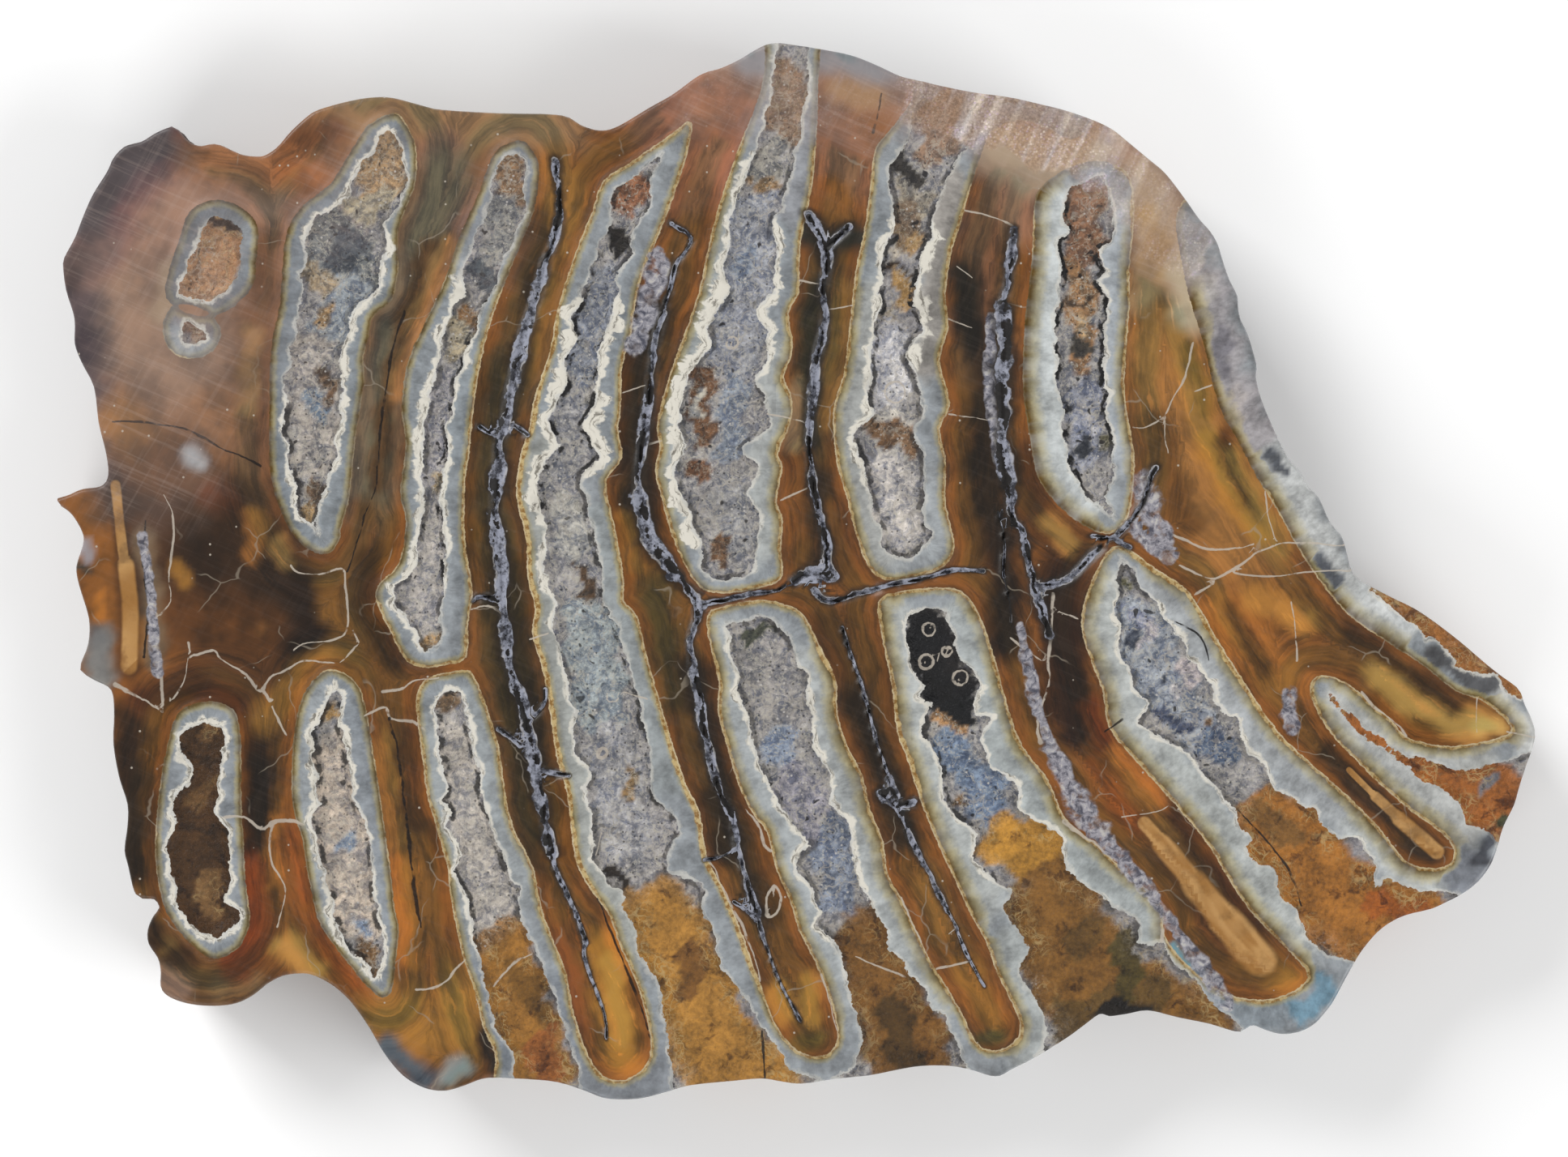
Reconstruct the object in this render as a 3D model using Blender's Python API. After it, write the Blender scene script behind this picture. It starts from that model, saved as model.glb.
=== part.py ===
"""A sawn and polished slice of a woolly mammoth molar, lying flat on its sawn back.

The slice is one solid: enamel, dentine and cement grew as one tooth and were cut through together. The tooth's
plates stand side by side along +X, and their crowns point to +Y. The polished face looks up along +Z. Every
outline below is in traced millimetres, read for a slice TRACED_LENGTH long, and scaled to LENGTH.
"""
import math

import bmesh
import bpy
import numpy as np

# Driving dimensions, in metres
LENGTH = 0.100
THICKNESS = 0.008
ENAMEL_RISE = 0.00015    # enamel is the hardest tissue, so polishing leaves it proud of the dentine
CEMENT_DEPTH = 0.00045   # the soft porous cement lies lowest
FISSURE_DEPTH = 0.0016   # shrinkage cracks down the middle of the dentine
VOID_DEPTH = 0.0032      # open hollows where a crack has gaped

TRACED_LENGTH = 100.0
SCALE = LENGTH / TRACED_LENGTH
CUT_CLEARANCE = 0.002    # how far a cutter stands above the polished face

# Height up the rim as a share of the thickness, and how far the rim lies inside the traced outline, in traced mm
RIM_LEVELS = ((0.0, 0.50), (0.07, 0.12), (0.36, 0.20), (0.68, 0.0), (0.95, 0.0), (1.0, 0.22))
SWELL_TOP = 0.68            # share of the thickness where the swell has died away
SWELL_FADE = 0.3            # and the share below that over which it fades
SWELL_LEAN = 3.0            # how far the swell's waves lean, in radians from the back to the polished face
JOIN = 1e-6                 # points closer than this are one
FLATNESS = 1e-7             # a face this close to a level lies on it
FRAME = [(-60.0, -45.0), (60.0, -45.0), (60.0, 45.0), (-60.0, 45.0)]    # a field wider than the slice, traced mm
RIM_WAVE = 0.16          # traced mm, shallow growth ledges along the rim
RIM_WAVE_LENGTH = 7.0    # traced mm from one swell to the next

RIM = [
    (-48.1, 14.0), (-48.6, 15.3), (-48.6, 16.5), (-48.7, 17.4), (-49.2, 19.0), (-49.4, 20.6), (-49.3, 21.2),
    (-48.6, 22.5), (-48.1, 23.8), (-47.4, 25.4), (-46.4, 27.0), (-46.0, 27.9), (-45.2, 28.7), (-44.1, 29.0),
    (-43.2, 29.55), (-42.3, 29.95), (-41.8, 30.05), (-41.5, 29.7), (-40.9, 29.0), (-40.1, 28.7), (-39.0, 28.85),
    (-37.4, 28.15), (-36.3, 28.0), (-35.7, 28.1), (-34.9, 28.65), (-34.1, 29.6), (-33.2, 30.45), (-32.4, 31.05),
    (-31.2, 31.45), (-30.0, 31.75), (-28.7, 31.97), (-27.2, 31.97), (-25.0, 31.4), (-23.8, 31.15), (-20.0, 30.92),
    (-15.8, 30.8), (-14.4, 30.1), (-13.1, 29.75), (-11.9, 30.05), (-9.8, 31.3), (-8.2, 32.2), (-6.4, 33.5),
    (-5.0, 33.95), (-3.8, 34.5), (-2.8, 35.1), (-1.9, 35.55), (-1.0, 35.65), (0.2, 35.5), (3.1, 35.0), (4.5, 34.6),
    (6.0, 33.95), (7.2, 33.4), (8.7, 33.05), (10.0, 32.75), (12.0, 32.35), (14.5, 32.0), (16.3, 31.6), (18.3, 31.1),
    (20.3, 30.4), (21.5, 29.8), (22.5, 29.0), (24.0, 27.75), (25.1, 26.8), (26.5, 24.95), (27.3, 23.8), (28.1, 22.9),
    (28.6, 22.0), (28.9, 21.0), (29.35, 19.7), (29.9, 18.6), (29.95, 17.9), (30.1, 17.0), (30.6, 16.0), (31.2, 13.9),
    (31.15, 13.1), (31.45, 11.8), (32.3, 9.7), (33.3, 7.65), (34.15, 6.7), (34.6, 5.75), (35.4, 4.95), (36.15, 3.3),
    (36.95, 2.35), (37.4, 0.8), (37.65, -0.05), (38.3, -0.7), (40.3, -1.75), (41.85, -2.5), (43.2, -3.4),
    (44.9, -4.7), (46.3, -5.9), (47.5, -6.9), (48.7, -7.75), (49.05, -8.2), (49.3, -9.0), (49.7, -9.8), (50.0, -10.8),
    (49.95, -11.5), (49.5, -12.9), (49.0, -14.4), (48.6, -15.8), (47.9, -17.2), (47.4, -18.8), (46.95, -19.9),
    (46.2, -20.9), (45.2, -21.7), (44.0, -22.35), (43.0, -22.8), (41.2, -23.25), (39.8, -24.0), (38.8, -25.0),
    (38.0, -26.1), (37.2, -27.5), (36.4, -29.0), (35.8, -29.8), (35.1, -30.55), (34.2, -31.05), (33.0, -31.25),
    (31.9, -31.0), (31.0, -30.65), (30.5, -30.85), (29.9, -31.1), (28.0, -30.55), (25.8, -30.1), (23.9, -29.65),
    (22.4, -29.9), (21.2, -30.05), (20.6, -29.9), (19.5, -30.7), (18.4, -31.5), (17.2, -32.25), (15.9, -33.0),
    (14.7, -33.6), (13.9, -34.05), (13.2, -34.05), (11.9, -33.65), (10.5, -33.4), (8.6, -33.4), (7.0, -33.65),
    (5.0, -34.05), (2.8, -34.25), (0.5, -34.6), (-0.9, -34.45), (-2.2, -34.25), (-4.0, -34.4), (-7.0, -34.7),
    (-8.5, -35.1), (-10.2, -35.55), (-11.6, -35.65), (-12.9, -35.55), (-14.2, -35.05), (-16.0, -34.5), (-18.0, -34.3),
    (-20.7, -34.2), (-22.1, -34.65), (-23.4, -35.05), (-24.6, -35.0), (-25.8, -34.5), (-26.8, -33.7), (-27.8, -32.4),
    (-28.6, -31.0), (-29.4, -29.8), (-30.2, -28.8), (-31.2, -27.95), (-32.3, -27.35), (-33.2, -27.15), (-34.5, -27.3),
    (-35.6, -27.85), (-36.6, -28.65), (-37.8, -29.2), (-39.3, -29.35), (-40.9, -29.2), (-42.2, -28.75),
    (-42.8, -28.1), (-42.8, -27.0), (-43.0, -26.1), (-43.6, -25.2), (-43.7, -24.3), (-43.35, -23.35), (-42.9, -22.7),
    (-43.25, -22.15), (-44.1, -22.1), (-44.6, -21.6), (-45.0, -19.9), (-45.25, -18.8), (-45.05, -17.2),
    (-45.05, -15.7), (-45.6, -13.95), (-46.0, -11.65), (-45.95, -9.6), (-46.15, -8.0), (-47.2, -7.4), (-48.2, -6.75),
    (-48.15, -6.1), (-47.7, -4.9), (-47.65, -3.2), (-48.3, -1.0), (-48.5, 0.3), (-48.05, 1.8), (-48.1, 2.65),
    (-48.9, 3.95), (-50.0, 4.75), (-49.0, 5.15), (-48.1, 5.55), (-46.8, 5.75), (-46.35, 6.5), (-46.5, 8.0),
    (-47.0, 10.05), (-47.3, 12.4),
]

# Enamel loops: each closed loop's dentine side, then its cement side
LOOPS = {
    "loop_far_left": (
        [(-39.4, 25.0), (-37.6, 24.7), (-36.2, 23.3), (-36.3, 21.0), (-36.5, 19.3), (-37.6, 18.0), (-39.2, 17.2),
         (-41.0, 17.4), (-42.4, 18.5), (-42.2, 20.2), (-41.4, 22.6), (-40.8, 24.2)],
        [(-39.3, 23.8), (-38.0, 23.6), (-37.3, 23.0), (-37.6, 21.9), (-37.5, 19.8), (-38.3, 18.9), (-39.3, 18.3),
         (-40.5, 18.4), (-41.5, 18.8), (-41.2, 19.8), (-40.2, 22.2), (-39.9, 23.1)]),
    "loop_left": (
        [(-27.0, 30.9), (-28.6, 30.2), (-29.5, 29.0), (-30.4, 27.5), (-31.4, 26.0), (-33.0, 24.8), (-33.9, 23.6),
         (-34.4, 22.0), (-34.7, 18.0), (-35.3, 15.0), (-35.4, 10.0), (-35.3, 6.3), (-34.4, 3.5), (-33.6, 2.2),
         (-32.6, 1.4), (-31.6, 1.1), (-30.8, 1.8), (-30.5, 3.2), (-30.0, 5.0), (-29.6, 9.0), (-29.0, 12.8),
         (-29.1, 14.2), (-28.8, 15.5), (-28.4, 17.2), (-27.2, 18.2), (-26.7, 20.3), (-26.7, 23.0), (-25.6, 26.0),
         (-25.5, 28.5), (-26.2, 30.2)],
        [(-27.4, 29.7), (-26.5, 28.5), (-26.1, 26.3), (-26.8, 24.4), (-27.7, 23.4), (-27.7, 21.2), (-27.9, 19.5),
         (-29.0, 18.2), (-30.2, 17.2), (-29.9, 16.3), (-30.8, 14.3), (-30.5, 12.3), (-30.7, 10.4), (-31.1, 8.8),
         (-31.0, 7.4), (-31.6, 5.6), (-32.3, 3.6), (-32.0, 2.5), (-33.4, 4.0), (-33.5, 5.8), (-34.1, 7.2),
         (-34.5, 9.5), (-34.1, 11.2), (-34.4, 13.0), (-34.0, 14.5), (-33.6, 16.2), (-33.0, 18.6), (-33.4, 20.0),
         (-32.9, 21.5), (-32.9, 23.0), (-31.4, 24.2), (-29.9, 25.4), (-29.2, 27.3), (-28.2, 28.5)]),
    "loop_third": (
        [(-17.5, 28.1), (-18.3, 29.0), (-19.3, 28.8), (-20.3, 28.1), (-21.3, 25.5), (-22.6, 22.5), (-23.6, 19.6),
         (-24.9, 16.8), (-26.1, 14.0), (-26.5, 10.8), (-26.2, 8.5), (-26.6, 5.3), (-26.2, 3.3), (-26.7, 0.5),
         (-28.0, -0.8), (-28.2, -2.0), (-27.3, -4.0), (-26.2, -6.0), (-25.0, -6.5), (-23.4, -6.3), (-22.1, -5.8),
         (-22.0, -3.5), (-21.7, -1.3), (-22.2, 2.0), (-22.2, 6.0), (-21.9, 8.0), (-21.6, 11.3), (-20.9, 15.2),
         (-19.7, 19.0), (-18.2, 22.6), (-17.5, 24.6), (-17.2, 27.0)],
        [(-18.8, 28.2), (-20.0, 27.2), (-20.4, 25.3), (-20.9, 23.5), (-21.8, 21.3), (-22.5, 19.7), (-22.2, 18.6),
         (-23.1, 17.2), (-23.9, 14.6), (-24.7, 11.8), (-25.0, 9.5), (-25.1, 6.3), (-24.9, 4.7), (-25.4, 1.2),
         (-25.5, 0.3), (-27.0, -1.0), (-26.9, -2.2), (-26.0, -3.6), (-25.3, -4.4), (-24.9, -5.4), (-24.0, -5.0),
         (-23.9, -2.8), (-23.6, -1.4), (-23.8, -0.6), (-23.5, 1.0), (-23.7, 3.2), (-23.9, 5.2), (-23.4, 8.5),
         (-23.1, 11.0), (-22.3, 14.2), (-21.5, 16.2), (-20.6, 18.6), (-20.0, 20.3), (-19.0, 22.2), (-18.1, 24.4),
         (-18.2, 26.2), (-18.1, 27.7)]),
    "loop_middle": (
        [(-1.7, 37.5), (-2.0, 33.8), (-2.6, 31.5), (-3.6, 29.0), (-4.5, 26.5), (-5.3, 24.0), (-5.9, 21.5), (-6.4, 19.0),
         (-7.2, 16.6), (-8.1, 14.2), (-8.8, 12.0), (-9.3, 9.8), (-9.1, 8.4), (-9.4, 6.8), (-9.0, 5.0), (-8.3, 2.5),
         (-7.3, 0.2), (-6.2, -1.2), (-4.5, -1.5), (-1.8, -1.0), (-0.8, -0.3), (-0.9, 1.5), (-0.8, 3.5), (-1.2, 4.8),
         (-0.8, 7.0), (-1.1, 8.0), (-0.25, 10.0), (-0.2, 11.8), (-0.7, 13.1), (-0.1, 15.0), (-0.4, 17.4), (0.3, 18.8),
         (0.4, 22.0), (1.2, 26.0), (1.5, 29.5), (1.6, 33.0), (1.6, 37.5)],
        [(-0.8, 37.0), (-1.5, 33.0), (-2.1, 29.9), (-3.0, 27.6), (-3.6, 26.0), (-4.1, 24.2), (-4.3, 22.0), (-4.7, 20.4),
         (-4.4, 19.0), (-5.4, 17.4), (-5.7, 15.6), (-6.9, 13.6), (-7.6, 11.0), (-7.3, 8.8), (-8.0, 6.4), (-7.1, 4.1),
         (-6.2, 1.4), (-5.6, -0.2), (-3.8, -0.3), (-2.7, 0.4), (-2.4, 2.8), (-3.3, 5.2), (-2.4, 6.9), (-3.5, 8.2),
         (-1.8, 10.0), (-2.6, 12.9), (-1.9, 14.5), (-1.9, 16.4), (-2.6, 17.7), (-1.4, 19.2), (-1.2, 21.8), (-1.5, 23.7),
         (-0.7, 25.0), (0.0, 28.2), (0.6, 31.0), (0.9, 33.5), (0.9, 37.0)]),
    "loop_fifth": (
        [(9.0, 36.0), (8.0, 32.0), (6.3, 29.6), (5.4, 28.4), (5.1, 26.0), (4.7, 23.0), (4.1, 20.2), (3.7, 16.5),
         (3.3, 13.3), (2.7, 11.4), (2.6, 9.6), (2.9, 7.0), (3.5, 5.0), (4.1, 2.6), (4.9, 0.4), (6.1, -0.6),
         (8.2, -0.4), (10.1, 0.3), (10.8, 1.8), (10.2, 4.5), (10.2, 7.5), (9.8, 9.6), (10.5, 11.3), (9.8, 14.2),
         (10.4, 16.4), (10.2, 18.6), (10.6, 21.5), (11.2, 23.4), (11.8, 25.6), (12.5, 27.8), (13.2, 29.6), (15.0, 30.4),
         (17.0, 29.9), (18.6, 29.1), (19.9, 30.0), (20.8, 32.5)],
        [(9.4, 35.5), (8.5, 31.6), (7.6, 29.2), (6.4, 27.2), (6.6, 24.4), (6.9, 23.3), (6.1, 22.0), (5.9, 20.0),
         (5.6, 18.6), (5.8, 17.4), (5.3, 15.6), (5.2, 13.2), (5.1, 10.7), (4.1, 9.0), (4.8, 6.8), (5.0, 5.0),
         (5.9, 2.8), (6.6, 1.2), (7.9, 0.9), (9.2, 2.3), (8.7, 4.2), (8.8, 7.2), (7.9, 9.4), (8.7, 11.1), (7.6, 14.2),
         (7.6, 15.1), (8.6, 16.4), (8.0, 18.3), (8.4, 20.6), (9.2, 22.7), (9.4, 24.4), (10.2, 26.3), (11.6, 28.6),
         (12.1, 30.6), (13.4, 31.5), (16.5, 31.2), (18.5, 33.5)]),
    "loop_sixth": (
        [(19.0, 27.4), (17.2, 26.4), (16.2, 25.0), (16.0, 21.0), (15.5, 16.5), (15.4, 12.3), (15.8, 9.5), (16.3, 6.6),
         (17.3, 5.0), (18.6, 3.7), (20.0, 2.8), (21.2, 2.5), (22.3, 3.2), (22.8, 5.2), (22.9, 8.0), (22.3, 11.5),
         (22.3, 14.0), (22.6, 18.0), (22.6, 20.5), (22.9, 24.0), (22.6, 26.6), (21.0, 27.6)],
        [(18.8, 26.0), (18.1, 24.2), (18.4, 22.9), (17.7, 22.2), (18.1, 20.3), (17.8, 18.3), (17.5, 17.0), (17.7, 14.0),
         (17.8, 12.2), (18.2, 10.2), (18.4, 8.3), (19.2, 5.7), (20.4, 4.4), (21.6, 3.5), (21.2, 4.9), (21.5, 7.5),
         (21.4, 9.4), (20.9, 11.0), (20.8, 13.8), (20.8, 16.0), (21.1, 18.2), (20.4, 19.6), (20.9, 20.4), (20.3, 21.6),
         (21.5, 22.3), (21.4, 24.4), (20.8, 26.6)]),
    "loop_lower_left": (
        [(-40.0, -8.8), (-38.6, -8.9), (-37.6, -9.7), (-37.3, -12.0), (-37.3, -15.5), (-37.1, -19.0), (-37.0, -21.0),
         (-36.7, -23.4), (-37.2, -25.0), (-37.9, -25.7), (-38.8, -26.1), (-39.6, -26.0), (-40.6, -25.2),
         (-41.7, -24.0), (-42.5, -22.6), (-43.0, -20.3), (-43.1, -18.0), (-42.8, -14.5), (-42.3, -11.8),
         (-41.6, -9.6)],
        [(-40.8, -10.4), (-38.8, -10.3), (-38.4, -12.2), (-39.0, -14.2), (-39.1, -16.6), (-38.2, -17.8),
         (-38.0, -20.2), (-38.5, -22.2), (-37.6, -22.9), (-37.4, -23.8), (-38.2, -24.1), (-39.2, -24.9),
         (-40.5, -23.9), (-41.7, -22.2), (-42.2, -20.0), (-42.2, -18.6), (-41.6, -17.4), (-42.0, -15.8),
         (-40.7, -13.4), (-41.5, -12.0)]),
    "loop_lower_second": (
        [(-31.5, -6.6), (-30.3, -6.9), (-29.5, -7.6), (-29.0, -8.8), (-28.5, -11.5), (-28.1, -14.0), (-27.6, -17.5),
         (-27.2, -20.5), (-27.0, -22.4), (-26.7, -24.2), (-26.9, -26.4), (-27.1, -28.1), (-27.7, -28.8), (-28.7, -28.1),
         (-29.8, -26.8), (-31.2, -25.0), (-32.1, -23.5), (-32.8, -20.5), (-33.2, -18.0), (-33.8, -16.0), (-33.9, -13.0),
         (-33.6, -10.0), (-32.9, -7.9)],
        [(-31.0, -7.8), (-30.5, -9.2), (-30.6, -10.8), (-30.0, -13.2), (-29.9, -15.3), (-29.2, -17.0), (-28.5, -19.0),
         (-28.5, -21.0), (-28.2, -22.6), (-27.7, -24.9), (-28.0, -26.4), (-28.4, -27.4), (-29.0, -26.4),
         (-30.0, -25.6), (-30.3, -24.7), (-31.1, -23.0), (-31.5, -21.0), (-32.0, -19.0), (-32.2, -17.2),
         (-32.5, -16.6), (-32.0, -15.0), (-32.2, -13.5), (-32.5, -11.2), (-31.7, -9.2)]),
}

# The lower plates open to the rim, so their enamel is one line that runs in and out of them, and up the right side
LOWER_ENAMEL = [
    (-20.6, -38.0), (-20.3, -34.0), (-20.2, -32.6), (-20.9, -31.0), (-21.2, -30.0), (-21.6, -28.2), (-22.3, -26.2),
    (-22.7, -24.5), (-23.2, -22.0), (-23.4, -20.0), (-24.1, -17.5), (-24.8, -15.0), (-25.1, -12.5), (-25.5, -9.5),
    (-25.4, -8.0), (-24.6, -7.1), (-23.2, -6.8), (-21.9, -6.7), (-21.1, -8.2), (-20.4, -10.2), (-19.9, -12.0),
    (-19.4, -15.5), (-18.8, -17.6), (-17.6, -20.0), (-17.1, -22.5), (-16.2, -25.0), (-15.4, -27.0), (-15.0, -29.2),
    (-14.5, -31.0), (-13.8, -32.8), (-12.9, -34.0), (-11.6, -34.3), (-10.3, -33.6), (-9.7, -32.3), (-10.0, -30.0),
    (-10.7, -27.7), (-11.8, -25.2), (-12.5, -23.2), (-14.0, -21.1), (-14.8, -19.4), (-15.1, -17.0), (-15.4, -14.8),
    (-16.0, -12.8), (-16.4, -10.2), (-16.9, -7.0), (-17.7, -4.2), (-17.5, -2.5), (-18.0, -0.5), (-18.1, 2.2),
    (-18.8, 5.2), (-18.4, 8.2), (-17.9, 9.6), (-17.5, 11.9), (-16.5, 14.8), (-16.0, 17.6), (-14.8, 21.4), (-13.6, 24.4),
    (-12.9, 26.3), (-11.0, 27.6), (-8.4, 29.4), (-7.0, 30.4), (-7.1, 28.6), (-8.1, 25.4), (-9.2, 22.5), (-10.5, 19.2),
    (-11.0, 16.0), (-11.6, 13.8), (-11.7, 10.9), (-11.9, 9.5), (-11.6, 7.6), (-12.7, 6.0), (-12.1, 3.0), (-11.5, -0.5),
    (-11.5, -2.0), (-10.6, -3.0), (-10.0, -5.5), (-9.0, -9.0), (-8.1, -12.0), (-7.2, -14.6), (-6.4, -16.2),
    (-5.9, -19.2), (-5.0, -21.0), (-4.0, -23.2), (-3.1, -25.6), (-2.3, -27.8), (-1.6, -29.8), (-0.9, -31.1),
    (0.1, -32.2), (1.3, -32.7), (2.4, -32.4), (2.9, -31.4), (2.6, -29.6), (2.0, -27.8), (1.2, -26.0), (0.3, -24.2),
    (-0.4, -22.0), (-1.2, -20.2), (-1.9, -17.6), (-2.8, -16.4), (-3.7, -14.6), (-4.5, -12.0), (-5.2, -9.4),
    (-5.1, -7.5), (-5.7, -5.0), (-5.9, -2.9), (-4.5, -2.3), (-2.4, -1.9), (-0.8, -2.2), (0.6, -2.9), (1.9, -5.4),
    (2.8, -7.3), (2.9, -9.6), (3.6, -11.8), (4.6, -13.8), (5.1, -16.0), (6.0, -18.3), (6.3, -20.4), (7.3, -22.2),
    (8.2, -24.2), (9.2, -26.3), (10.4, -28.2), (11.4, -30.0), (12.3, -31.8), (13.5, -32.3), (14.8, -31.7),
    (15.2, -30.6), (14.6, -29.0), (13.6, -27.0), (12.9, -25.0), (11.8, -23.0), (10.9, -21.0), (9.9, -18.9),
    (8.6, -15.8), (7.5, -12.4), (6.9, -10.8), (6.5, -7.5), (5.8, -4.0), (5.7, -1.9), (7.4, -1.3), (9.4, -1.1),
    (11.2, -1.3), (12.4, -2.8), (13.4, -5.5), (14.4, -9.2), (15.4, -11.8), (17.2, -14.2), (18.2, -16.6), (20.5, -18.5),
    (22.0, -20.0), (23.8, -21.5), (24.8, -23.0), (24.9, -24.4), (25.8, -25.8), (27.4, -27.3), (29.0, -28.4),
    (31.5, -28.9), (33.4, -28.4), (34.6, -27.4), (33.9, -26.2), (32.3, -24.6), (30.8, -23.0), (29.4, -21.0),
    (28.0, -18.6), (26.4, -16.6), (25.0, -15.0), (23.2, -13.0), (21.2, -10.6), (20.8, -8.2), (19.9, -5.8),
    (19.3, -3.6), (19.8, -1.2), (20.8, 0.9), (21.6, 1.7), (22.7, 1.4), (24.3, 0.2), (26.6, -1.4), (28.7, -4.9),
    (30.6, -7.9), (32.6, -10.8), (35.0, -13.1), (37.6, -15.4), (39.6, -17.5), (41.2, -19.5), (42.8, -20.0),
    (44.2, -19.7), (44.4, -18.6), (43.4, -17.5), (41.6, -16.2), (39.4, -14.3), (37.5, -12.4), (36.2, -11.0),
    (35.2, -9.4), (34.7, -7.8), (35.4, -7.0), (37.2, -7.5), (38.6, -8.6), (40.2, -10.0), (41.2, -11.1), (43.2, -11.7),
    (45.2, -11.7), (48.1, -11.0), (48.0, -10.1), (46.3, -8.7), (44.6, -8.1), (42.3, -6.3), (40.0, -4.8),
    (37.3, -2.9), (35.3, -0.5), (33.8, 1.8), (32.6, 4.0), (31.2, 6.3), (29.8, 9.0), (28.6, 11.2), (27.5, 15.6),
    (26.6, 18.5), (25.9, 22.0), (25.8, 24.2), (27.5, 25.5), (33.0, 22.0), (54.0, 0.0), (54.0, -36.0), (10.0, -40.0),
]

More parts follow.
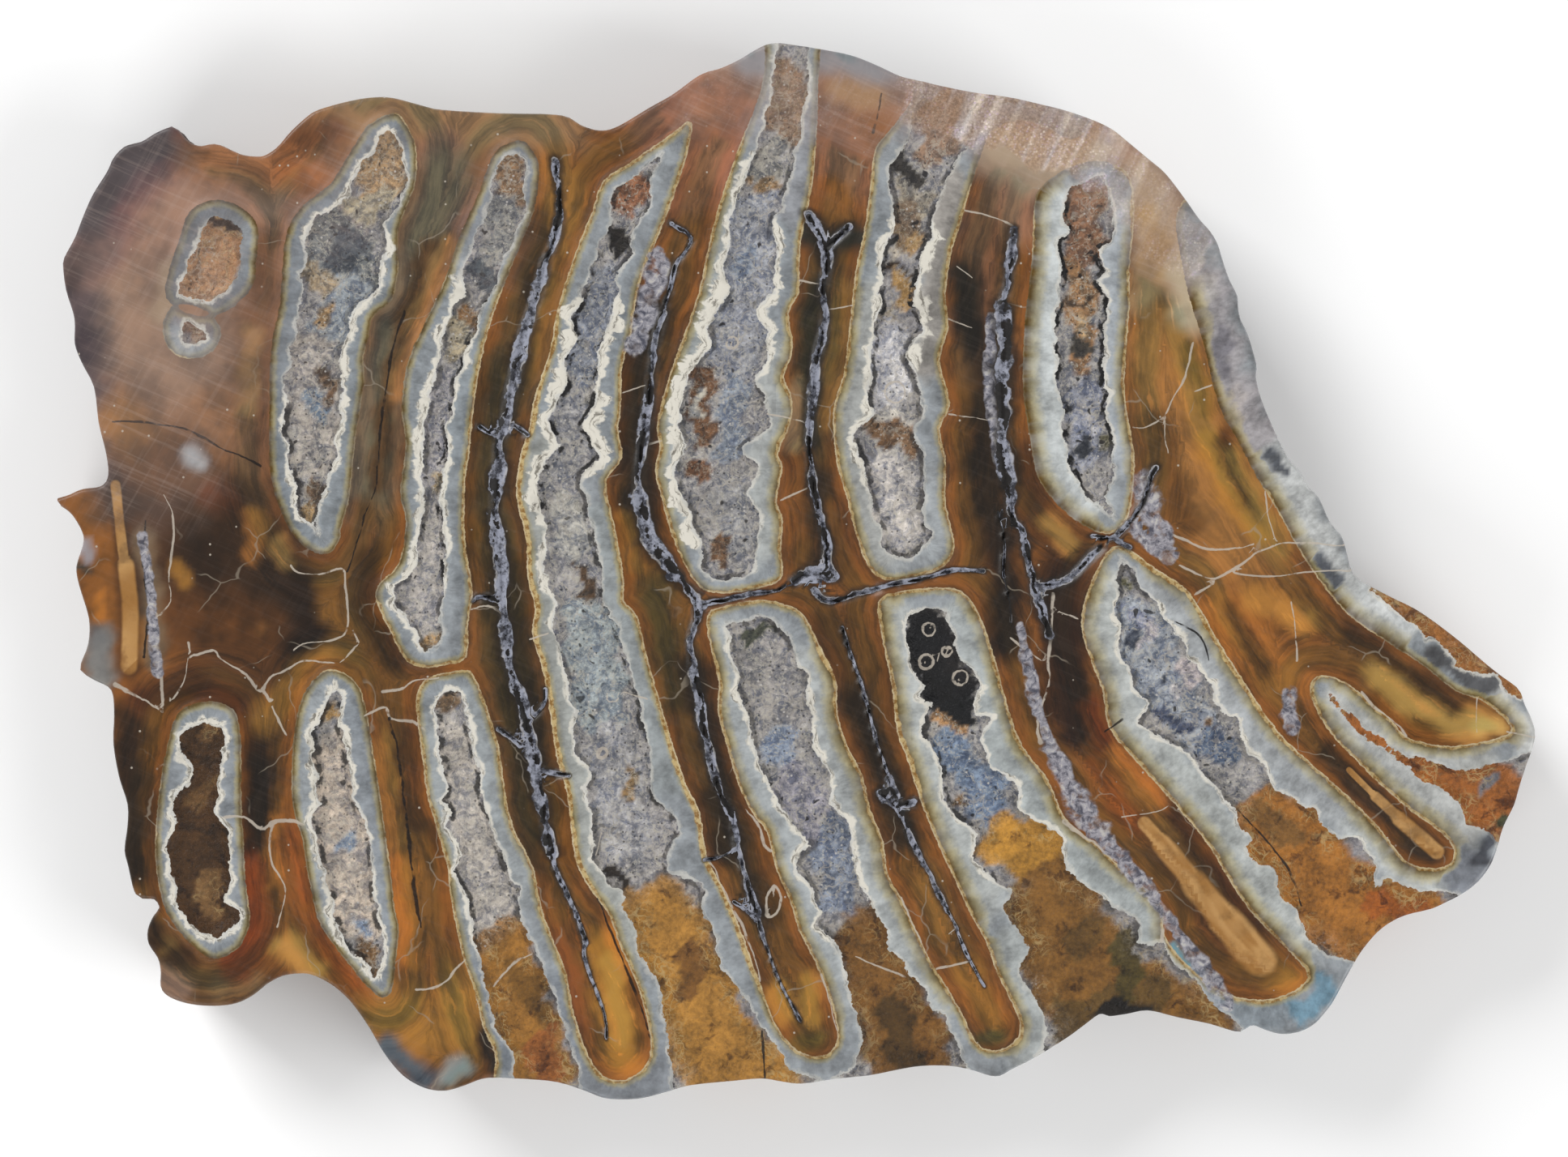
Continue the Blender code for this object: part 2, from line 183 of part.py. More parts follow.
# Cement inside the open lower plates, closed off beyond the rim
CEMENT_BAYS = {
    "bay_third": [
        (-24.0, -8.6), (-23.3, -8.0), (-22.5, -8.3), (-22.0, -10.3), (-21.6, -12.3), (-21.2, -14.5), (-20.6, -16.7),
        (-19.9, -18.8), (-19.2, -20.8), (-18.6, -21.3), (-18.6, -23.0), (-18.0, -24.5), (-17.1, -26.5), (-16.4, -28.0),
        (-15.7, -30.0), (-15.3, -31.5), (-14.6, -33.8), (-14.2, -37.5), (-18.8, -37.5), (-18.9, -33.4), (-19.3, -31.8),
        (-20.3, -30.2), (-20.7, -28.0), (-21.5, -25.4), (-21.8, -23.0), (-22.9, -20.6), (-22.5, -18.8), (-23.4, -17.0),
        (-23.5, -14.8), (-23.9, -12.0), (-24.2, -9.6)],
    "bay_fourth": [
        (-8.9, 28.2), (-10.2, 27.0), (-12.3, 25.7), (-12.4, 23.9), (-13.2, 22.0), (-13.8, 20.0), (-14.3, 18.4),
        (-15.0, 17.0), (-14.6, 15.8), (-15.4, 14.1), (-15.7, 12.1), (-16.5, 10.3), (-16.0, 8.6), (-17.2, 6.6),
        (-17.1, 4.4), (-16.6, 1.6), (-16.8, 0.2), (-16.0, -2.3), (-16.2, -4.3), (-15.3, -7.4), (-14.8, -9.4),
        (-14.7, -12.0), (-13.8, -13.8), (-13.9, -15.3), (-13.5, -17.0), (-13.5, -19.4), (-12.7, -20.9), (-11.2, -22.0),
        (-11.9, -22.6), (-10.8, -24.2), (-10.6, -25.6), (-9.8, -27.0), (-8.9, -28.6), (-8.8, -30.2), (-8.4, -32.0),
        (-8.3, -37.0), (1.6, -37.0), (1.6, -34.1), (0.3, -33.8), (-0.7, -33.1), (-1.8, -31.4), (-2.6, -29.8),
        (-3.9, -28.0), (-5.0, -26.4), (-5.2, -24.8), (-6.2, -22.9), (-6.2, -21.2), (-7.2, -20.6), (-8.6, -19.8),
        (-8.2, -18.2), (-7.8, -17.4), (-8.4, -16.1), (-9.6, -15.0), (-9.9, -12.0), (-10.5, -9.0), (-11.2, -6.8),
        (-11.9, -4.0), (-12.8, -2.3), (-13.1, 0.6), (-13.7, 3.4), (-13.9, 4.9), (-14.4, 6.0), (-13.4, 7.5), (-13.8, 9.0),
        (-14.3, 10.0), (-13.4, 11.4), (-13.2, 14.2), (-12.5, 16.8), (-11.9, 19.4), (-11.0, 21.4), (-10.4, 23.8),
        (-9.8, 25.4), (-9.6, 26.8)],
    "bay_middle": [
        (-4.6, -3.4), (-2.7, -3.1), (-1.6, -3.2), (-0.2, -4.6), (0.1, -6.2), (0.8, -7.4), (0.9, -9.0), (1.2, -11.6),
        (2.1, -13.4), (2.4, -15.4), (3.5, -17.0), (4.0, -19.6), (4.2, -21.2), (5.5, -23.0), (6.3, -25.0), (7.2, -26.4),
        (8.6, -28.0), (9.3, -29.6), (10.2, -30.0), (10.9, -31.8), (11.6, -33.2), (12.4, -36.5), (2.2, -36.5),
        (2.2, -34.1), (3.6, -33.6), (4.5, -32.1), (4.4, -30.6), (3.8, -28.7), (3.4, -26.7), (2.6, -25.0), (1.4, -23.8),
        (1.5, -22.4), (0.2, -20.1), (0.1, -19.3), (1.1, -18.4), (-0.3, -16.9), (-1.2, -15.2), (-2.4, -13.0),
        (-3.0, -10.4), (-3.9, -8.2), (-3.8, -7.0), (-4.3, -5.0)],
    "bay_fifth": [
        (7.8, -2.8), (9.6, -2.5), (10.8, -4.0), (11.0, -5.8), (12.4, -7.4), (12.2, -9.4), (12.9, -10.2), (12.6, -11.6),
        (13.2, -13.3), (14.8, -14.3), (15.2, -16.0), (16.4, -17.0), (17.9, -17.7), (18.1, -19.4), (19.0, -20.8),
        (20.6, -21.8), (22.3, -22.9), (23.3, -24.2), (24.2, -25.2), (25.2, -26.2), (26.8, -27.4), (28.2, -29.2),
        (30.1, -30.8), (30.4, -34.0), (17.4, -35.5), (16.6, -32.6), (17.1, -31.0), (16.4, -29.0), (15.2, -27.5),
        (15.7, -25.7), (14.8, -23.8), (14.1, -22.5), (14.4, -21.7), (12.7, -20.0), (12.2, -18.4), (11.1, -16.6),
        (10.0, -14.8), (9.5, -12.3), (8.7, -10.6), (8.9, -8.8), (8.4, -7.8), (7.7, -5.2), (7.5, -3.8)],
    "bay_sixth": [
        (22.0, 1.0), (21.7, -0.8), (21.8, -2.6), (21.9, -4.6), (22.8, -6.9), (23.6, -9.0), (23.7, -10.5), (25.6, -11.7),
        (27.3, -13.3), (28.9, -15.0), (29.9, -16.6), (30.8, -17.9), (30.5, -18.8), (32.1, -19.9), (32.6, -21.2),
        (33.9, -22.9), (34.5, -24.4), (35.6, -25.6), (37.1, -26.2), (40.5, -27.5), (47.0, -23.5), (44.4, -21.7),
        (42.0, -21.5), (40.0, -20.9), (39.1, -20.6), (38.5, -18.8), (37.4, -18.0), (36.0, -17.6), (34.7, -15.9),
        (32.7, -14.8), (31.6, -13.0), (30.1, -11.4), (29.6, -9.8), (28.4, -8.6), (27.0, -6.4), (25.9, -4.4),
        (24.4, -2.2), (23.0, -0.8)],
    "bay_right": [
        (36.0, -8.2), (37.4, -9.4), (39.0, -10.9), (41.2, -12.3), (43.4, -13.0), (45.2, -13.4), (47.2, -13.0),
        (49.2, -12.3), (53.0, -12.0), (51.5, -19.5), (47.6, -18.9), (46.6, -17.4), (45.3, -16.8), (44.6, -15.4),
        (42.6, -14.2), (40.7, -12.8), (38.4, -11.3), (36.9, -9.7)],
}

# Shrinkage cracks down the middle of the dentine: half width in traced mm, then the path
FISSURES = [
    (0.32, [(-15.9, 25.6), (-16.0, 23.4), (-16.8, 21.0), (-17.7, 17.7), (-18.7, 14.3), (-19.3, 11.5), (-19.9, 9.0),
            (-20.1, 6.0), (-20.2, 3.6), (-19.8, 1.0), (-19.7, -1.2), (-19.4, -4.0), (-19.2, -6.5), (-18.4, -9.0),
            (-17.8, -11.5), (-17.3, -14.5), (-16.7, -17.5), (-16.2, -20.0), (-15.2, -22.0), (-14.2, -24.5)]),
    (0.26, [(-8.3, 20.2), (-9.0, 17.2), (-9.6, 14.0), (-10.0, 11.0), (-10.4, 7.6), (-10.4, 5.2)]),
    (0.24, [(-6.9, -4.4), (-6.6, -7.5), (-6.2, -10.5), (-5.5, -13.5), (-4.4, -16.6), (-3.6, -20.0), (-2.6, -23.0),
            (-1.6, -26.0), (-0.2, -28.8)]),
    (0.28, [(2.2, 21.0), (2.0, 18.6), (2.0, 16.0), (1.4, 13.4), (1.1, 10.0), (1.1, 7.0), (1.6, 4.2), (2.2, 1.6)]),
    (0.22, [(3.3, -4.0), (4.1, -6.5), (5.0, -9.5), (5.9, -12.5), (6.8, -15.6), (8.0, -18.4), (9.6, -21.6),
            (11.2, -24.6)]),
    (0.30, [(14.8, 22.6), (14.3, 19.0), (14.1, 16.0), (14.0, 12.0), (14.0, 8.6), (14.6, 5.2), (15.3, 2.8), (16.1, -0.4),
            (17.1, -4.0)]),
]

# Open hollows beside the cracks, as closed outlines
VOIDS = [
    [(-10.5, 5.0), (-10.2, 4.8), (-9.7, 3.0), (-8.7, 1.5), (-7.4, -0.2), (-6.6, -1.6), (-6.7, -2.1), (-7.2, -1.4),
     (-8.2, -0.3), (-9.2, 0.9), (-10.1, 2.4), (-10.5, 3.9)],
    [(0.1, -0.6), (0.8, 0.1), (1.9, 0.3), (2.3, -0.3), (1.2, -0.8), (0.3, -1.1)],
    [(-21.7, -1.8), (-20.9, -1.7), (-20.2, -1.9), (-20.3, -2.2), (-21.1, -2.1)],
]


def traced(points):
    """Traced millimetres to metres."""
    return np.asarray(points, dtype=float) * SCALE


def collection(name):
    made = bpy.data.collections.new(name)
    bpy.context.scene.collection.children.link(made)
    return made


def prism(name, outlines, low, high, target):
    """A flat outline, with any holes in it, extruded from height low to height high and made a closed mesh."""
    curve = bpy.data.curves.new(name, "CURVE")
    curve.dimensions = "2D"
    curve.fill_mode = "BOTH"
    curve.extrude = (high - low) / 2
    for points in outlines:
        spline = curve.splines.new("POLY")
        spline.points.add(len(points) - 1)
        spline.points.foreach_set("co", np.column_stack((points, np.zeros(len(points)), np.ones(len(points)))).ravel())
        spline.use_cyclic_u = True
    drawn = bpy.data.objects.new(name + "_outline", curve)
    target.objects.link(drawn)
    evaluated = drawn.evaluated_get(bpy.context.evaluated_depsgraph_get())
    mesh = bpy.data.meshes.new_from_object(evaluated)
    bpy.data.objects.remove(drawn)
    mesh.name = name
    work = bmesh.new()
    work.from_mesh(mesh)
    bmesh.ops.remove_doubles(work, verts=work.verts, dist=JOIN)
    bmesh.ops.translate(work, verts=work.verts, vec=(0.0, 0.0, (low + high) / 2))
    bmesh.ops.recalc_face_normals(work, faces=work.faces)
    work.to_mesh(mesh)
    work.free()
    solid = bpy.data.objects.new(name, mesh)
    target.objects.link(solid)
    return solid


def inward(outline):
    """At each corner of a closed outline, the unit direction into it, and the distance run along it so far."""
    after = np.roll(outline, -1, axis=0) - outline
    before = outline - np.roll(outline, 1, axis=0)
    turned = np.cross(outline, np.roll(outline, -1, axis=0)).sum()
    tangent = after / np.linalg.norm(after, axis=1)[:, None] + before / np.linalg.norm(before, axis=1)[:, None]
    tangent /= np.linalg.norm(tangent, axis=1)[:, None]
    side = math.copysign(1.0, turned)
    normal = side * np.column_stack((-tangent[:, 1], tangent[:, 0]))
    run = np.concatenate(([0.0], np.cumsum(np.linalg.norm(after, axis=1))[:-1]))
    return normal, run


def slab(target):
    """The sawn slab. Its rim is drawn in at each level by RIM_LEVELS and by a swell that runs along the rim."""
    outline = traced(RIM)
    solid = prism("tooth_slice", [outline], 0.0, THICKNESS, target)
    work = bmesh.new()
    work.from_mesh(solid.data)
    for share, _ in RIM_LEVELS[1:-1]:
        everything = work.verts[:] + work.edges[:] + work.faces[:]
        bmesh.ops.bisect_plane(work, geom=everything, plane_co=(0, 0, share * THICKNESS), plane_no=(0, 0, 1))
    work.to_mesh(solid.data)
    work.free()

    places = np.empty(len(solid.data.vertices) * 3)
    solid.data.vertices.foreach_get("co", places)
    places = places.reshape(-1, 3)
    nearest = np.linalg.norm(places[:, None, :2] - outline[None], axis=2).argmin(axis=1)
    normal, run = inward(outline)
    shares = places[:, 2] / THICKNESS
    levels = np.array(RIM_LEVELS)
    inset = np.interp(shares, levels[:, 0], levels[:, 1])
    swell = np.sin(2 * math.pi * run[nearest] / (RIM_WAVE_LENGTH * SCALE) + SWELL_LEAN * shares)
    below_edge = np.clip((SWELL_TOP - shares) / SWELL_FADE, 0.0, 1.0)
    inset = (inset + RIM_WAVE * below_edge * (1 + swell) / 2) * SCALE
    places[:, :2] = outline[nearest] + normal[nearest] * inset[:, None]
    solid.data.vertices.foreach_set("co", places.ravel())
    clear_flat_faces(solid.data)
    return solid


def clear_flat_faces(mesh):
    """Makes the back and the polished face one face each, so that no triangle there folds over at the rim."""
    work = bmesh.new()
    work.from_mesh(mesh)
    for height in (0.0, THICKNESS):
        flat = [face for face in work.faces if all(abs(v.co.z - height) < FLATNESS for v in face.verts)]
        bmesh.ops.dissolve_faces(work, faces=flat, use_verts=False)
    work.to_mesh(mesh)
    work.free()


def crack_outline(path, half_width):
    """A crack's path widened to its half width at the middle and drawn to a point at both ends."""
    path = np.asarray(path, dtype=float)
    step = np.gradient(path, axis=0)
    normal = np.column_stack((-step[:, 1], step[:, 0])) / np.linalg.norm(step, axis=1)[:, None]
    share = np.linspace(0.0, 1.0, len(path))
    half = half_width * np.sqrt(np.sin(math.pi * share).clip(0.0))[:, None]
    left, right = path + normal * half, path - normal * half
    return np.concatenate((left[:1], left[1:-1], right[-1:], right[-2:0:-1]))


def cutters(target):
    """Everything that is taken out of the polished face, from the shallowest level to the deepest."""
    above = THICKNESS + CUT_CLEARANCE
    enamel = [traced(dentine_side) for dentine_side, _ in LOOPS.values()] + [traced(LOWER_ENAMEL)]
    cement = [traced(cement_side) for _, cement_side in LOOPS.values()]
    cement += [traced(bay) for bay in CEMENT_BAYS.values()]
    cracks = [traced(crack_outline(path, half_width)) for half_width, path in FISSURES]
    return [
        prism("dentine_level", [traced(FRAME)] + enamel, THICKNESS - ENAMEL_RISE, above, target),
        prism("cement_level", cement, THICKNESS - CEMENT_DEPTH, above, target),
        prism("fissure_level", cracks, THICKNESS - FISSURE_DEPTH, above, target),
        prism("void_level", [traced(void) for void in VOIDS], THICKNESS - VOID_DEPTH, above, target),
    ]


def fossil_material():
    """Polished fossil tooth, brown dentine being most of it."""
    material = bpy.data.materials.new("fossil_tooth")
    material.use_nodes = True
    shader = material.node_tree.nodes["Principled BSDF"]
    shader.inputs["Base Color"].default_value = (0.22, 0.115, 0.05, 1.0)
    shader.inputs["Roughness"].default_value = 0.4
    shader.inputs["Metallic"].default_value = 0.0
    return material


def main():
    for thing in list(bpy.data.objects):
        bpy.data.objects.remove(thing)
    parts = collection("mammoth_tooth_slice")
    tools = collection("cutters")
    tooth = slab(parts)
    tooth.data.materials.append(fossil_material())
    for cutter in cutters(tools):
        cutter.hide_render = True
        cutter.display_type = "WIRE"
        cut = tooth.modifiers.new(cutter.name, "BOOLEAN")
        cut.operation = "DIFFERENCE"
        cut.solver = "EXACT"
        cut.object = cutter


main()
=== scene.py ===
"""A polished slice of woolly mammoth molar, lying on its sawn back and seen from straight above.

One closed skin stands for the whole slice. Its polished face is a square grid whose outermost nodes are moved
onto the slice's outline; the rim is that outline carried down through a profile, and the back closes it. At
every grid node the script works out how far away each tissue's edge, crack and vein lies, and the materials
turn those distances into enamel, dentine and cement. Lengths here are in millimetres unless a comment says
otherwise, and every list of points holds x and y in turn.
"""
import math

import bpy
import numpy as np
from mathutils.geometry import delaunay_2d_cdt
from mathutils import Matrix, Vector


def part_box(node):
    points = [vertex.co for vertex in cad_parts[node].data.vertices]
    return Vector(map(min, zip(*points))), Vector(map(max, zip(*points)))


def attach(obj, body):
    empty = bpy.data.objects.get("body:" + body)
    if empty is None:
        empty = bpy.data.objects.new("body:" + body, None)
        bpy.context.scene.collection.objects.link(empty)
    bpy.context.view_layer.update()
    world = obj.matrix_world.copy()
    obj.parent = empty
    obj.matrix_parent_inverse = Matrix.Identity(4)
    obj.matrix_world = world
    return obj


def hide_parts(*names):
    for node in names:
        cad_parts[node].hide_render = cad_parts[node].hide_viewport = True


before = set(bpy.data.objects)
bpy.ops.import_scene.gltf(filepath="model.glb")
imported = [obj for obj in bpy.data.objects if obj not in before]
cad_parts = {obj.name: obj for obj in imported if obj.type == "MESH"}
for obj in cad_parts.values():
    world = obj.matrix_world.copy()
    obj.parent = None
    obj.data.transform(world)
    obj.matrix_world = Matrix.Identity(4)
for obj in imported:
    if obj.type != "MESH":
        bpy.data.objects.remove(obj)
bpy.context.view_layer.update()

MM = 0.001
LOW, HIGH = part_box("tooth_slice")
THICKNESS = (HIGH.z - LOW.z) / MM

# The grid
CELL = 0.285
SNAP = 0.5 * CELL             # a node nearer than this to the face's edge is moved onto it
EDGE_INSET = 0.22             # the face's edge lies this far inside the widest outline
BACK_STEP = 2                 # the back uses every second node
CLOSE = 1e-7                  # corners of the back nearer than this would be joined

# How far out each field knows the way to the enamel's edge, to the cement's and to a thin line
ENAMEL_REACH = 4.5
CEMENT_REACH = 3.0
LINE_REACH = 2.0

# Relief of the polished face: each height, then between which distances from the edge it is reached
ENAMEL_RISE = 0.15
ENAMEL_SLOPE = (-0.05, 0.35)
CEMENT_DEPTH = 0.40
CEMENT_SLOPE = (-0.05, 0.55)
CRACK_DEPTH = 0.36
CRACK_SLOPE = (0.1, 1.15)     # from the crack's middle, in half widths
CRACK_END = (-0.2, 0.3)       # from the cement's edge, since cracks stop there
EDGE_RELIEF = 0.3             # the share of the relief that is left at the face's edge
EDGE_CALM = 0.9               # the relief is whole this far in from there

# The rim below the face's edge: height as a share of the thickness, then how far inside the widest outline
RIM_PROFILE = (
    (0.985, 0.07), (0.95, 0.0), (0.85, 0.03), (0.68, 0.0), (0.52, 0.10), (0.36, 0.20), (0.20, 0.16),
    (0.07, 0.12), (0.02, 0.24), (0.0, 0.50))
POLISHED_BANDS = 2            # this many bands below the edge are polished too
RIM_WAVE = 0.16
RIM_WAVE_LENGTH = 7.0
RIM_LEDGE = 0.05
WAVE_TOP = 0.72               # waves and ledges end at this share of the thickness
WAVE_FADE = 0.3               # and are whole this share below it

# Neighbouring faces that meet at less than this angle are shaded as one
SMOOTH_ANGLE = math.radians(58)

# All tissues' colours are multiplied by this
TISSUE_DEPTH = 0.74

# How the slice is seen: the picture's middle and width at the polished face, and the lens
VIEW_CENTRE = (-0.71, -0.49)
VIEW_WIDTH = 105.7
LENS = 85.0
SENSOR = 36.0

# The slice's widest outline
RIM = [
    -48.1, 14, -48.6, 15.3, -48.6, 16.5, -48.7, 17.4, -49.2, 19, -49.4, 20.6, -49.3, 21.2,
    -48.6, 22.5, -48.1, 23.8, -47.4, 25.4, -46.4, 27, -46, 27.9, -45.2, 28.7, -44.1, 29,
    -43.2, 29.55, -42.3, 29.95, -41.8, 30.05, -41.5, 29.7, -40.9, 29, -40.1, 28.7, -39, 28.85,
    -37.4, 28.15, -36.3, 28, -35.7, 28.1, -34.9, 28.65, -34.1, 29.6, -33.2, 30.45, -32.4, 31.05,
    -31.2, 31.45, -30, 31.75, -28.7, 31.97, -27.2, 31.97, -25, 31.4, -23.8, 31.15, -20, 30.92,
    -15.8, 30.8, -14.4, 30.1, -13.1, 29.75, -11.9, 30.05, -9.8, 31.3, -8.2, 32.2, -6.4, 33.5,
    -5, 33.95, -3.8, 34.5, -2.8, 35.1, -1.9, 35.55, -1, 35.65, 0.2, 35.5, 3.1, 35, 4.5, 34.6,
    6, 33.95, 7.2, 33.4, 8.7, 33.05, 10, 32.75, 12, 32.35, 14.5, 32, 16.3, 31.6, 18.3, 31.1,
    20.3, 30.4, 21.5, 29.8, 22.5, 29, 24, 27.75, 25.1, 26.8, 26.5, 24.95, 27.3, 23.8, 28.1, 22.9,
    28.6, 22, 28.9, 21, 29.35, 19.7, 29.9, 18.6, 29.95, 17.9, 30.1, 17, 30.6, 16, 31.2, 13.9,
    31.15, 13.1, 31.45, 11.8, 32.3, 9.7, 33.3, 7.65, 34.15, 6.7, 34.6, 5.75, 35.4, 4.95,
    36.15, 3.3, 36.95, 2.35, 37.4, 0.8, 37.65, -0.05, 38.3, -0.7, 40.3, -1.75, 41.85, -2.5,
    43.2, -3.4, 44.9, -4.7, 46.3, -5.9, 47.5, -6.9, 48.7, -7.75, 49.05, -8.2, 49.3, -9, 49.7, -9.8,
    50, -10.8, 49.95, -11.5, 49.5, -12.9, 49, -14.4, 48.6, -15.8, 47.9, -17.2, 47.4, -18.8,
    46.95, -19.9, 46.2, -20.9, 45.2, -21.7, 44, -22.35, 43, -22.8, 41.2, -23.25, 39.8, -24,
    38.8, -25, 38, -26.1, 37.2, -27.5, 36.4, -29, 35.8, -29.8, 35.1, -30.55, 34.2, -31.05,
    33, -31.25, 31.9, -31, 31, -30.65, 30.5, -30.85, 29.9, -31.1, 28, -30.55, 25.8, -30.1,
    23.9, -29.65, 22.4, -29.9, 21.2, -30.05, 20.6, -29.9, 19.5, -30.7, 18.4, -31.5, 17.2, -32.25,
    15.9, -33, 14.7, -33.6, 13.9, -34.05, 13.2, -34.05, 11.9, -33.65, 10.5, -33.4, 8.6, -33.4,
    7, -33.65, 5, -34.05, 2.8, -34.25, 0.5, -34.6, -0.9, -34.45, -2.2, -34.25, -4, -34.4,
    -7, -34.7, -8.5, -35.1, -10.2, -35.55, -11.6, -35.65, -12.9, -35.55, -14.2, -35.05, -16, -34.5,
    -18, -34.3, -20.7, -34.2, -22.1, -34.65, -23.4, -35.05, -24.6, -35, -25.8, -34.5, -26.8, -33.7,
    -27.8, -32.4, -28.6, -31, -29.4, -29.8, -30.2, -28.8, -31.2, -27.95, -32.3, -27.35,
    -33.2, -27.15, -34.5, -27.3, -35.6, -27.85, -36.6, -28.65, -37.8, -29.2, -39.3, -29.35,
    -40.9, -29.2, -42.2, -28.75, -42.8, -28.1, -42.8, -27, -43, -26.1, -43.6, -25.2, -43.7, -24.3,
    -43.35, -23.35, -42.9, -22.7, -43.25, -22.15, -44.1, -22.1, -44.6, -21.6, -45, -19.9,
    -45.25, -18.8, -45.05, -17.2, -45.05, -15.7, -45.6, -13.95, -46, -11.65, -45.95, -9.6,
    -46.15, -8, -47.2, -7.4, -48.2, -6.75, -48.15, -6.1, -47.7, -4.9, -47.65, -3.2, -48.3, -1,
    -48.5, 0.3, -48.05, 1.8, -48.1, 2.65, -48.9, 3.95, -50, 4.75, -49, 5.15, -48.1, 5.55,
    -46.8, 5.75, -46.35, 6.5, -46.5, 8, -47, 10.05, -47.3, 12.4
]

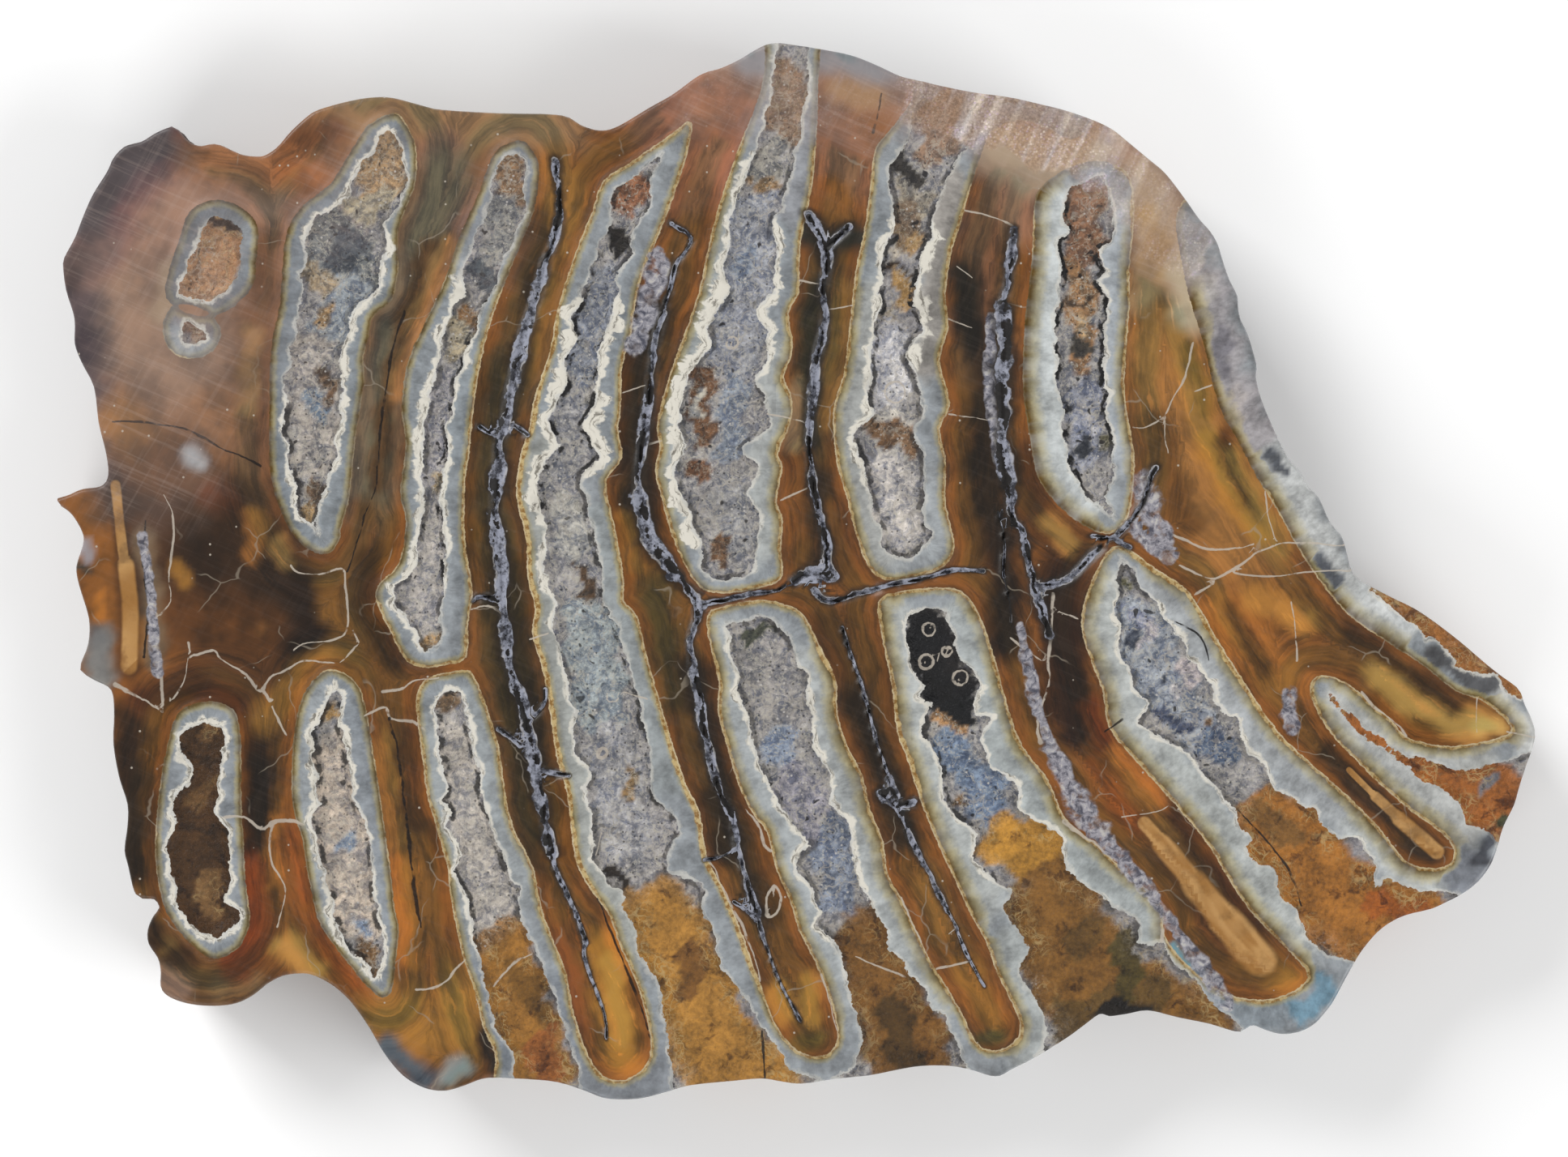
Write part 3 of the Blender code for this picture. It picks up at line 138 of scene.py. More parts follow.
# The dentine side of each enamel loop. The lower plates open to the rim, so their enamel is one line that
# runs in and out of them and up the right side, closed beyond the rim.
ENAMEL = {
    "far_left": (-39.4, 25, -37.6, 24.7, -36.2, 23.3, -36.3, 21, -36.5, 19.3, -37.6, 18, -39.2, 17.2,
        -41, 17.4, -42.4, 18.5, -42.2, 20.2, -41.4, 22.6, -40.8, 24.2),
    "left": (-27, 30.9, -28.6, 30.2, -29.5, 29, -30.4, 27.5, -31.4, 26, -33, 24.8, -33.9, 23.6, -34.4, 22,
        -34.7, 18, -35.3, 15, -35.4, 10, -35.3, 6.3, -34.4, 3.5, -33.6, 2.2, -32.6, 1.4, -31.6, 1.1,
        -30.8, 1.8, -30.5, 3.2, -30, 5, -29.6, 9, -29, 12.8, -29.1, 14.2, -28.8, 15.5, -28.4, 17.2,
        -27.2, 18.2, -26.7, 20.3, -26.7, 23, -25.6, 26, -25.5, 28.5, -26.2, 30.2),
    "third": (-17.5, 28.1, -18.3, 29, -19.3, 28.8, -20.3, 28.1, -21.3, 25.5, -22.6, 22.5, -23.6, 19.6,
        -24.9, 16.8, -26.1, 14, -26.5, 10.8, -26.2, 8.5, -26.6, 5.3, -26.2, 3.3, -26.7, 0.5, -28, -0.8,
        -28.2, -2, -27.3, -4, -26.2, -6, -25, -6.5, -23.4, -6.3, -22.1, -5.8, -22, -3.5, -21.7, -1.3,
        -22.2, 2, -22.2, 6, -21.9, 8, -21.6, 11.3, -20.9, 15.2, -19.7, 19, -18.2, 22.6, -17.5, 24.6,
        -17.2, 27),
    "middle": (-1.7, 37.5, -2, 33.8, -2.6, 31.5, -3.6, 29, -4.5, 26.5, -5.3, 24, -5.9, 21.5, -6.4, 19,
        -7.2, 16.6, -8.1, 14.2, -8.8, 12, -9.3, 9.8, -9.1, 8.4, -9.4, 6.8, -9, 5, -8.3, 2.5, -7.3, 0.2,
        -6.2, -1.2, -4.5, -1.5, -1.8, -1, -0.8, -0.3, -0.9, 1.5, -0.8, 3.5, -1.2, 4.8, -0.8, 7, -1.1, 8,
        -0.25, 10, -0.2, 11.8, -0.7, 13.1, -0.1, 15, -0.4, 17.4, 0.3, 18.8, 0.4, 22, 1.2, 26, 1.5, 29.5,
        1.6, 33, 1.6, 37.5),
    "fifth": (9, 36, 8, 32, 6.3, 29.6, 5.4, 28.4, 5.1, 26, 4.7, 23, 4.1, 20.2, 3.7, 16.5, 3.3, 13.3,
        2.7, 11.4, 2.6, 9.6, 2.9, 7, 3.5, 5, 4.1, 2.6, 4.9, 0.4, 6.1, -0.6, 8.2, -0.4, 10.1, 0.3, 10.8, 1.8,
        10.2, 4.5, 10.2, 7.5, 9.8, 9.6, 10.5, 11.3, 9.8, 14.2, 10.4, 16.4, 10.2, 18.6, 10.6, 21.5,
        11.2, 23.4, 11.8, 25.6, 12.5, 27.8, 13.2, 29.6, 15, 30.4, 17, 29.9, 18.6, 29.1, 19.9, 30,
        20.8, 32.5),
    "sixth": (19, 27.4, 17.2, 26.4, 16.2, 25, 16, 21, 15.5, 16.5, 15.4, 12.3, 15.8, 9.5, 16.3, 6.6, 17.3, 5,
        18.6, 3.7, 20, 2.8, 21.2, 2.5, 22.3, 3.2, 22.8, 5.2, 22.9, 8, 22.3, 11.5, 22.3, 14, 22.6, 18,
        22.6, 20.5, 22.9, 24, 22.6, 26.6, 21, 27.6),
    "lower_left": (-40, -8.8, -38.6, -8.9, -37.6, -9.7, -37.3, -12, -37.3, -15.5, -37.1, -19, -37, -21,
        -36.7, -23.4, -37.2, -25, -37.9, -25.7, -38.8, -26.1, -39.6, -26, -40.6, -25.2, -41.7, -24,
        -42.5, -22.6, -43, -20.3, -43.1, -18, -42.8, -14.5, -42.3, -11.8, -41.6, -9.6),
    "lower_second": (-31.5, -6.6, -30.3, -6.9, -29.5, -7.6, -29, -8.8, -28.5, -11.5, -28.1, -14,
        -27.6, -17.5, -27.2, -20.5, -27, -22.4, -26.7, -24.2, -26.9, -26.4, -27.1, -28.1, -27.7, -28.8,
        -28.7, -28.1, -29.8, -26.8, -31.2, -25, -32.1, -23.5, -32.8, -20.5, -33.2, -18, -33.8, -16,
        -33.9, -13, -33.6, -10, -32.9, -7.9),
    "lower_plates": (-20.6, -38, -20.3, -34, -20.2, -32.6, -20.9, -31, -21.2, -30, -21.6, -28.2,
        -22.3, -26.2, -22.7, -24.5, -23.2, -22, -23.4, -20, -24.1, -17.5, -24.8, -15, -25.1, -12.5,
        -25.5, -9.5, -25.4, -8, -24.6, -7.1, -23.2, -6.8, -21.9, -6.7, -21.1, -8.2, -20.4, -10.2, -19.9, -12,
        -19.4, -15.5, -18.8, -17.6, -17.6, -20, -17.1, -22.5, -16.2, -25, -15.4, -27, -15, -29.2, -14.5, -31,
        -13.8, -32.8, -12.9, -34, -11.6, -34.3, -10.3, -33.6, -9.7, -32.3, -10, -30, -10.7, -27.7,
        -11.8, -25.2, -12.5, -23.2, -14, -21.1, -14.8, -19.4, -15.1, -17, -15.4, -14.8, -16, -12.8,
        -16.4, -10.2, -16.9, -7, -17.7, -4.2, -17.5, -2.5, -18, -0.5, -18.1, 2.2, -18.8, 5.2, -18.4, 8.2,
        -17.9, 9.6, -17.5, 11.9, -16.5, 14.8, -16, 17.6, -14.8, 21.4, -13.6, 24.4, -12.9, 26.3, -11, 27.6,
        -8.4, 29.4, -7, 30.4, -7.1, 28.6, -8.1, 25.4, -9.2, 22.5, -10.5, 19.2, -11, 16, -11.6, 13.8,
        -11.7, 10.9, -11.9, 9.5, -11.6, 7.6, -12.7, 6, -12.1, 3, -11.5, -0.5, -11.5, -2, -10.6, -3,
        -10, -5.5, -9, -9, -8.1, -12, -7.2, -14.6, -6.4, -16.2, -5.9, -19.2, -5, -21, -4, -23.2, -3.1, -25.6,
        -2.3, -27.8, -1.6, -29.8, -0.9, -31.1, 0.1, -32.2, 1.3, -32.7, 2.4, -32.4, 2.9, -31.4, 2.6, -29.6,
        2, -27.8, 1.2, -26, 0.3, -24.2, -0.4, -22, -1.2, -20.2, -1.9, -17.6, -2.8, -16.4, -3.7, -14.6,
        -4.5, -12, -5.2, -9.4, -5.1, -7.5, -5.7, -5, -5.9, -2.9, -4.5, -2.3, -2.4, -1.9, -0.8, -2.2,
        0.6, -2.9, 1.9, -5.4, 2.8, -7.3, 2.9, -9.6, 3.6, -11.8, 4.6, -13.8, 5.1, -16, 6, -18.3, 6.3, -20.4,
        7.3, -22.2, 8.2, -24.2, 9.2, -26.3, 10.4, -28.2, 11.4, -30, 12.3, -31.8, 13.5, -32.3, 14.8, -31.7,
        15.2, -30.6, 14.6, -29, 13.6, -27, 12.9, -25, 11.8, -23, 10.9, -21, 9.9, -18.9, 8.6, -15.8,
        7.5, -12.4, 6.9, -10.8, 6.5, -7.5, 5.8, -4, 5.7, -1.9, 7.4, -1.3, 9.4, -1.1, 11.2, -1.3, 12.4, -2.8,
        13.4, -5.5, 14.4, -9.2, 15.4, -11.8, 17.2, -14.2, 18.2, -16.6, 20.5, -18.5, 22, -20, 23.8, -21.5,
        24.8, -23, 24.9, -24.4, 25.8, -25.8, 27.4, -27.3, 29, -28.4, 31.5, -28.9, 33.4, -28.4, 34.6, -27.4,
        33.9, -26.2, 32.3, -24.6, 30.8, -23, 29.4, -21, 28, -18.6, 26.4, -16.6, 25, -15, 23.2, -13,
        21.2, -10.6, 20.8, -8.2, 19.9, -5.8, 19.3, -3.6, 19.8, -1.2, 20.8, 0.9, 21.6, 1.7, 22.7, 1.4,
        24.3, 0.2, 26.6, -1.4, 28.7, -4.9, 30.6, -7.9, 32.6, -10.8, 35, -13.1, 37.6, -15.4, 39.6, -17.5,
        41.2, -19.5, 42.8, -20, 44.2, -19.7, 44.4, -18.6, 43.4, -17.5, 41.6, -16.2, 39.4, -14.3, 37.5, -12.4,
        36.2, -11, 35.2, -9.4, 34.7, -7.8, 35.4, -7, 37.2, -7.5, 38.6, -8.6, 40.2, -10, 41.2, -11.1,
        43.2, -11.7, 45.2, -11.7, 48.1, -11, 48, -10.1, 46.3, -8.7, 44.6, -8.1, 42.3, -6.3, 40, -4.8,
        37.3, -2.9, 35.3, -0.5, 33.8, 1.8, 32.6, 4, 31.2, 6.3, 29.8, 9, 28.6, 11.2, 27.5, 15.6, 26.6, 18.5,
        25.9, 22, 25.8, 24.2, 27.5, 25.5, 33, 22, 54, 0, 54, -36, 10, -40),
    "far_left_ring": (-42.6, 16.4, -42.2, 17.6, -41, 18, -39.6, 17.5, -38.7, 16.4, -38.9, 15.2, -40, 14.4,
        -41.4, 14.4, -42.3, 15.2),
}

# The cement side of each loop and open plate, as jagged as it is. Open plates are closed off beyond the rim.
CEMENT = {
    "far_left": (-39.3, 23.9, -38.6, 23.8, -38, 23.6, -37.3, 23, -37.1, 22.4, -37.6, 21.9, -37.3, 20.9,
        -37.5, 19.8, -38, 19.3, -38.3, 18.9, -39.3, 18.3, -40.5, 18.4, -41.5, 18.8, -41.4, 19.4, -41.2, 19.8,
        -40.9, 20.8, -40.4, 21.4, -40.2, 22.2, -39.9, 23.1),
    "far_left_ring": (-41, 16.9, -39.9, 16.4, -39.7, 15.8, -40.3, 15.3, -41.2, 15.4, -41.4, 16),
    "left": (-27.4, 29.7, -26.9, 29.3, -26.5, 28.5, -26.3, 27.3, -26.1, 26.3, -26.4, 25.6, -26.8, 24.4,
        -27.1, 24, -27.7, 23.4, -27.6, 22, -27.7, 21.2, -28, 20.4, -27.9, 19.5, -28.3, 18.9, -29, 18.2,
        -29.8, 17.7, -30.2, 17.2, -29.9, 16.3, -30.4, 15.2, -30.8, 14.3, -30.5, 13.4, -30.5, 12.3,
        -30.7, 11.4, -30.6, 10.5, -30.8, 9.6, -31.1, 8.8, -30.9, 7.8, -31.2, 7, -31.4, 6.4, -31.6, 5.6,
        -32, 4.6, -32.3, 3.6, -32, 2.5, -32.9, 3.3, -33.4, 4, -33.6, 4.8, -33.5, 5.8, -33.9, 6.2, -34.1, 7.2,
        -34.1, 8.5, -34.5, 9.3, -34.4, 10.4, -34.1, 11.2, -34.3, 12.2, -34.4, 13, -34, 13.6, -34, 14.5,
        -34.1, 15, -33.6, 15.9, -33.7, 16.8, -33.4, 17.8, -33, 18.6, -33.1, 19.6, -33.4, 20, -33, 20.3,
        -32.9, 21.3, -33, 22.3, -32.9, 23, -32.4, 23.8, -31.4, 24.2, -30.6, 24.9, -29.9, 25.3, -29.8, 26.4,
        -29.2, 27.3, -28.8, 28, -28.2, 28.5, -27.9, 29.2),
    "third": (-18.8, 28.2, -19.6, 27.9, -20, 27.2, -20.4, 26.2, -20.4, 25.3, -20.9, 24.5, -20.9, 23.5,
        -21.5, 22.4, -21.8, 21.3, -22.1, 20.7, -22.5, 19.9, -22.2, 19.3, -22.2, 18.6, -22.9, 18, -23.1, 17.2,
        -23.6, 16.4, -23.7, 15.5, -23.9, 14.6, -24.1, 13.5, -24.3, 12.5, -24.7, 11.8, -24.7, 10.8, -25, 10.1,
        -24.9, 8, -25.1, 6.3, -24.9, 5.2, -25, 4.2, -25.2, 3.2, -25.3, 2.2, -25.4, 1.2, -25.5, 0.3,
        -26.2, -0.6, -27, -1, -26.9, -2.2, -26.3, -3, -26, -3.6, -25.4, -4, -25.3, -4.8, -24.9, -5.4,
        -24, -5, -23.8, -4.4, -23.9, -3.3, -23.9, -2.4, -23.6, -1.6, -23.8, -0.6, -23.5, 0.2, -23.5, 1,
        -23.6, 2.2, -23.6, 3.2, -23.8, 4, -23.9, 5.2, -23.8, 6.3, -23.5, 7.5, -23.4, 8.5, -23.5, 9.8,
        -23.1, 10.6, -23.1, 11.5, -23, 12.3, -22.8, 13, -22.3, 13.8, -22.4, 14.6, -22, 15.3, -21.5, 16.2,
        -21.1, 17.7, -20.6, 18.6, -20.1, 19.2, -20, 20.3, -19.5, 21.2, -19, 22.2, -18.7, 23, -18.2, 23.7,
        -18, 24.6, -18.2, 25.2, -18.2, 26.2, -18, 27, -18.3, 27.9),
    "fourth": (-8.9, 28.2, -10.2, 27, -11.4, 26.2, -12.3, 25.7, -12.4, 24.6, -12.4, 23.7, -12.8, 22.7,
        -13.2, 22, -13.3, 21.2, -13.8, 20.5, -13.8, 19.7, -14.4, 18.8, -14.2, 18.2, -14.7, 17.5, -15, 17,
        -14.9, 16.2, -14.5, 15.6, -15.3, 14.6, -15.5, 13.8, -15.4, 12.5, -15.9, 11.7, -16.3, 11, -16.5, 10.3,
        -16.4, 9.5, -15.8, 8.4, -16.5, 7.7, -17.1, 7, -17.3, 6, -17.3, 5.2, -17.1, 4.4, -16.9, 3.4,
        -16.7, 2.4, -16.5, 1.4, -16.9, 0.8, -16.6, -1, -15.9, -2.3, -16.3, -3.4, -16.1, -4.5, -15.7, -5.8,
        -15.4, -7, -15.2, -8.3, -14.7, -9.3, -14.9, -10.3, -14.8, -11.3, -14.6, -12.3, -14.1, -13,
        -13.6, -13.8, -14.2, -14.5, -13.9, -15.3, -13.6, -16.4, -13.5, -18.5, -13.6, -19.5, -12.9, -20.2,
        -12.6, -21, -11.9, -21.4, -11.1, -22.1, -11.9, -22.6, -11.3, -23.1, -11, -23.7, -10.6, -24.5,
        -10.6, -25, -10.7, -25.7, -10, -26.5, -9.8, -27, -9.1, -28, -8.9, -28.6, -9, -29.2, -8.8, -30,
        -8.6, -30.8, -8.4, -31.6, -8.5, -32.2, -8.3, -33, -8.2, -34, -8.2, -38, 1.6, -38, 1.6, -34.25,
        0.8, -33.95, 0.3, -33.8, -0.3, -33.6, -0.7, -33.2, -0.8, -32.6, -1.3, -32, -1.7, -31.6, -1.9, -31,
        -2.2, -30.7, -2.5, -30, -2.7, -29.6, -3.2, -29, -3.6, -28.5, -3.9, -28, -4.3, -27.6, -4.7, -27,
        -5, -26.6, -5.1, -26, -5.3, -25.4, -5.1, -24.8, -5.6, -24, -6, -23.5, -6.2, -22.8, -6.2, -22,
        -6.1, -21.5, -6.4, -21, -7.5, -20.6, -8.6, -20.2, -8.6, -19.2, -8.3, -18.3, -7.7, -17.8, -8, -17,
        -8.3, -16.2, -8.9, -15.8, -9.5, -15.2, -9.7, -14.3, -9.8, -12.8, -9.9, -11.8, -10.2, -10.6,
        -10.4, -9.5, -10.6, -8.2, -11.1, -7.2, -11.2, -6.3, -11.8, -4.5, -12, -3.4, -12.4, -3, -12.9, -2.2,
        -13, 0, -13.2, 1, -13.5, 2, -13.6, 3, -13.9, 3.8, -13.8, 4.8, -14.4, 5.6, -14.4, 6.5, -13.6, 7.1,
        -13.3, 7.7, -13.6, 8.4, -13.8, 9.2, -14.4, 9.8, -14.2, 10.2, -13.5, 11, -13.4, 12.8, -13.2, 13.9,
        -13.3, 14.8, -12.6, 16.3, -12.3, 18, -11.9, 19, -12.1, 19.6, -11.9, 20.3, -11, 21.4, -11.1, 22,
        -10.9, 22.9, -10.4, 23.8, -9.8, 24.6, -9.8, 25.6, -9.6, 26.8),
    "middle": (-0.8, 37.5, -1.4, 33.5, -1.6, 32, -1.9, 31, -2.1, 29.9, -2.5, 29, -2.6, 28.3, -3, 27.6,
        -3.3, 26.8, -3.5, 26, -4, 25.3, -4.1, 24.1, -4.4, 23.2, -4.3, 22, -4.7, 20.8, -4.7, 19.8, -4.4, 19,
        -4.9, 18, -5.4, 17.4, -5.9, 16.6, -5.6, 15.9, -5.5, 15.2, -6.6, 14.1, -7.1, 13, -7.4, 12.3,
        -7.7, 11.3, -7.6, 10.3, -7.7, 9.5, -7.3, 8.6, -7.9, 7.3, -8, 6.4, -7.7, 5.4, -7.3, 4.6, -6.9, 3.8,
        -7, 3.2, -6.6, 2.4, -6.2, 1.6, -6.2, 0.8, -6.3, 0.2, -5.6, -0.4, -4.6, -0.6, -3.6, -0.4, -2.8, 0,
        -2.6, 0.7, -2.6, 1.8, -2.4, 2.8, -2.4, 3.8, -2.9, 4.7, -3.4, 5.2, -2.9, 6, -2.4, 6.7, -2.5, 7.2,
        -3.1, 7.6, -3.6, 8.1, -3.2, 8.6, -2.4, 9.2, -1.8, 9.8, -1.7, 10.7, -2, 11.6, -2.4, 12.4, -2.7, 13,
        -2.3, 13.6, -2, 14.1, -1.9, 14.8, -2, 15.5, -1.8, 16.2, -2.3, 17, -2.6, 17.7, -2.2, 18.3, -1.4, 18.8,
        -1.5, 19.8, -1.3, 20.8, -1.2, 21.8, -1.6, 22.9, -1.5, 23.9, -0.8, 24.3, -0.7, 25.1, -0.4, 26.2,
        -0.1, 27.3, 0, 28.2, 0.4, 29, 0.5, 30.5, 0.8, 32, 0.9, 33, 0.9, 37.5),
    "fifth": (9.4, 36, 8.8, 33, 8.1, 31, 7.6, 29.2, 7, 28, 6.4, 27.2, 6.4, 26.2, 6.6, 25.2, 6.6, 24.2,
        6.9, 23.3, 6.7, 22.6, 6.1, 22, 6, 21.2, 5.8, 20.4, 6, 19.6, 5.6, 18.7, 5.9, 17.8, 5.6, 17, 5.3, 16.3,
        5.3, 15.3, 5.2, 14.2, 5.2, 13.2, 5, 12.3, 5, 11.3, 5.3, 10.6, 4.9, 10.1, 4.3, 9.7, 4, 9.1, 4.2, 8.3,
        4.5, 7.5, 4.8, 6.8, 5, 6.2, 4.9, 5.4, 5.2, 4.5, 5.4, 3.6, 5.9, 2.8, 6, 2, 6.2, 1.4, 6.9, 0.9,
        7.7, 0.9, 8.6, 1.4, 9.1, 2, 9.3, 2.5, 8.8, 3.2, 8.7, 4.2, 8.8, 5.2, 8.7, 6.2, 8.8, 7.2, 8.6, 8.2,
        8, 9, 7.9, 9.8, 8.5, 10.3, 8.7, 11.1, 8.5, 12, 8.1, 12.9, 7.9, 13.5, 7.6, 14.2, 7.5, 15, 8, 15.6,
        8.6, 16.4, 8.4, 17.4, 8, 18.1, 8.1, 19.2, 8.4, 20.2, 8.4, 21, 8.8, 22, 9.3, 22.5, 9.1, 23.2,
        9.3, 24.2, 9.9, 25.2, 10.2, 26.3, 10.8, 27.4, 11.5, 28.4, 11.9, 29.4, 12.1, 30.4, 12.6, 31.2,
        13.4, 31.7, 15, 31.4, 17, 31, 18.2, 31.4, 19, 34),
    "sixth": (18.8, 26, 18.3, 25.2, 18.1, 24.2, 18.1, 23.3, 18.5, 22.9, 17.7, 22.4, 17.8, 21.4, 18.1, 20.3,
        17.8, 19.2, 17.9, 18.1, 17.5, 17, 17.7, 16, 17.6, 15, 17.8, 14, 17.6, 13, 17.9, 12.2, 18.1, 11.2,
        18.2, 10.2, 18.1, 9.2, 18.4, 8.3, 18.5, 7.2, 18.9, 6.5, 19.2, 5.7, 19.6, 5, 20.4, 4.4, 21, 3.9,
        21.6, 3.4, 21.4, 4.2, 21, 5, 21.3, 5.9, 21.5, 7, 21.4, 8, 21.5, 9, 21.2, 10, 20.9, 11, 21.2, 11.9,
        20.8, 12.5, 20.8, 13.8, 21, 14.8, 20.8, 16, 21, 17.2, 21.1, 18.2, 20.7, 19, 20.4, 19.6, 21, 20.2,
        20.6, 21, 20.2, 21.6, 21.4, 22.1, 21.6, 23.2, 21.4, 24.4, 21.2, 25.6, 20.8, 26.6),
    "bay_sixth": (22, 1, 21.9, 0.3, 21.6, -0.6, 21.9, -1.6, 21.6, -2.8, 22, -3.8, 21.8, -4.8, 22.2, -6,
        22.9, -7, 22.9, -7.9, 23.9, -8.9, 23.3, -10.2, 24.2, -11, 25.6, -11.7, 26.5, -12.3, 27.3, -13.3,
        28.5, -14.5, 29.2, -15.4, 29.9, -16.2, 29.9, -17, 30.5, -17.5, 31, -17.9, 30.4, -18.5, 30.6, -19,
        31.3, -19.6, 32.1, -19.9, 32.6, -20.6, 32.5, -21.2, 32.7, -21.8, 33.3, -22.4, 33.9, -22.9, 34, -23.5,
        34.7, -24.1, 34.4, -24.6, 35, -25.1, 35.7, -25.7, 36.4, -26, 37.1, -26.1, 40.5, -28, 47, -23.8,
        44.6, -21.7, 43.5, -21.7, 42.2, -21.5, 41.3, -21.3, 40.6, -21, 39.9, -20.8, 39.3, -21.3, 39, -20.9,
        39.1, -20, 38.8, -19.4, 38.5, -18.8, 38.2, -18.2, 37.6, -18, 36.7, -18, 36, -17.6, 35.3, -16.8,
        34.9, -16, 34.4, -15.8, 33.4, -15.2, 32.5, -14.7, 31.9, -14, 31.6, -13, 30.6, -12.2, 30, -11.2,
        30, -10, 29, -9.6, 28.4, -8.8, 28.2, -7.8, 27.2, -6.6, 26.4, -5.6, 26.1, -4.6, 25.3, -3.6, 24.8, -3,
        24.3, -2, 23.2, -1.2, 22.9, 0),
    "bay_fifth": (7.8, -2.8, 8.6, -2.6, 9.6, -2.5, 10.2, -2.7, 10.3, -3.4, 10.8, -4, 10.9, -5.6, 11.5, -6.3,
        12.2, -6.8, 12.5, -7.7, 12.2, -8.8, 12.2, -9.6, 13.3, -9.9, 12.6, -10.8, 12.5, -11.6, 12.9, -12.3,
        13.2, -13.3, 14.2, -13.8, 15, -14.5, 15, -15.8, 15.6, -16.5, 16.4, -17, 17.6, -17.4, 18.1, -18.1,
        18, -18.9, 18.4, -20.1, 19, -20.8, 19.8, -21.2, 20.6, -21.8, 21.4, -22.6, 22.3, -22.9, 23.2, -23.8,
        23.3, -24.5, 23.2, -25.1, 24, -25.2, 24.7, -25, 25.6, -26.6, 26.6, -27, 27.2, -27.8, 27.6, -28.6,
        28.4, -29.4, 29.3, -30.1, 30.2, -30.9, 30.6, -35, 17, -36, 16.3, -32.8, 16.8, -32.1, 17.1, -31.5,
        17, -30.6, 16.8, -29.8, 16.4, -29, 15.8, -28.3, 15.3, -27.7, 15.1, -27, 15.3, -26.4, 15.6, -26,
        15.8, -25.4, 15.4, -24.9, 15, -24.3, 14.7, -23.6, 14.3, -23, 14.1, -22.5, 14.5, -22.1, 14.6, -21.6,
        13.7, -21.1, 13.2, -20.5, 12.7, -20, 12.2, -19.4, 12.2, -18.6, 12.3, -17.8, 11.9, -17.2, 11.1, -16.6,
        10.6, -16.2, 10.2, -15.6, 10, -14.5, 9.9, -13.2, 9.4, -12, 8.6, -11, 8.8, -9.9, 9.2, -8.9, 8.3, -8.4,
        8.8, -7.8, 8.2, -7.2, 7.9, -6.2, 7.7, -5.2, 7.4, -4.2, 7.7, -3.3),
    "bay_middle": (-4.6, -3.4, -3.7, -3.5, -2.7, -3.1, -1.6, -3.2, -0.8, -3.9, -0.2, -4.6, -0.1, -5.4,
        0.2, -6.3, 0.9, -6.9, 0.7, -7.8, 0.8, -8.6, 1.2, -9.8, 1.1, -10.8, 1.2, -11.8, 1.8, -12.6,
        2.2, -13.5, 2.4, -14.4, 2.3, -15.4, 3.1, -16.3, 3.6, -17.1, 3.7, -18.2, 4.1, -19.4, 4, -20.3,
        4.3, -21.2, 4.8, -21.8, 5.5, -23, 5.9, -23.8, 6.2, -24.6, 6.4, -25.4, 6.9, -25.9, 7.4, -26.6,
        7.8, -27.3, 8.4, -27.7, 8.8, -28.3, 9, -28.9, 9.3, -29.6, 10.1, -29.9, 10.3, -30.5, 10.7, -31.2,
        11, -32, 11.2, -32.8, 11.8, -33.4, 12.2, -37, 2.2, -37, 2.6, -34.15, 3.6, -33.7, 4, -33.2,
        4.3, -32.6, 4.6, -31.7, 4.5, -30.8, 4.2, -30.1, 4, -29.3, 3.8, -28.7, 3.6, -27.5, 3.4, -26.7,
        3.1, -26, 2.8, -25.3, 2.4, -24.7, 1.9, -24.2, 1.4, -23.8, 1.8, -22.8, 1.4, -22.2, 1.2, -21.4,
        0.7, -20.7, 0.2, -20.1, 0, -19.5, 0.4, -18.9, 1.2, -18.4, 0.1, -17.5, -0.4, -16.8, -0.8, -16,
        -1.2, -15.2, -1.9, -14, -2.3, -13.2, -2.7, -12.2, -2.9, -11.2, -3, -10.2, -3.3, -9, -4, -8,
        -3.7, -7.2, -4, -6.5, -4.2, -5.5, -4.4, -4.4),
    "bay_third": (-24, -8.6, -23.3, -8, -22.5, -8.3, -22.3, -9.3, -22, -10.3, -21.7, -11.3, -21.6, -12.3,
        -21.2, -13.3, -21.3, -14.5, -21, -15.5, -20.6, -16.7, -20.3, -18, -19.8, -19, -19.4, -20,
        -19.2, -20.8, -18.5, -21.3, -18.7, -22, -18.6, -23, -18.2, -23.8, -18, -24.5, -17.4, -25.6,
        -17.1, -26.5, -16.8, -27.2, -16.4, -28, -16.1, -29, -15.7, -30, -15.4, -30.6, -15.4, -31.3,
        -15.1, -32, -14.7, -33, -14.5, -33.8, -14.2, -38, -18.9, -38, -18.9, -34.2, -18.8, -33, -19.2, -32,
        -19.9, -31.2, -20.3, -30.2, -20.6, -29, -20.7, -28, -21.1, -26.9, -21.3, -26, -21.6, -25, -21.8, -24,
        -21.8, -23, -22, -22, -22.5, -21.2, -23, -20.4, -22.6, -19.8, -22.4, -19, -22.8, -18, -23.4, -17.2,
        -23.2, -16.2, -23.9, -15.4, -23.3, -14.8, -23.6, -13.5, -23.9, -12, -24, -10.5, -24.2, -9.3),
    "lower_left": (-40.8, -10.4, -39.8, -10.2, -38.7, -10.4, -38.4, -11.2, -38.5, -12.3, -38.7, -13.4,
        -39, -14.2, -38.9, -15.2, -39.2, -16.2, -38.8, -16.9, -38.2, -17.6, -38.2, -18.5, -38.1, -19.5,
        -38, -20.5, -38.1, -21.3, -38.5, -22.2, -38, -22.7, -37.5, -23, -37.3, -23.5, -37.5, -23.9,
        -38.2, -24, -38.6, -24.3, -39, -24.8, -39.4, -24.8, -40, -24.4, -40.7, -23.7, -41.3, -23,
        -41.7, -22.3, -41.7, -21, -42.2, -20.4, -42, -19.9, -42.3, -18.6, -41.9, -17.9, -41.7, -17, -42, -16,
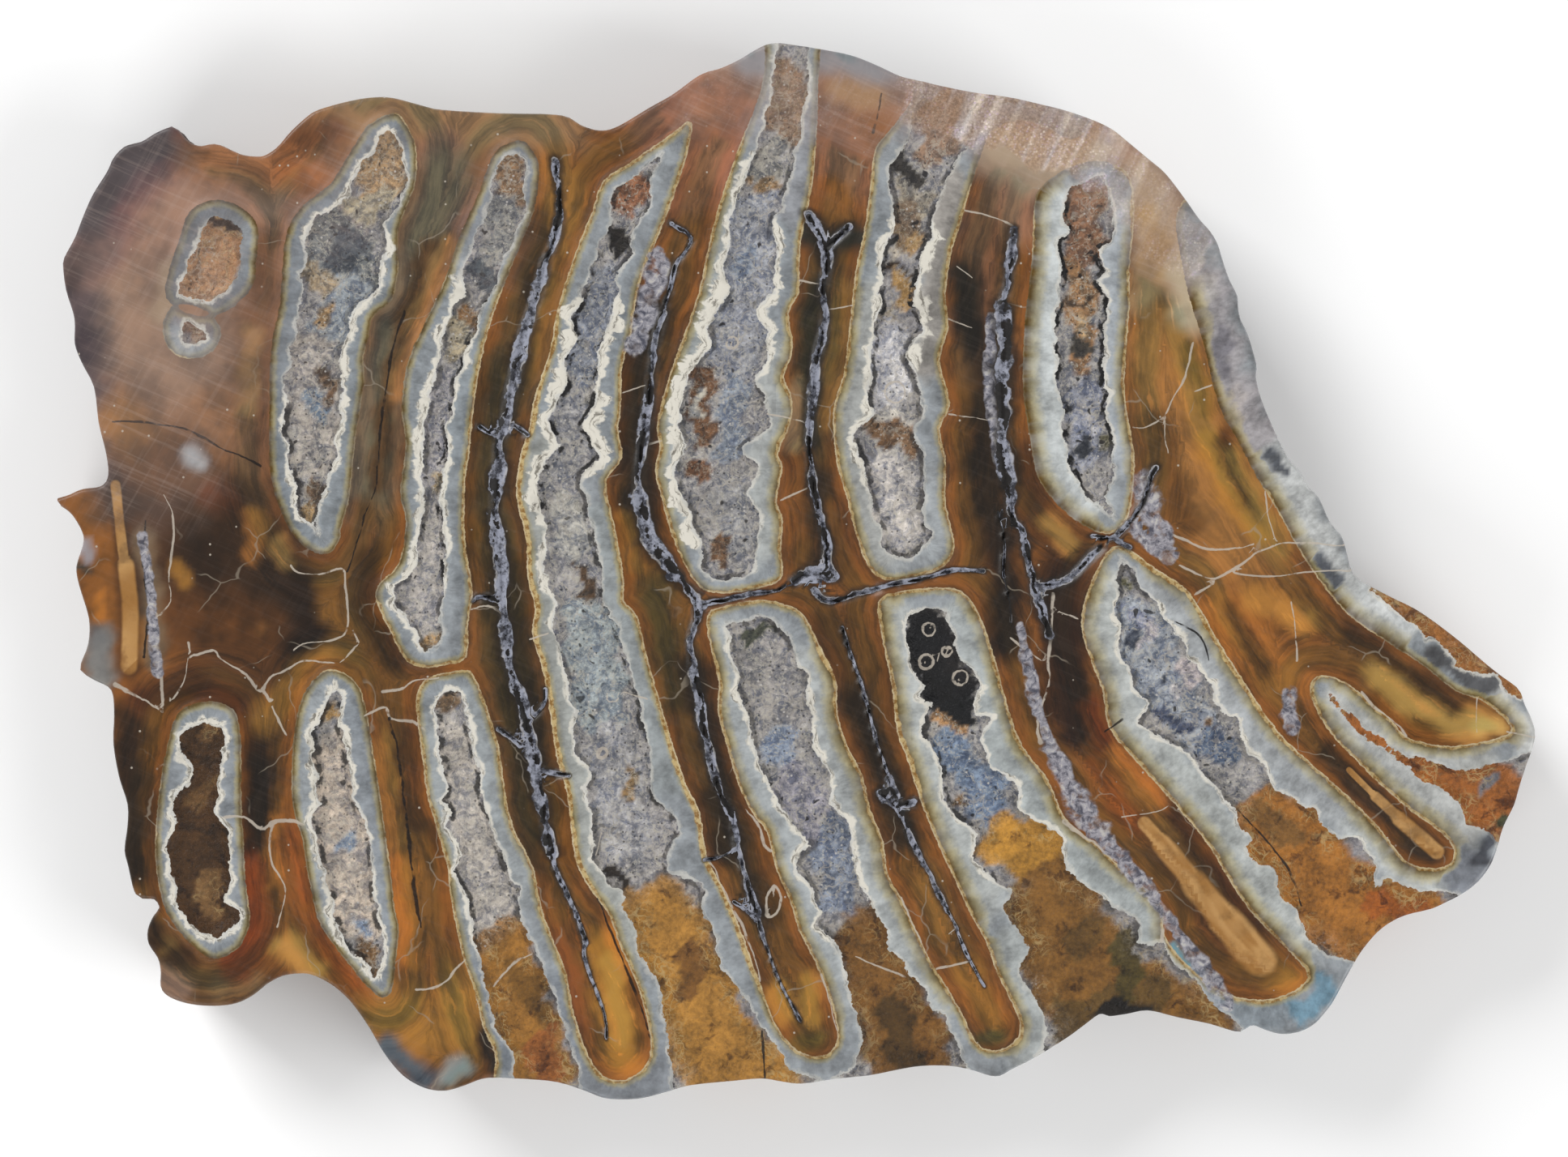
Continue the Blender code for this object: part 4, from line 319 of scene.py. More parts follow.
        -41.8, -15.2, -41, -14.4, -40.6, -13.6, -40.8, -12.9, -41.5, -12.2, -41.4, -11.2),
    "lower_second": (-31, -7.8, -30.6, -8.3, -30.5, -9.2, -30.7, -10.4, -30.4, -11.2, -30.2, -12.2,
        -30, -13.2, -29.9, -15.3, -29.4, -16, -29.1, -17, -28.7, -18, -28.5, -19, -28.4, -20, -28.5, -21,
        -28.3, -22, -28.1, -22.5, -28.2, -23, -28, -24, -27.7, -24.8, -27.6, -25.5, -27.9, -26.2,
        -28.3, -27.4, -28.6, -26.9, -29, -26.3, -29.5, -26, -30, -25.7, -30.3, -24.7, -30.8, -24.2,
        -31.1, -23.2, -31.2, -22.2, -31.5, -21.2, -31.6, -20.2, -32, -19.3, -32.2, -18.3, -32.3, -17.3,
        -32.6, -16.7, -32, -15.6, -32.3, -14.4, -32.1, -13.4, -32.5, -12.6, -32.3, -11.8, -32.6, -10.8,
        -32, -10.3, -31.8, -9.4, -31.4, -8.6),
    "bay_right": (36, -8.2, 37, -9.1, 38, -10, 38.7, -10.7, 39.4, -11.2, 40.3, -11.9, 41.2, -12.3,
        42.2, -12.7, 43, -13, 43.8, -13, 44.5, -13.3, 45.2, -13.4, 46, -13.2, 47, -13, 48, -12.8,
        49.2, -12.3, 53, -12, 51.5, -19.5, 47.4, -18.5, 46.9, -17.7, 46.3, -17.2, 45.3, -16.9, 45.2, -16.3,
        44.8, -15.5, 44, -15, 43.2, -14.5, 42.3, -14, 41.5, -13.3, 40.7, -12.8, 39.8, -12.1, 39, -11.7,
        38.2, -11.1, 37.2, -9.9, 36.4, -9),
    "right_rim": (38.6, 1, 38.6, -0.2, 38.9, -1.2, 40, -2.2, 41.2, -3.2, 42.2, -3.9, 42.6, -4.5, 43.3, -4.6,
        44, -5.4, 44.6, -5.9, 44.4, -6.4, 45.4, -6.6, 46.4, -6.9, 47.3, -7, 47.7, -7.7, 48.3, -8.3, 49, -8.6,
        52, -8.6, 52, 1),
}


def ring(x, y, radius):
    """A path round a small circle, as x and y in turn."""
    turn = np.linspace(0.0, 2 * math.pi, 9)
    return np.column_stack((x + radius * np.cos(turn), y + radius * np.sin(turn))).ravel()


# Open cracks with mineral along their sides: half width, then the path
CRACKS = [
    (0.27, -16.2, 27.5, -15.9, 25.8, -15.9, 24, -16.2, 22.5, -16.8, 21),
    (0.45, -16.8, 21, -17.2, 19.3, -17.7, 17.7, -18.3, 16, -18.6, 14.5, -19, 13, -19.3, 11.5, -19.5, 10,
        -19.9, 9, -20, 8, -20.1, 6, -20.2, 4, -20.1, 2.5, -19.9, 1, -19.7, 0, -19.8, -1.5),
    (0.39, -19.8, -1.5, -19.5, -3, -19.4, -5, -19.2, -6.5, -18.8, -7.8, -18.3, -9, -18.1, -10.2,
        -17.8, -11.5, -17.5, -13, -17.3, -14.5, -17, -16, -16.7, -17.5, -16.4, -19),
    (0.18, -16.4, -19, -15.9, -20.6, -15.2, -22, -14.4, -24, -14.1, -25),
    (0.099, -14.1, -25, -14.2, -26, -13.5, -28, -12.8, -30, -12.7, -31.5),
    (0.25, -21.7, -2, -21.2, -1.75, -20.3, -1.85, -19.7, -2.3),
    (0.15, -19, 9.9, -18, 9.2),
    (0.15, -20, 9, -21.2, 9.7),
    (0.17, -20, -10.6, -18.5, -11.7),
    (0.14, -17.8, -10, -16.9, -9, -16.8, -8),
    (0.14, -17, -13.5, -15.2, -13.8),
    (0.15, -8.3, 23.4, -7, 22.6, -7.1, 22, -8, 20.7, -8.4, 19, -8.9, 17.5),
    (0.33, -8.9, 17.5, -9.4, 15.5, -9.6, 14, -9.8, 12, -10.1, 10, -10.3, 8.5, -10.5, 7, -10.5, 5.5),
    (0.45, -10.5, 5.5, -10.4, 4.3, -10.1, 3, -9.7, 2, -9, 1.2, -8.3, 0.2, -7.5, -0.8, -6.9, -1.6),
    (0.33, -6.9, -1.6, -6.6, -2.3, -6.6, -3.3, -7, -4.6, -6.9, -6, -6.6, -7.5, -6.3, -9, -6.2, -10.5,
        -5.8, -12, -5.5, -13.5),
    (0.27, -5.5, -13.5, -5, -15, -4.3, -16.3, -3.9, -18, -3.5, -20, -2.6, -23),
    (0.13, -2.6, -23, -1.5, -26.5, -0.3, -29, 0.4, -30.3),
    (0.12, -6.1, -19.5, -4.8, -19.2, -4, -18.6, -4.2, -18),
    (0.12, -4.1, -22.3, -3.3, -22.8, -2.5, -23.7),
    (0.31, 1, 24, 2.1, 21.8, 2.2, 20.5),
    (0.25, 3.7, 23.2, 2.1, 21.8),
    (0.33, 2.2, 20.5, 1.9, 19, 2.1, 17.5, 1.9, 16, 1.5, 14.5, 1.4, 13, 1.2, 11.5, 1.1, 10, 1, 8.5, 1.1, 7,
        1.3, 5.5, 1.7, 4, 2, 2.8, 2.2, 1.6, 2.2, 0.5, 2.6, -0.4),
    (0.39, 0, -0.7, 0.8, -0.2, 1.9, -0.1, 2.3, -0.4),
    (0.25, 1.3, -1.3, 1.9, -1.9, 2.8, -2, 4, -1.6, 5.2, -1.3),
    (0.15, 3.2, -3.8, 3.6, -5, 4.1, -6.5, 4.6, -8, 5, -9.5, 5.4, -11, 5.9, -12.5, 6.4, -14),
    (0.33, 6.4, -14, 6.7, -15.2, 7.2, -16.5),
    (0.18, 7.2, -16.5, 8, -18.3, 8.9, -20, 9.9, -22, 10.9, -24),
    (0.099, 10.9, -24, 11.6, -25.8, 12.8, -28),
    (0.31, 5.9, -15, 6.9, -15.8, 8, -15.6),
    (0.29, 14.9, 23, 14.6, 21, 14.4, 19.5, 14.1, 18),
    (0.51, 14.1, 18, 14.1, 16.5, 14.2, 15, 14, 13, 14.1, 11, 14, 9, 14.1, 7.5, 14.3, 6),
    (0.33, 14.3, 6, 14.6, 5.2, 14.7, 3.5, 15.3, 2.8, 15.6, 1.5, 16, 0, 16.3, -1.5, 16.8, -3, 17.2, -4.3),
    (0.091, 13.7, 4, 14.2, 2, 14.1, 0, 14.5, -2, 14.6, -3.5),
    (0.15, -6.3, -2.2, -4.5, -1.9, -3, -1.55, -1.2, -1.3, -0.7, -1),
    (0.14, 5.3, -1.2, 7, -0.8, 8.5, -0.5, 10, -0.1, 11, 0.1, 12.7, 0),
    (0.25, 20.7, 1.7, 19.8, 0.8, 18.9, -0.2, 17.8, -0.8, 16.4, -1),
    (0.25, 21.4, 2.2, 22.3, 3, 23.3, 4.2, 23.8, 5.5, 24.3, 6.9),
    (0.15, 20, 2.4, 21.4, 2.2, 22.6, 1.6),
]

# Pale veins of mineral: half width, then the path
VEINS = [
    (0.0984, 25.2, 2.6, 26.3, 2.1, 27.9, 1.5, 29.5, 1.5, 31, 1.8),
    (0.0984, 26, 0.4, 27, -0.1, 28, -0.5, 28.6, -0.4, 29.9, 0.3, 31.1, 1.2, 33.3, 1.9, 37, 1.7),
    (0.0738, 27, -1.6, 28.5, -0.7),
    (0.0656, 29.6, -0.1, 31, -0.3, 33, -0.3, 35, 0, 37.6, 0),
    (0.0656, 31.7, 5.5, 32, 3.5, 32.5, 2),
    (0.082, 22.8, 9.7, 23.6, 9.7, 24.9, 10.4, 25.6, 11.8, 26.3, 13, 26.9, 15.5),
    (0.0656, 25, 10.3, 25, 9, 25.2, 8),
    (0.0656, 27, 12.1, 28.2, 12.6),
    (0.0984, 17.6, -2.6, 19.1, -3.2),
    (0.0984, 14.6, -4.5, 15.5, -5.2, 16.9, -6.2),
    (0.131, 17.4, -1.5, 17.4, -3, 17.3, -4.5, 17.1, -6, 17.2, -7.5, 16.9, -8.6, 16.5, -9.5, 16.4, -10.8,
        16.6, -11.5),
    (0.082, 33.5, -2.1, 33.8, -4, 33.9, -6),
    (0.0574, 22, -16.6, 24.5, -16.2, 25.2, -15.8),
    (0.107, 38.2, -8.2, 39, -9.1, 40, -9.8, 40.7, -10.4, 41.2, -11.1),
    (0.0574, 46, -8.5, 46, -11),
    (0.0574, 48, -10.8, 49.9, -11.2),
    (0.082, -42.6, 5.2, -42, 4, -41.9, 2, -42.2, 0, -42.1, -2, -42.8, -3),
    (0.082, -34, 0.4, -33.5, -0.1, -32, -0.2, -30.5, 0.2, -30.3, -1, -30.1, -3.4, -30.4, -4.3, -31.5, -4.7,
        -33, -4.8, -33.8, -5.3),
    (0.0656, -30, -3.4, -29.4, -4.8),
    (0.082, -29.7, -5.2, -30.8, -6.2, -33, -6, -34.3, -6.7, -35.3, -7.1, -35.8, -8, -35.2, -8.7),
    (0.0902, -40.9, -4.8, -40.6, -5.7, -39.2, -5.3, -38.6, -6, -37, -7, -36.2, -8, -35.7, -8.2, -35, -9.7,
        -34.3, -11),
    (0.0738, -40.9, -5.8, -41.2, -7.5, -42, -8.7),
    (0.107, -27.8, -8.1, -26.5, -8, -25.7, -7.4, -24, -7.2),
    (0.0902, -29.1, -9.8, -27.6, -9.1, -27.2, -10, -25.8, -10.1, -24.9, -10.7),
    (0.082, -35.2, -16.9, -35.4, -18.5, -35.2, -19.8, -34.6, -20.8, -34.3, -21.5, -34.5, -22.5, -34.9, -24),
    (0.123, -38.5, -16.6, -37.2, -16.5, -36, -17.4, -35.3, -17, -34, -16.8, -33, -17.1),
    (0.131, -25.6, -28.2, -24.3, -28.1, -23.4, -27.6, -22.9, -26.8, -22.2, -26.2),
    (0.0984, -20.3, -28, -19.4, -26.9, -18.5, -26.2, -17.6, -25.8),
    (0.082, 4, -26, 5.5, -26.6, 7.5, -27.4),
    (0.0984, -43.8, 2, -43.4, -1, -43.2, -4, -42.8, -6.5, -42.6, -9),
    (0.148, -45.8, -7.6, -42.6, -9.4),
    (0.0984, -1.9, -22, -1.4, -21.2, -0.9, -22, -1.2, -23, -1.9, -23.3, -1.9, -22),
    (0.115, -3.4, -16, -2.5, -17, -2, -18.5, -1.6, -18.9),
    (0.0984, -6, -19.3, -5.3, -20.2, -5, -21, -4.5, -22, -4, -23, -3.5, -24, -3, -25.2, -2.6, -26.3,
        -2.3, -27.6),
    (0.082, 1.8, -27.2, 2.2, -28.4, 2.6, -30, 2.9, -31),
    (0.082, 10.3, -24.5, 11, -24),
    (0.082, 9.5, -26.8, 12, -26.3),
    (0.115, 7.2, -22, 8.5, -25),
    (0.082, 11.5, 24.3, 13, 24, 14.7, 23.3),
    (0.164, 18.2, -16.8, 19.3, -17.8, 20.5, -18.5, 21.3, -19.3, 22, -20, 22.8, -20.8, 23.8, -21.5,
        24.5, -22.2, 24.8, -23, 24.9, -24, 24.7, -24.8),
    (0.107, -21.8, -2.6, -21, -2.35, -20.2, -2.5, -19.8, -2.9),
    (0.0738, -16.6, -4.2, -17.9, -4.6),
    (0.0738, -13, -17.6, -13.4, -19.2),
    (0.082, -11.9, -8, -9.9, -8.6),
    (0.0738, -1.9, 10.6, 0.2, 10.2, 0.9, 9.9),
    (0.0656, -0.9, 4.8, 0.9, 5.6),
    (0.0738, 1.9, 17.6, 3.9, 17.9),
    (0.0738, 2, 19.3, 0.3, 19.6),
    (0.0738, -11.7, 12, -10, 12.6),
    (0.0738, -10.2, 8.5, -9, 8.8),
    (0.0656, 10.4, 17, 12, 16.4),
    (0.0656, 10.4, 10.6, 13.5, 10.1),
    (0.0738, 12, 19.8, 10.9, 20.6),
]

# Little pale rings: the middle, then the radius
RING_HALF_WIDTH = 0.09
RINGS = [(9.1, -3.9, 0.45), (8.9, -6.1, 0.5), (11.2, -7.2, 0.5), (10.3, -5.4, 0.35), (-12.3, -8.4, 0.45),
         (-13.0, -12.3, 0.35), (-4.2, 15.4, 0.4), (6.8, 12.1, 0.7)]
VEINS += [(RING_HALF_WIDTH, *ring(*place)) for place in RINGS]

# Thin dark cracks with nothing in them: half width, then the path
SEAMS = [
    (0.13, -27.3, -10, -26.8, -12, -26.5, -14, -26.3, -16, -26, -18, -25.7, -21, -25.2, -24),
    (0.1, -26.3, 17.5, -27, 15.5, -27.6, 12, -28, 9, -28.2, 6, -28.6, 4.8, -29.2, 3, -29.8, 1, -30.2, 0),
    (0.09, -46, 10.1, -44.5, 10.1, -42.6, 9.9, -40.5, 9.4, -38.8, 8.3, -37.5, 7.9, -36, 7.1),
    (0.1, -13.3, -22, -12.3, -24.5, -11.3, -27, -10.3, -29.5, -9.7, -31.5),
    (0.07, 25.6, -3.4, 26.7, -3.9, 27.6, -4.8, 27.9, -6),
    (0.08, 22.1, -10, 20.9, -10.8),
    (0.09, 5.9, 32.2, 5.6, 30.7, 5.3, 29.6),
    (0.1, -43.8, 3.4, -44, 0.5, -43.6, -2.5, -43.9, -5.8),
    (0.09, -2.2, -31, -2, -34),
    (0.08, 29.8, -16, 31.6, -17.9, 33.4, -20.2, 34.2, -22.6),
]

# Tan strips in the dentine, which widen from stretch to stretch: half width, then the path
STRIPS = [
    (0.36, -45.8, 5.8, -45.4, 2.1, -45, -0.7),
    (0.6, -45.1, 0.4, -44.8, -2.8, -44.9, -6.4),
    (0.5, 23.6, -17, 25.2, -18.8),
    (0.75, 24.8, -18.4, 27.4, -21.6),
    (1, 27, -21.1, 29.4, -24),
    (1.2, 29, -23.5, 31.4, -26.2),
    (0.22, 37.4, -13.4, 39.6, -15.6),
    (0.38, 39.2, -15.2, 41.2, -17),
    (0.55, 40.8, -16.7, 43.3, -18.9),
]

# Strips and patches of crumpled blue-grey mineral that fill gaps: half width, then the path
FILLS = [
    (0.28, 15.2, -3.6, 15.8, -6.4),
    (0.45, 15.6, -5.6, 16.4, -9.4),
    (0.32, 16.3, -8.8, 17.6, -12.6),
    (0.6, 17.3, -11.8, 18.8, -15.2),
    (0.85, 18.8, -15, 20.4, -17.4),
    (0.6, 20.2, -17, 22.3, -19.8, 24.2, -21.8),
    (0.42, 23.9, -21.4, 25.6, -24, 27.2, -26.4),
    (0.55, 27, -26, 29.2, -29.2),
    (0.9, 23.6, 5.6, 24, 4, 24.6, 2.2),
    (0.45, 23, 3, 23.6, 2.2, 25.4, 0.9),
    (0.6, 33.3, -8.6, 33.3, -9.6, 33.6, -10.4),
    (0.8, -9.2, 21, -9.9, 18, -10.7, 15.2),
    (0.34, -44, 2.4, -43.5, -0.7, -43.3, -3.5, -43, -6.9),
    (0.4, 13.3, 17, 13.1, 13.4, 13.4, 10, 13.8, 7.4),
]

# Brush strokes: colour, radius, then the path. Later strokes lie over earlier ones.
DENTINE_GROUND = "7a4a20"
DENTINE_STROKES = [
    # The broad field on the left, whose rosy grey tones near the top are partly painted glare on the polish
    ("937060", 8, -44, 26, -40, 22, -38, 26),
    ("8d7060", 5.5, -46, 17, -41, 14),
    ("51444a", 2.6, -48.5, 18, -48, 10, -47, 6),
    ("6a4048", 3, -47.4, 22.6, -46.4, 25.6, -44.6, 27.6, -42.6, 29),
    ("36333c", 2.1, -47.6, 23, -46.6, 25.8, -44.8, 27.8, -42.8, 29),
    ("6b5350", 1.8, -48.5, 20.6, -46.5, 21.5),
    ("96683e", 2.2, -45.5, 10, -43, 7.5),
    ("8a6042", 2.4, -39, 11, -37.5, 6),
    ("432a19", 6.2, -43, 3, -40, 0, -37, -3),
    ("5e3e28", 2.6, -42.4, 7.4, -39, 5.4, -37, 5),
    ("6e3a20", 1.2, -39.4, 5.2, -38.2, 4.2),
    ("2f1e11", 4.8, -38, 2, -35, -2, -33, -4),
    ("5c3719", 2.4, -40, -3, -36, -4.5),
    ("8a5828", 0.9, -36.3, 3.7, -36.5, 1.3),
    ("8a5f28", 0.7, -41.5, 0.2, -41.2, -0.8),
    ("1e120a", 1.6, -33.2, -1.2, -32.4, -3.4, -33.4, -5),
    ("9a6a34", 0.55, -31.4, -2.5, -31.2, -3.1),
    ("7c4e26", 0.6, -36.1, -3.8),
    ("96693a", 0.8, -34.8, 1.8, -34.3, 0.6),
    ("92602c", 1, -44.4, -3.5, -43.8, -5.5),
    ("a3a3ab", 0.9, -40.6, 7.9, -40.2, 7.6),
    ("6a5a44", 0.7, -45.3, -12.7, -45, -13.3),
    ("9c8470", 1, -42, 20.4, -42.6, 17.5),
    # The flake
    ("7e4e22", 1.8, -48, 4.4, -46.6, 1, -46.6, -3),
    ("958c94", 0.5, -47.9, 2, -47.5, 0.9),
    ("3c342c", 0.4, -48.2, 0.4, -47.6, 0.2),
    ("a8682a", 0.5, -46.9, -1.4, -46.6, -3.4),
    ("5c3a1e", 0.8, -46.6, -4, -46.2, -6.4),
    ("6e5a48", 0.9, -44, 2.4, -43.4, -1, -43.1, -6),
    ("7c7a7c", 1.2, -47, -4.5, -46.8, -7),
    # Along the top, where the rosy and pale grey tones are partly painted glare and sheen on the polish
    ("8a5d3f", 2.2, -40, 28, -35.5, 27, -33, 29),
    ("8c6a4c", 2.6, -30, 31, -24, 30.4, -16, 30),
    ("70462b", 1.2, -34, 29, -31, 29.6),
    ("9a5f38", 1.8, -34, 27, -32.6, 26.4),
    ("8f6252", 2, -24, 28, -23, 24),
    ("94604a", 3.2, -9, 31, -5, 31.5, -4, 27),
    ("8a6a5c", 2.6, -4, 34.6, 2, 34.6, 7, 32.8),
    ("8f6047", 2.6, 2, 31, 3.5, 27),
    ("a07a58", 1.2, 3, 32.4, 5.2, 32.2),
    ("8d8a92", 1.4, -3, 34.4, 2, 34.8, 7.5, 33.6),
    ("9a8076", 2.6, 12, 31.5, 17, 30),
    ("8c6450", 2.4, 14, 28, 15, 24),
    ("96776a", 3, 21, 29, 24.5, 26),
    ("a8937f", 2.4, 13.4, 29, 16.4, 27.4, 19.6, 28),
    ("a8917c", 2.4, 23.4, 26, 25.6, 21),
    ("b08c5c", 0.9, 23.8, 24, 24.6, 20),
    # Between the far left and left loops
    ("6d4a34", 1.8, -35.8, 22, -36.3, 15, -36.3, 8),
    ("8f6a48", 0.9, -36.6, 16, -37, 11),
    # Between the left and third loops
    ("6a5a4a", 2.6, -23.5, 27, -26, 20, -28, 12, -29, 5),
    ("5a3a22", 0.9, -24.6, 22, -26.3, 17, -27.6, 11, -28.2, 6),
    ("9a6a40", 0.8, -23.4, 22, -25.4, 17, -26.8, 12),
    ("6a4424", 1.4, -28.8, 4, -29.5, 0, -29.5, -4),
    ("43280f", 1.2, -28.6, 1, -29, -3, -27, -6),
    # Third to fourth
    ("9c642e", 2, -16.4, 27, -15, 22),
    ("5a3c20", 1, -17.2, 24, -18.4, 19, -20, 14),
    ("7a5226", 1.6, -16.3, 19, -18, 12),
    ("4c3820", 2.4, -19.6, 13, -20.4, 5, -19.8, -2, -18.6, -10, -17.4, -18),
    ("54361a", 1.1, -18.5, 4, -18.8, 9),
    ("2f2210", 1.9, -19.6, 0, -18.4, -9, -17.2, -15, -16.2, -19.4),
    ("5c3c1a", 1, -21.6, 3, -21.5, -1),
    ("6e4418", 1.3, -16.6, -15, -15.6, -20),
    ("7a4520", 1.6, -15.4, -25, -14.4, -30),
    ("b8742e", 1.5, -12.9, -25, -12.1, -30, -11.4, -33),
    ("cc8a3c", 0.9, -12.4, -26.4, -11.7, -31.6),
    # Fourth to middle
    ("8f5c40", 2.2, -7.2, 28, -6, 30.5),
    ("7c4e34", 1.6, -8, 25, -6.6, 25.5),
    ("2c1e12", 2.2, -9.6, 17, -10.6, 10, -10.6, 4),
    ("5a3a1c", 0.9, -8.6, 15, -9.6, 12),
    ("8a5a26", 0.8, -11.4, 3.5, -10.9, 0.5),
    ("4e3a1c", 1.4, -9.4, -1, -8.6, -6, -8, -9),
    ("2a1c10", 2, -6.8, -7, -5.6, -13, -4.4, -18, -2.8, -23),
    ("5c3a1a", 0.9, -7.6, -10, -6.6, -14),
    ("7c4f24", 1.2, -4.6, -21, -3.2, -24.5),
    ("b87c34", 1, -1.1, -28.5, -0.8, -30),
    ("b07632", 0.9, 1, -27.5, 1.1, -30),
    ("6a4e22", 0.9, 0.4, -31.8, 1.6, -31.6),
    # Middle to fifth
    ("5a3c20", 2.2, 2.4, 20, 1.6, 14, 1.2, 8),
    ("23201a", 1.4, 0.6, 23, 2.2, 22, 4.2, 22.6),
    ("2c2518", 1.1, 1.3, 19, 1, 14, 0.8, 9),
    ("7a562a", 0.9, 3.4, 19, 2.9, 15, 2.6, 10),
    ("7a451e", 1, 0.2, 8, 0.6, 3),
    ("83664a", 0.8, 0.2, 12.6, -0.2, 8.6),
    ("3a2616", 1.3, 2, 0.6, 1.6, 6),
    ("6a3f1c", 1.3, 3, 4, 3.6, 1),
    ("8b5226", 1, 2.3, 26, 3.4, 24.8),
    ("553417", 2, 2.4, -4, 4.2, -9),
    ("2c1c0f", 1.6, 4.4, -9, 6.2, -14, 7.4, -18),
    ("5c3816", 1.2, 6, -7, 7, -11),
    ("8a5828", 1.3, 9, -21, 9.8, -24),
    ("a2642a", 1.2, 11.6, -27, 13.2, -30),
    ("5a4a26", 0.7, 12.6, -31.4, 13.8, -31.6),
    # Fifth to sixth
    ("6e4a34", 2.4, 12.4, 23, 12.2, 18, 13, 14),
    ("1e1812", 1.5, 11.4, 20, 12, 15.5),
    ("241a10", 1.9, 13.2, 14, 12.7, 7, 13.6, 3),
    ("4a2c14", 1.4, 15.6, 8, 16.6, 3),
    ("20160e", 1.6, 13.8, 2, 14.4, -2, 14.2, -5),
    ("3e2412", 2.2, 18.4, 1.4, 18.6, -4, 17.8, -9),
    ("281810", 1.6, 17.4, -1, 18.4, -6, 18.8, -11),
    ("6a3214", 0.9, 20, -9, 21, -13),
    ("a5713a", 0.9, 17.2, 3.2, 18.4, 1.8),
    # The field right of the sixth loop
    ("9c6a38", 4, 25, 15, 27, 8, 30, 2),
    ("b0763a", 1, 25.6, 17, 26.6, 12, 28.2, 8),
    ("6a441f", 1.3, 24.6, 10, 25.6, 5, 26.4, 3.4),
    ("a06c38", 1, 24.2, 17, 24.4, 12),
    ("b47a34", 0.9, 27.6, 9, 29.2, 5, 31.4, 2.4),
    ("6b3f18", 0.8, 28.9, 9, 30.6, 5),
    ("9c7c58", 1.4, 23.4, 18.6, 24.2, 22),
    ("7c5826", 0.8, 26.6, 15, 28, 11),
    ("946a34", 0.8, 29.6, 8, 31.4, 4.6, 33, 1.6),
    ("b4a38c", 1.6, 26.4, 20, 26.8, 17.4),
    ("a9682c", 2, 28, -3, 31, -5, 33, -7),
    ("b57b38", 1.2, 31, -1.6, 34.4, -3.4),
    ("6a3f1a", 0.8, 29.6, -2.6, 31.6, -6.6),
    ("c08a48", 1.6, 39.6, -7, 43, -9.6, 46, -10.4),
    ("4a2c12", 0.9, 37.4, -4, 41, -6.6, 44.6, -9),
    ("7a4a1e", 0.9, 36.6, -7.4, 39.4, -9.4, 42.6, -11),
    ("d0a25c", 0.7, 46, -10.6, 47.4, -10.5),
    # The tongue between the two lower right plates
    ("3e2110", 2, 23, -14, 27, -20, 31, -25),
    ("8a5a2c", 1, 24.2, -17.2, 28, -22, 31.4, -26),
    ("b0702e", 1.6, 31, -25.8, 33.2, -27.6),
    ("a8642a", 1.4, 22.2, -12.8, 24.4, -15.4),
    ("6a94a6", 0.5, 25.6, -25.4, 27.2, -27.2),
    ("8a4a1c", 1, 20.6, -13, 22.6, -17),

    ("3a2616", 1, 36, -12.2, 39.6, -16.2, 43, -19.2),
    # Lower left
    ("6a3f18", 2.6, -44, -12, -44, -18),
    ("2c1c10", 1.4, -45, -10, -44.6, -20),
    ("2a180d", 1.5, -36, -10.5, -36.2, -16, -36.6, -20),
    ("4a2812", 1.3, -44, -8.6, -40.4, -7.4, -37.4, -9),
    ("83380f", 0.8, -37, -21, -36.8, -25, -38.6, -27.4),
    ("6e4c2c", 2.2, -43, -25, -40, -28),
    ("3c2414", 0.9, -43.6, -22.6, -43.2, -25),
    ("40291a", 1, -42, -26.4, -41, -26),
    ("8a6c5c", 1.2, -43, -27.6, -41.4, -28.4),
    ("7a5c3c", 1.2, -38.4, -28.2, -36.8, -27.6),
    ("7a3a18", 1.2, -36.2, -20, -36, -25, -37.8, -27),
    ("21160e", 1, -36, -13, -36, -17),
    ("a8622a", 0.7, -35.1, -17, -35.1, -21),
    ("8a4a20", 1, -34.2, -18, -33.2, -23, -31, -26.8, -28.4, -29.2, -26.2, -29),
    ("b98442", 1.2, -34.2, -25.4, -32.6, -26.8),
    ("b06a2a", 1.1, -26.4, -20, -26.2, -26),
    ("9a6a2e", 2.8, -27, -30, -23.5, -31, -22, -28.5),
    ("4c5460", 1, -27.6, -32, -25, -34.2),
    ("8a8c8e", 0.8, -23.6, -34.2, -22.4, -33.2),
    ("241c16", 0.8, -20.8, -30.6, -20.4, -33.4),
    ("6e4a20", 1.3, -31.4, -1, -29.6, -7),
    ("96602a", 1.3, -35.6, -10, -34.2, -8.2, -31.5, -5.8),
    ("95612c", 1.4, -27.6, -12, -26.8, -18),
    ("5a3418", 1, -26.2, -11, -25.8, -17),
]

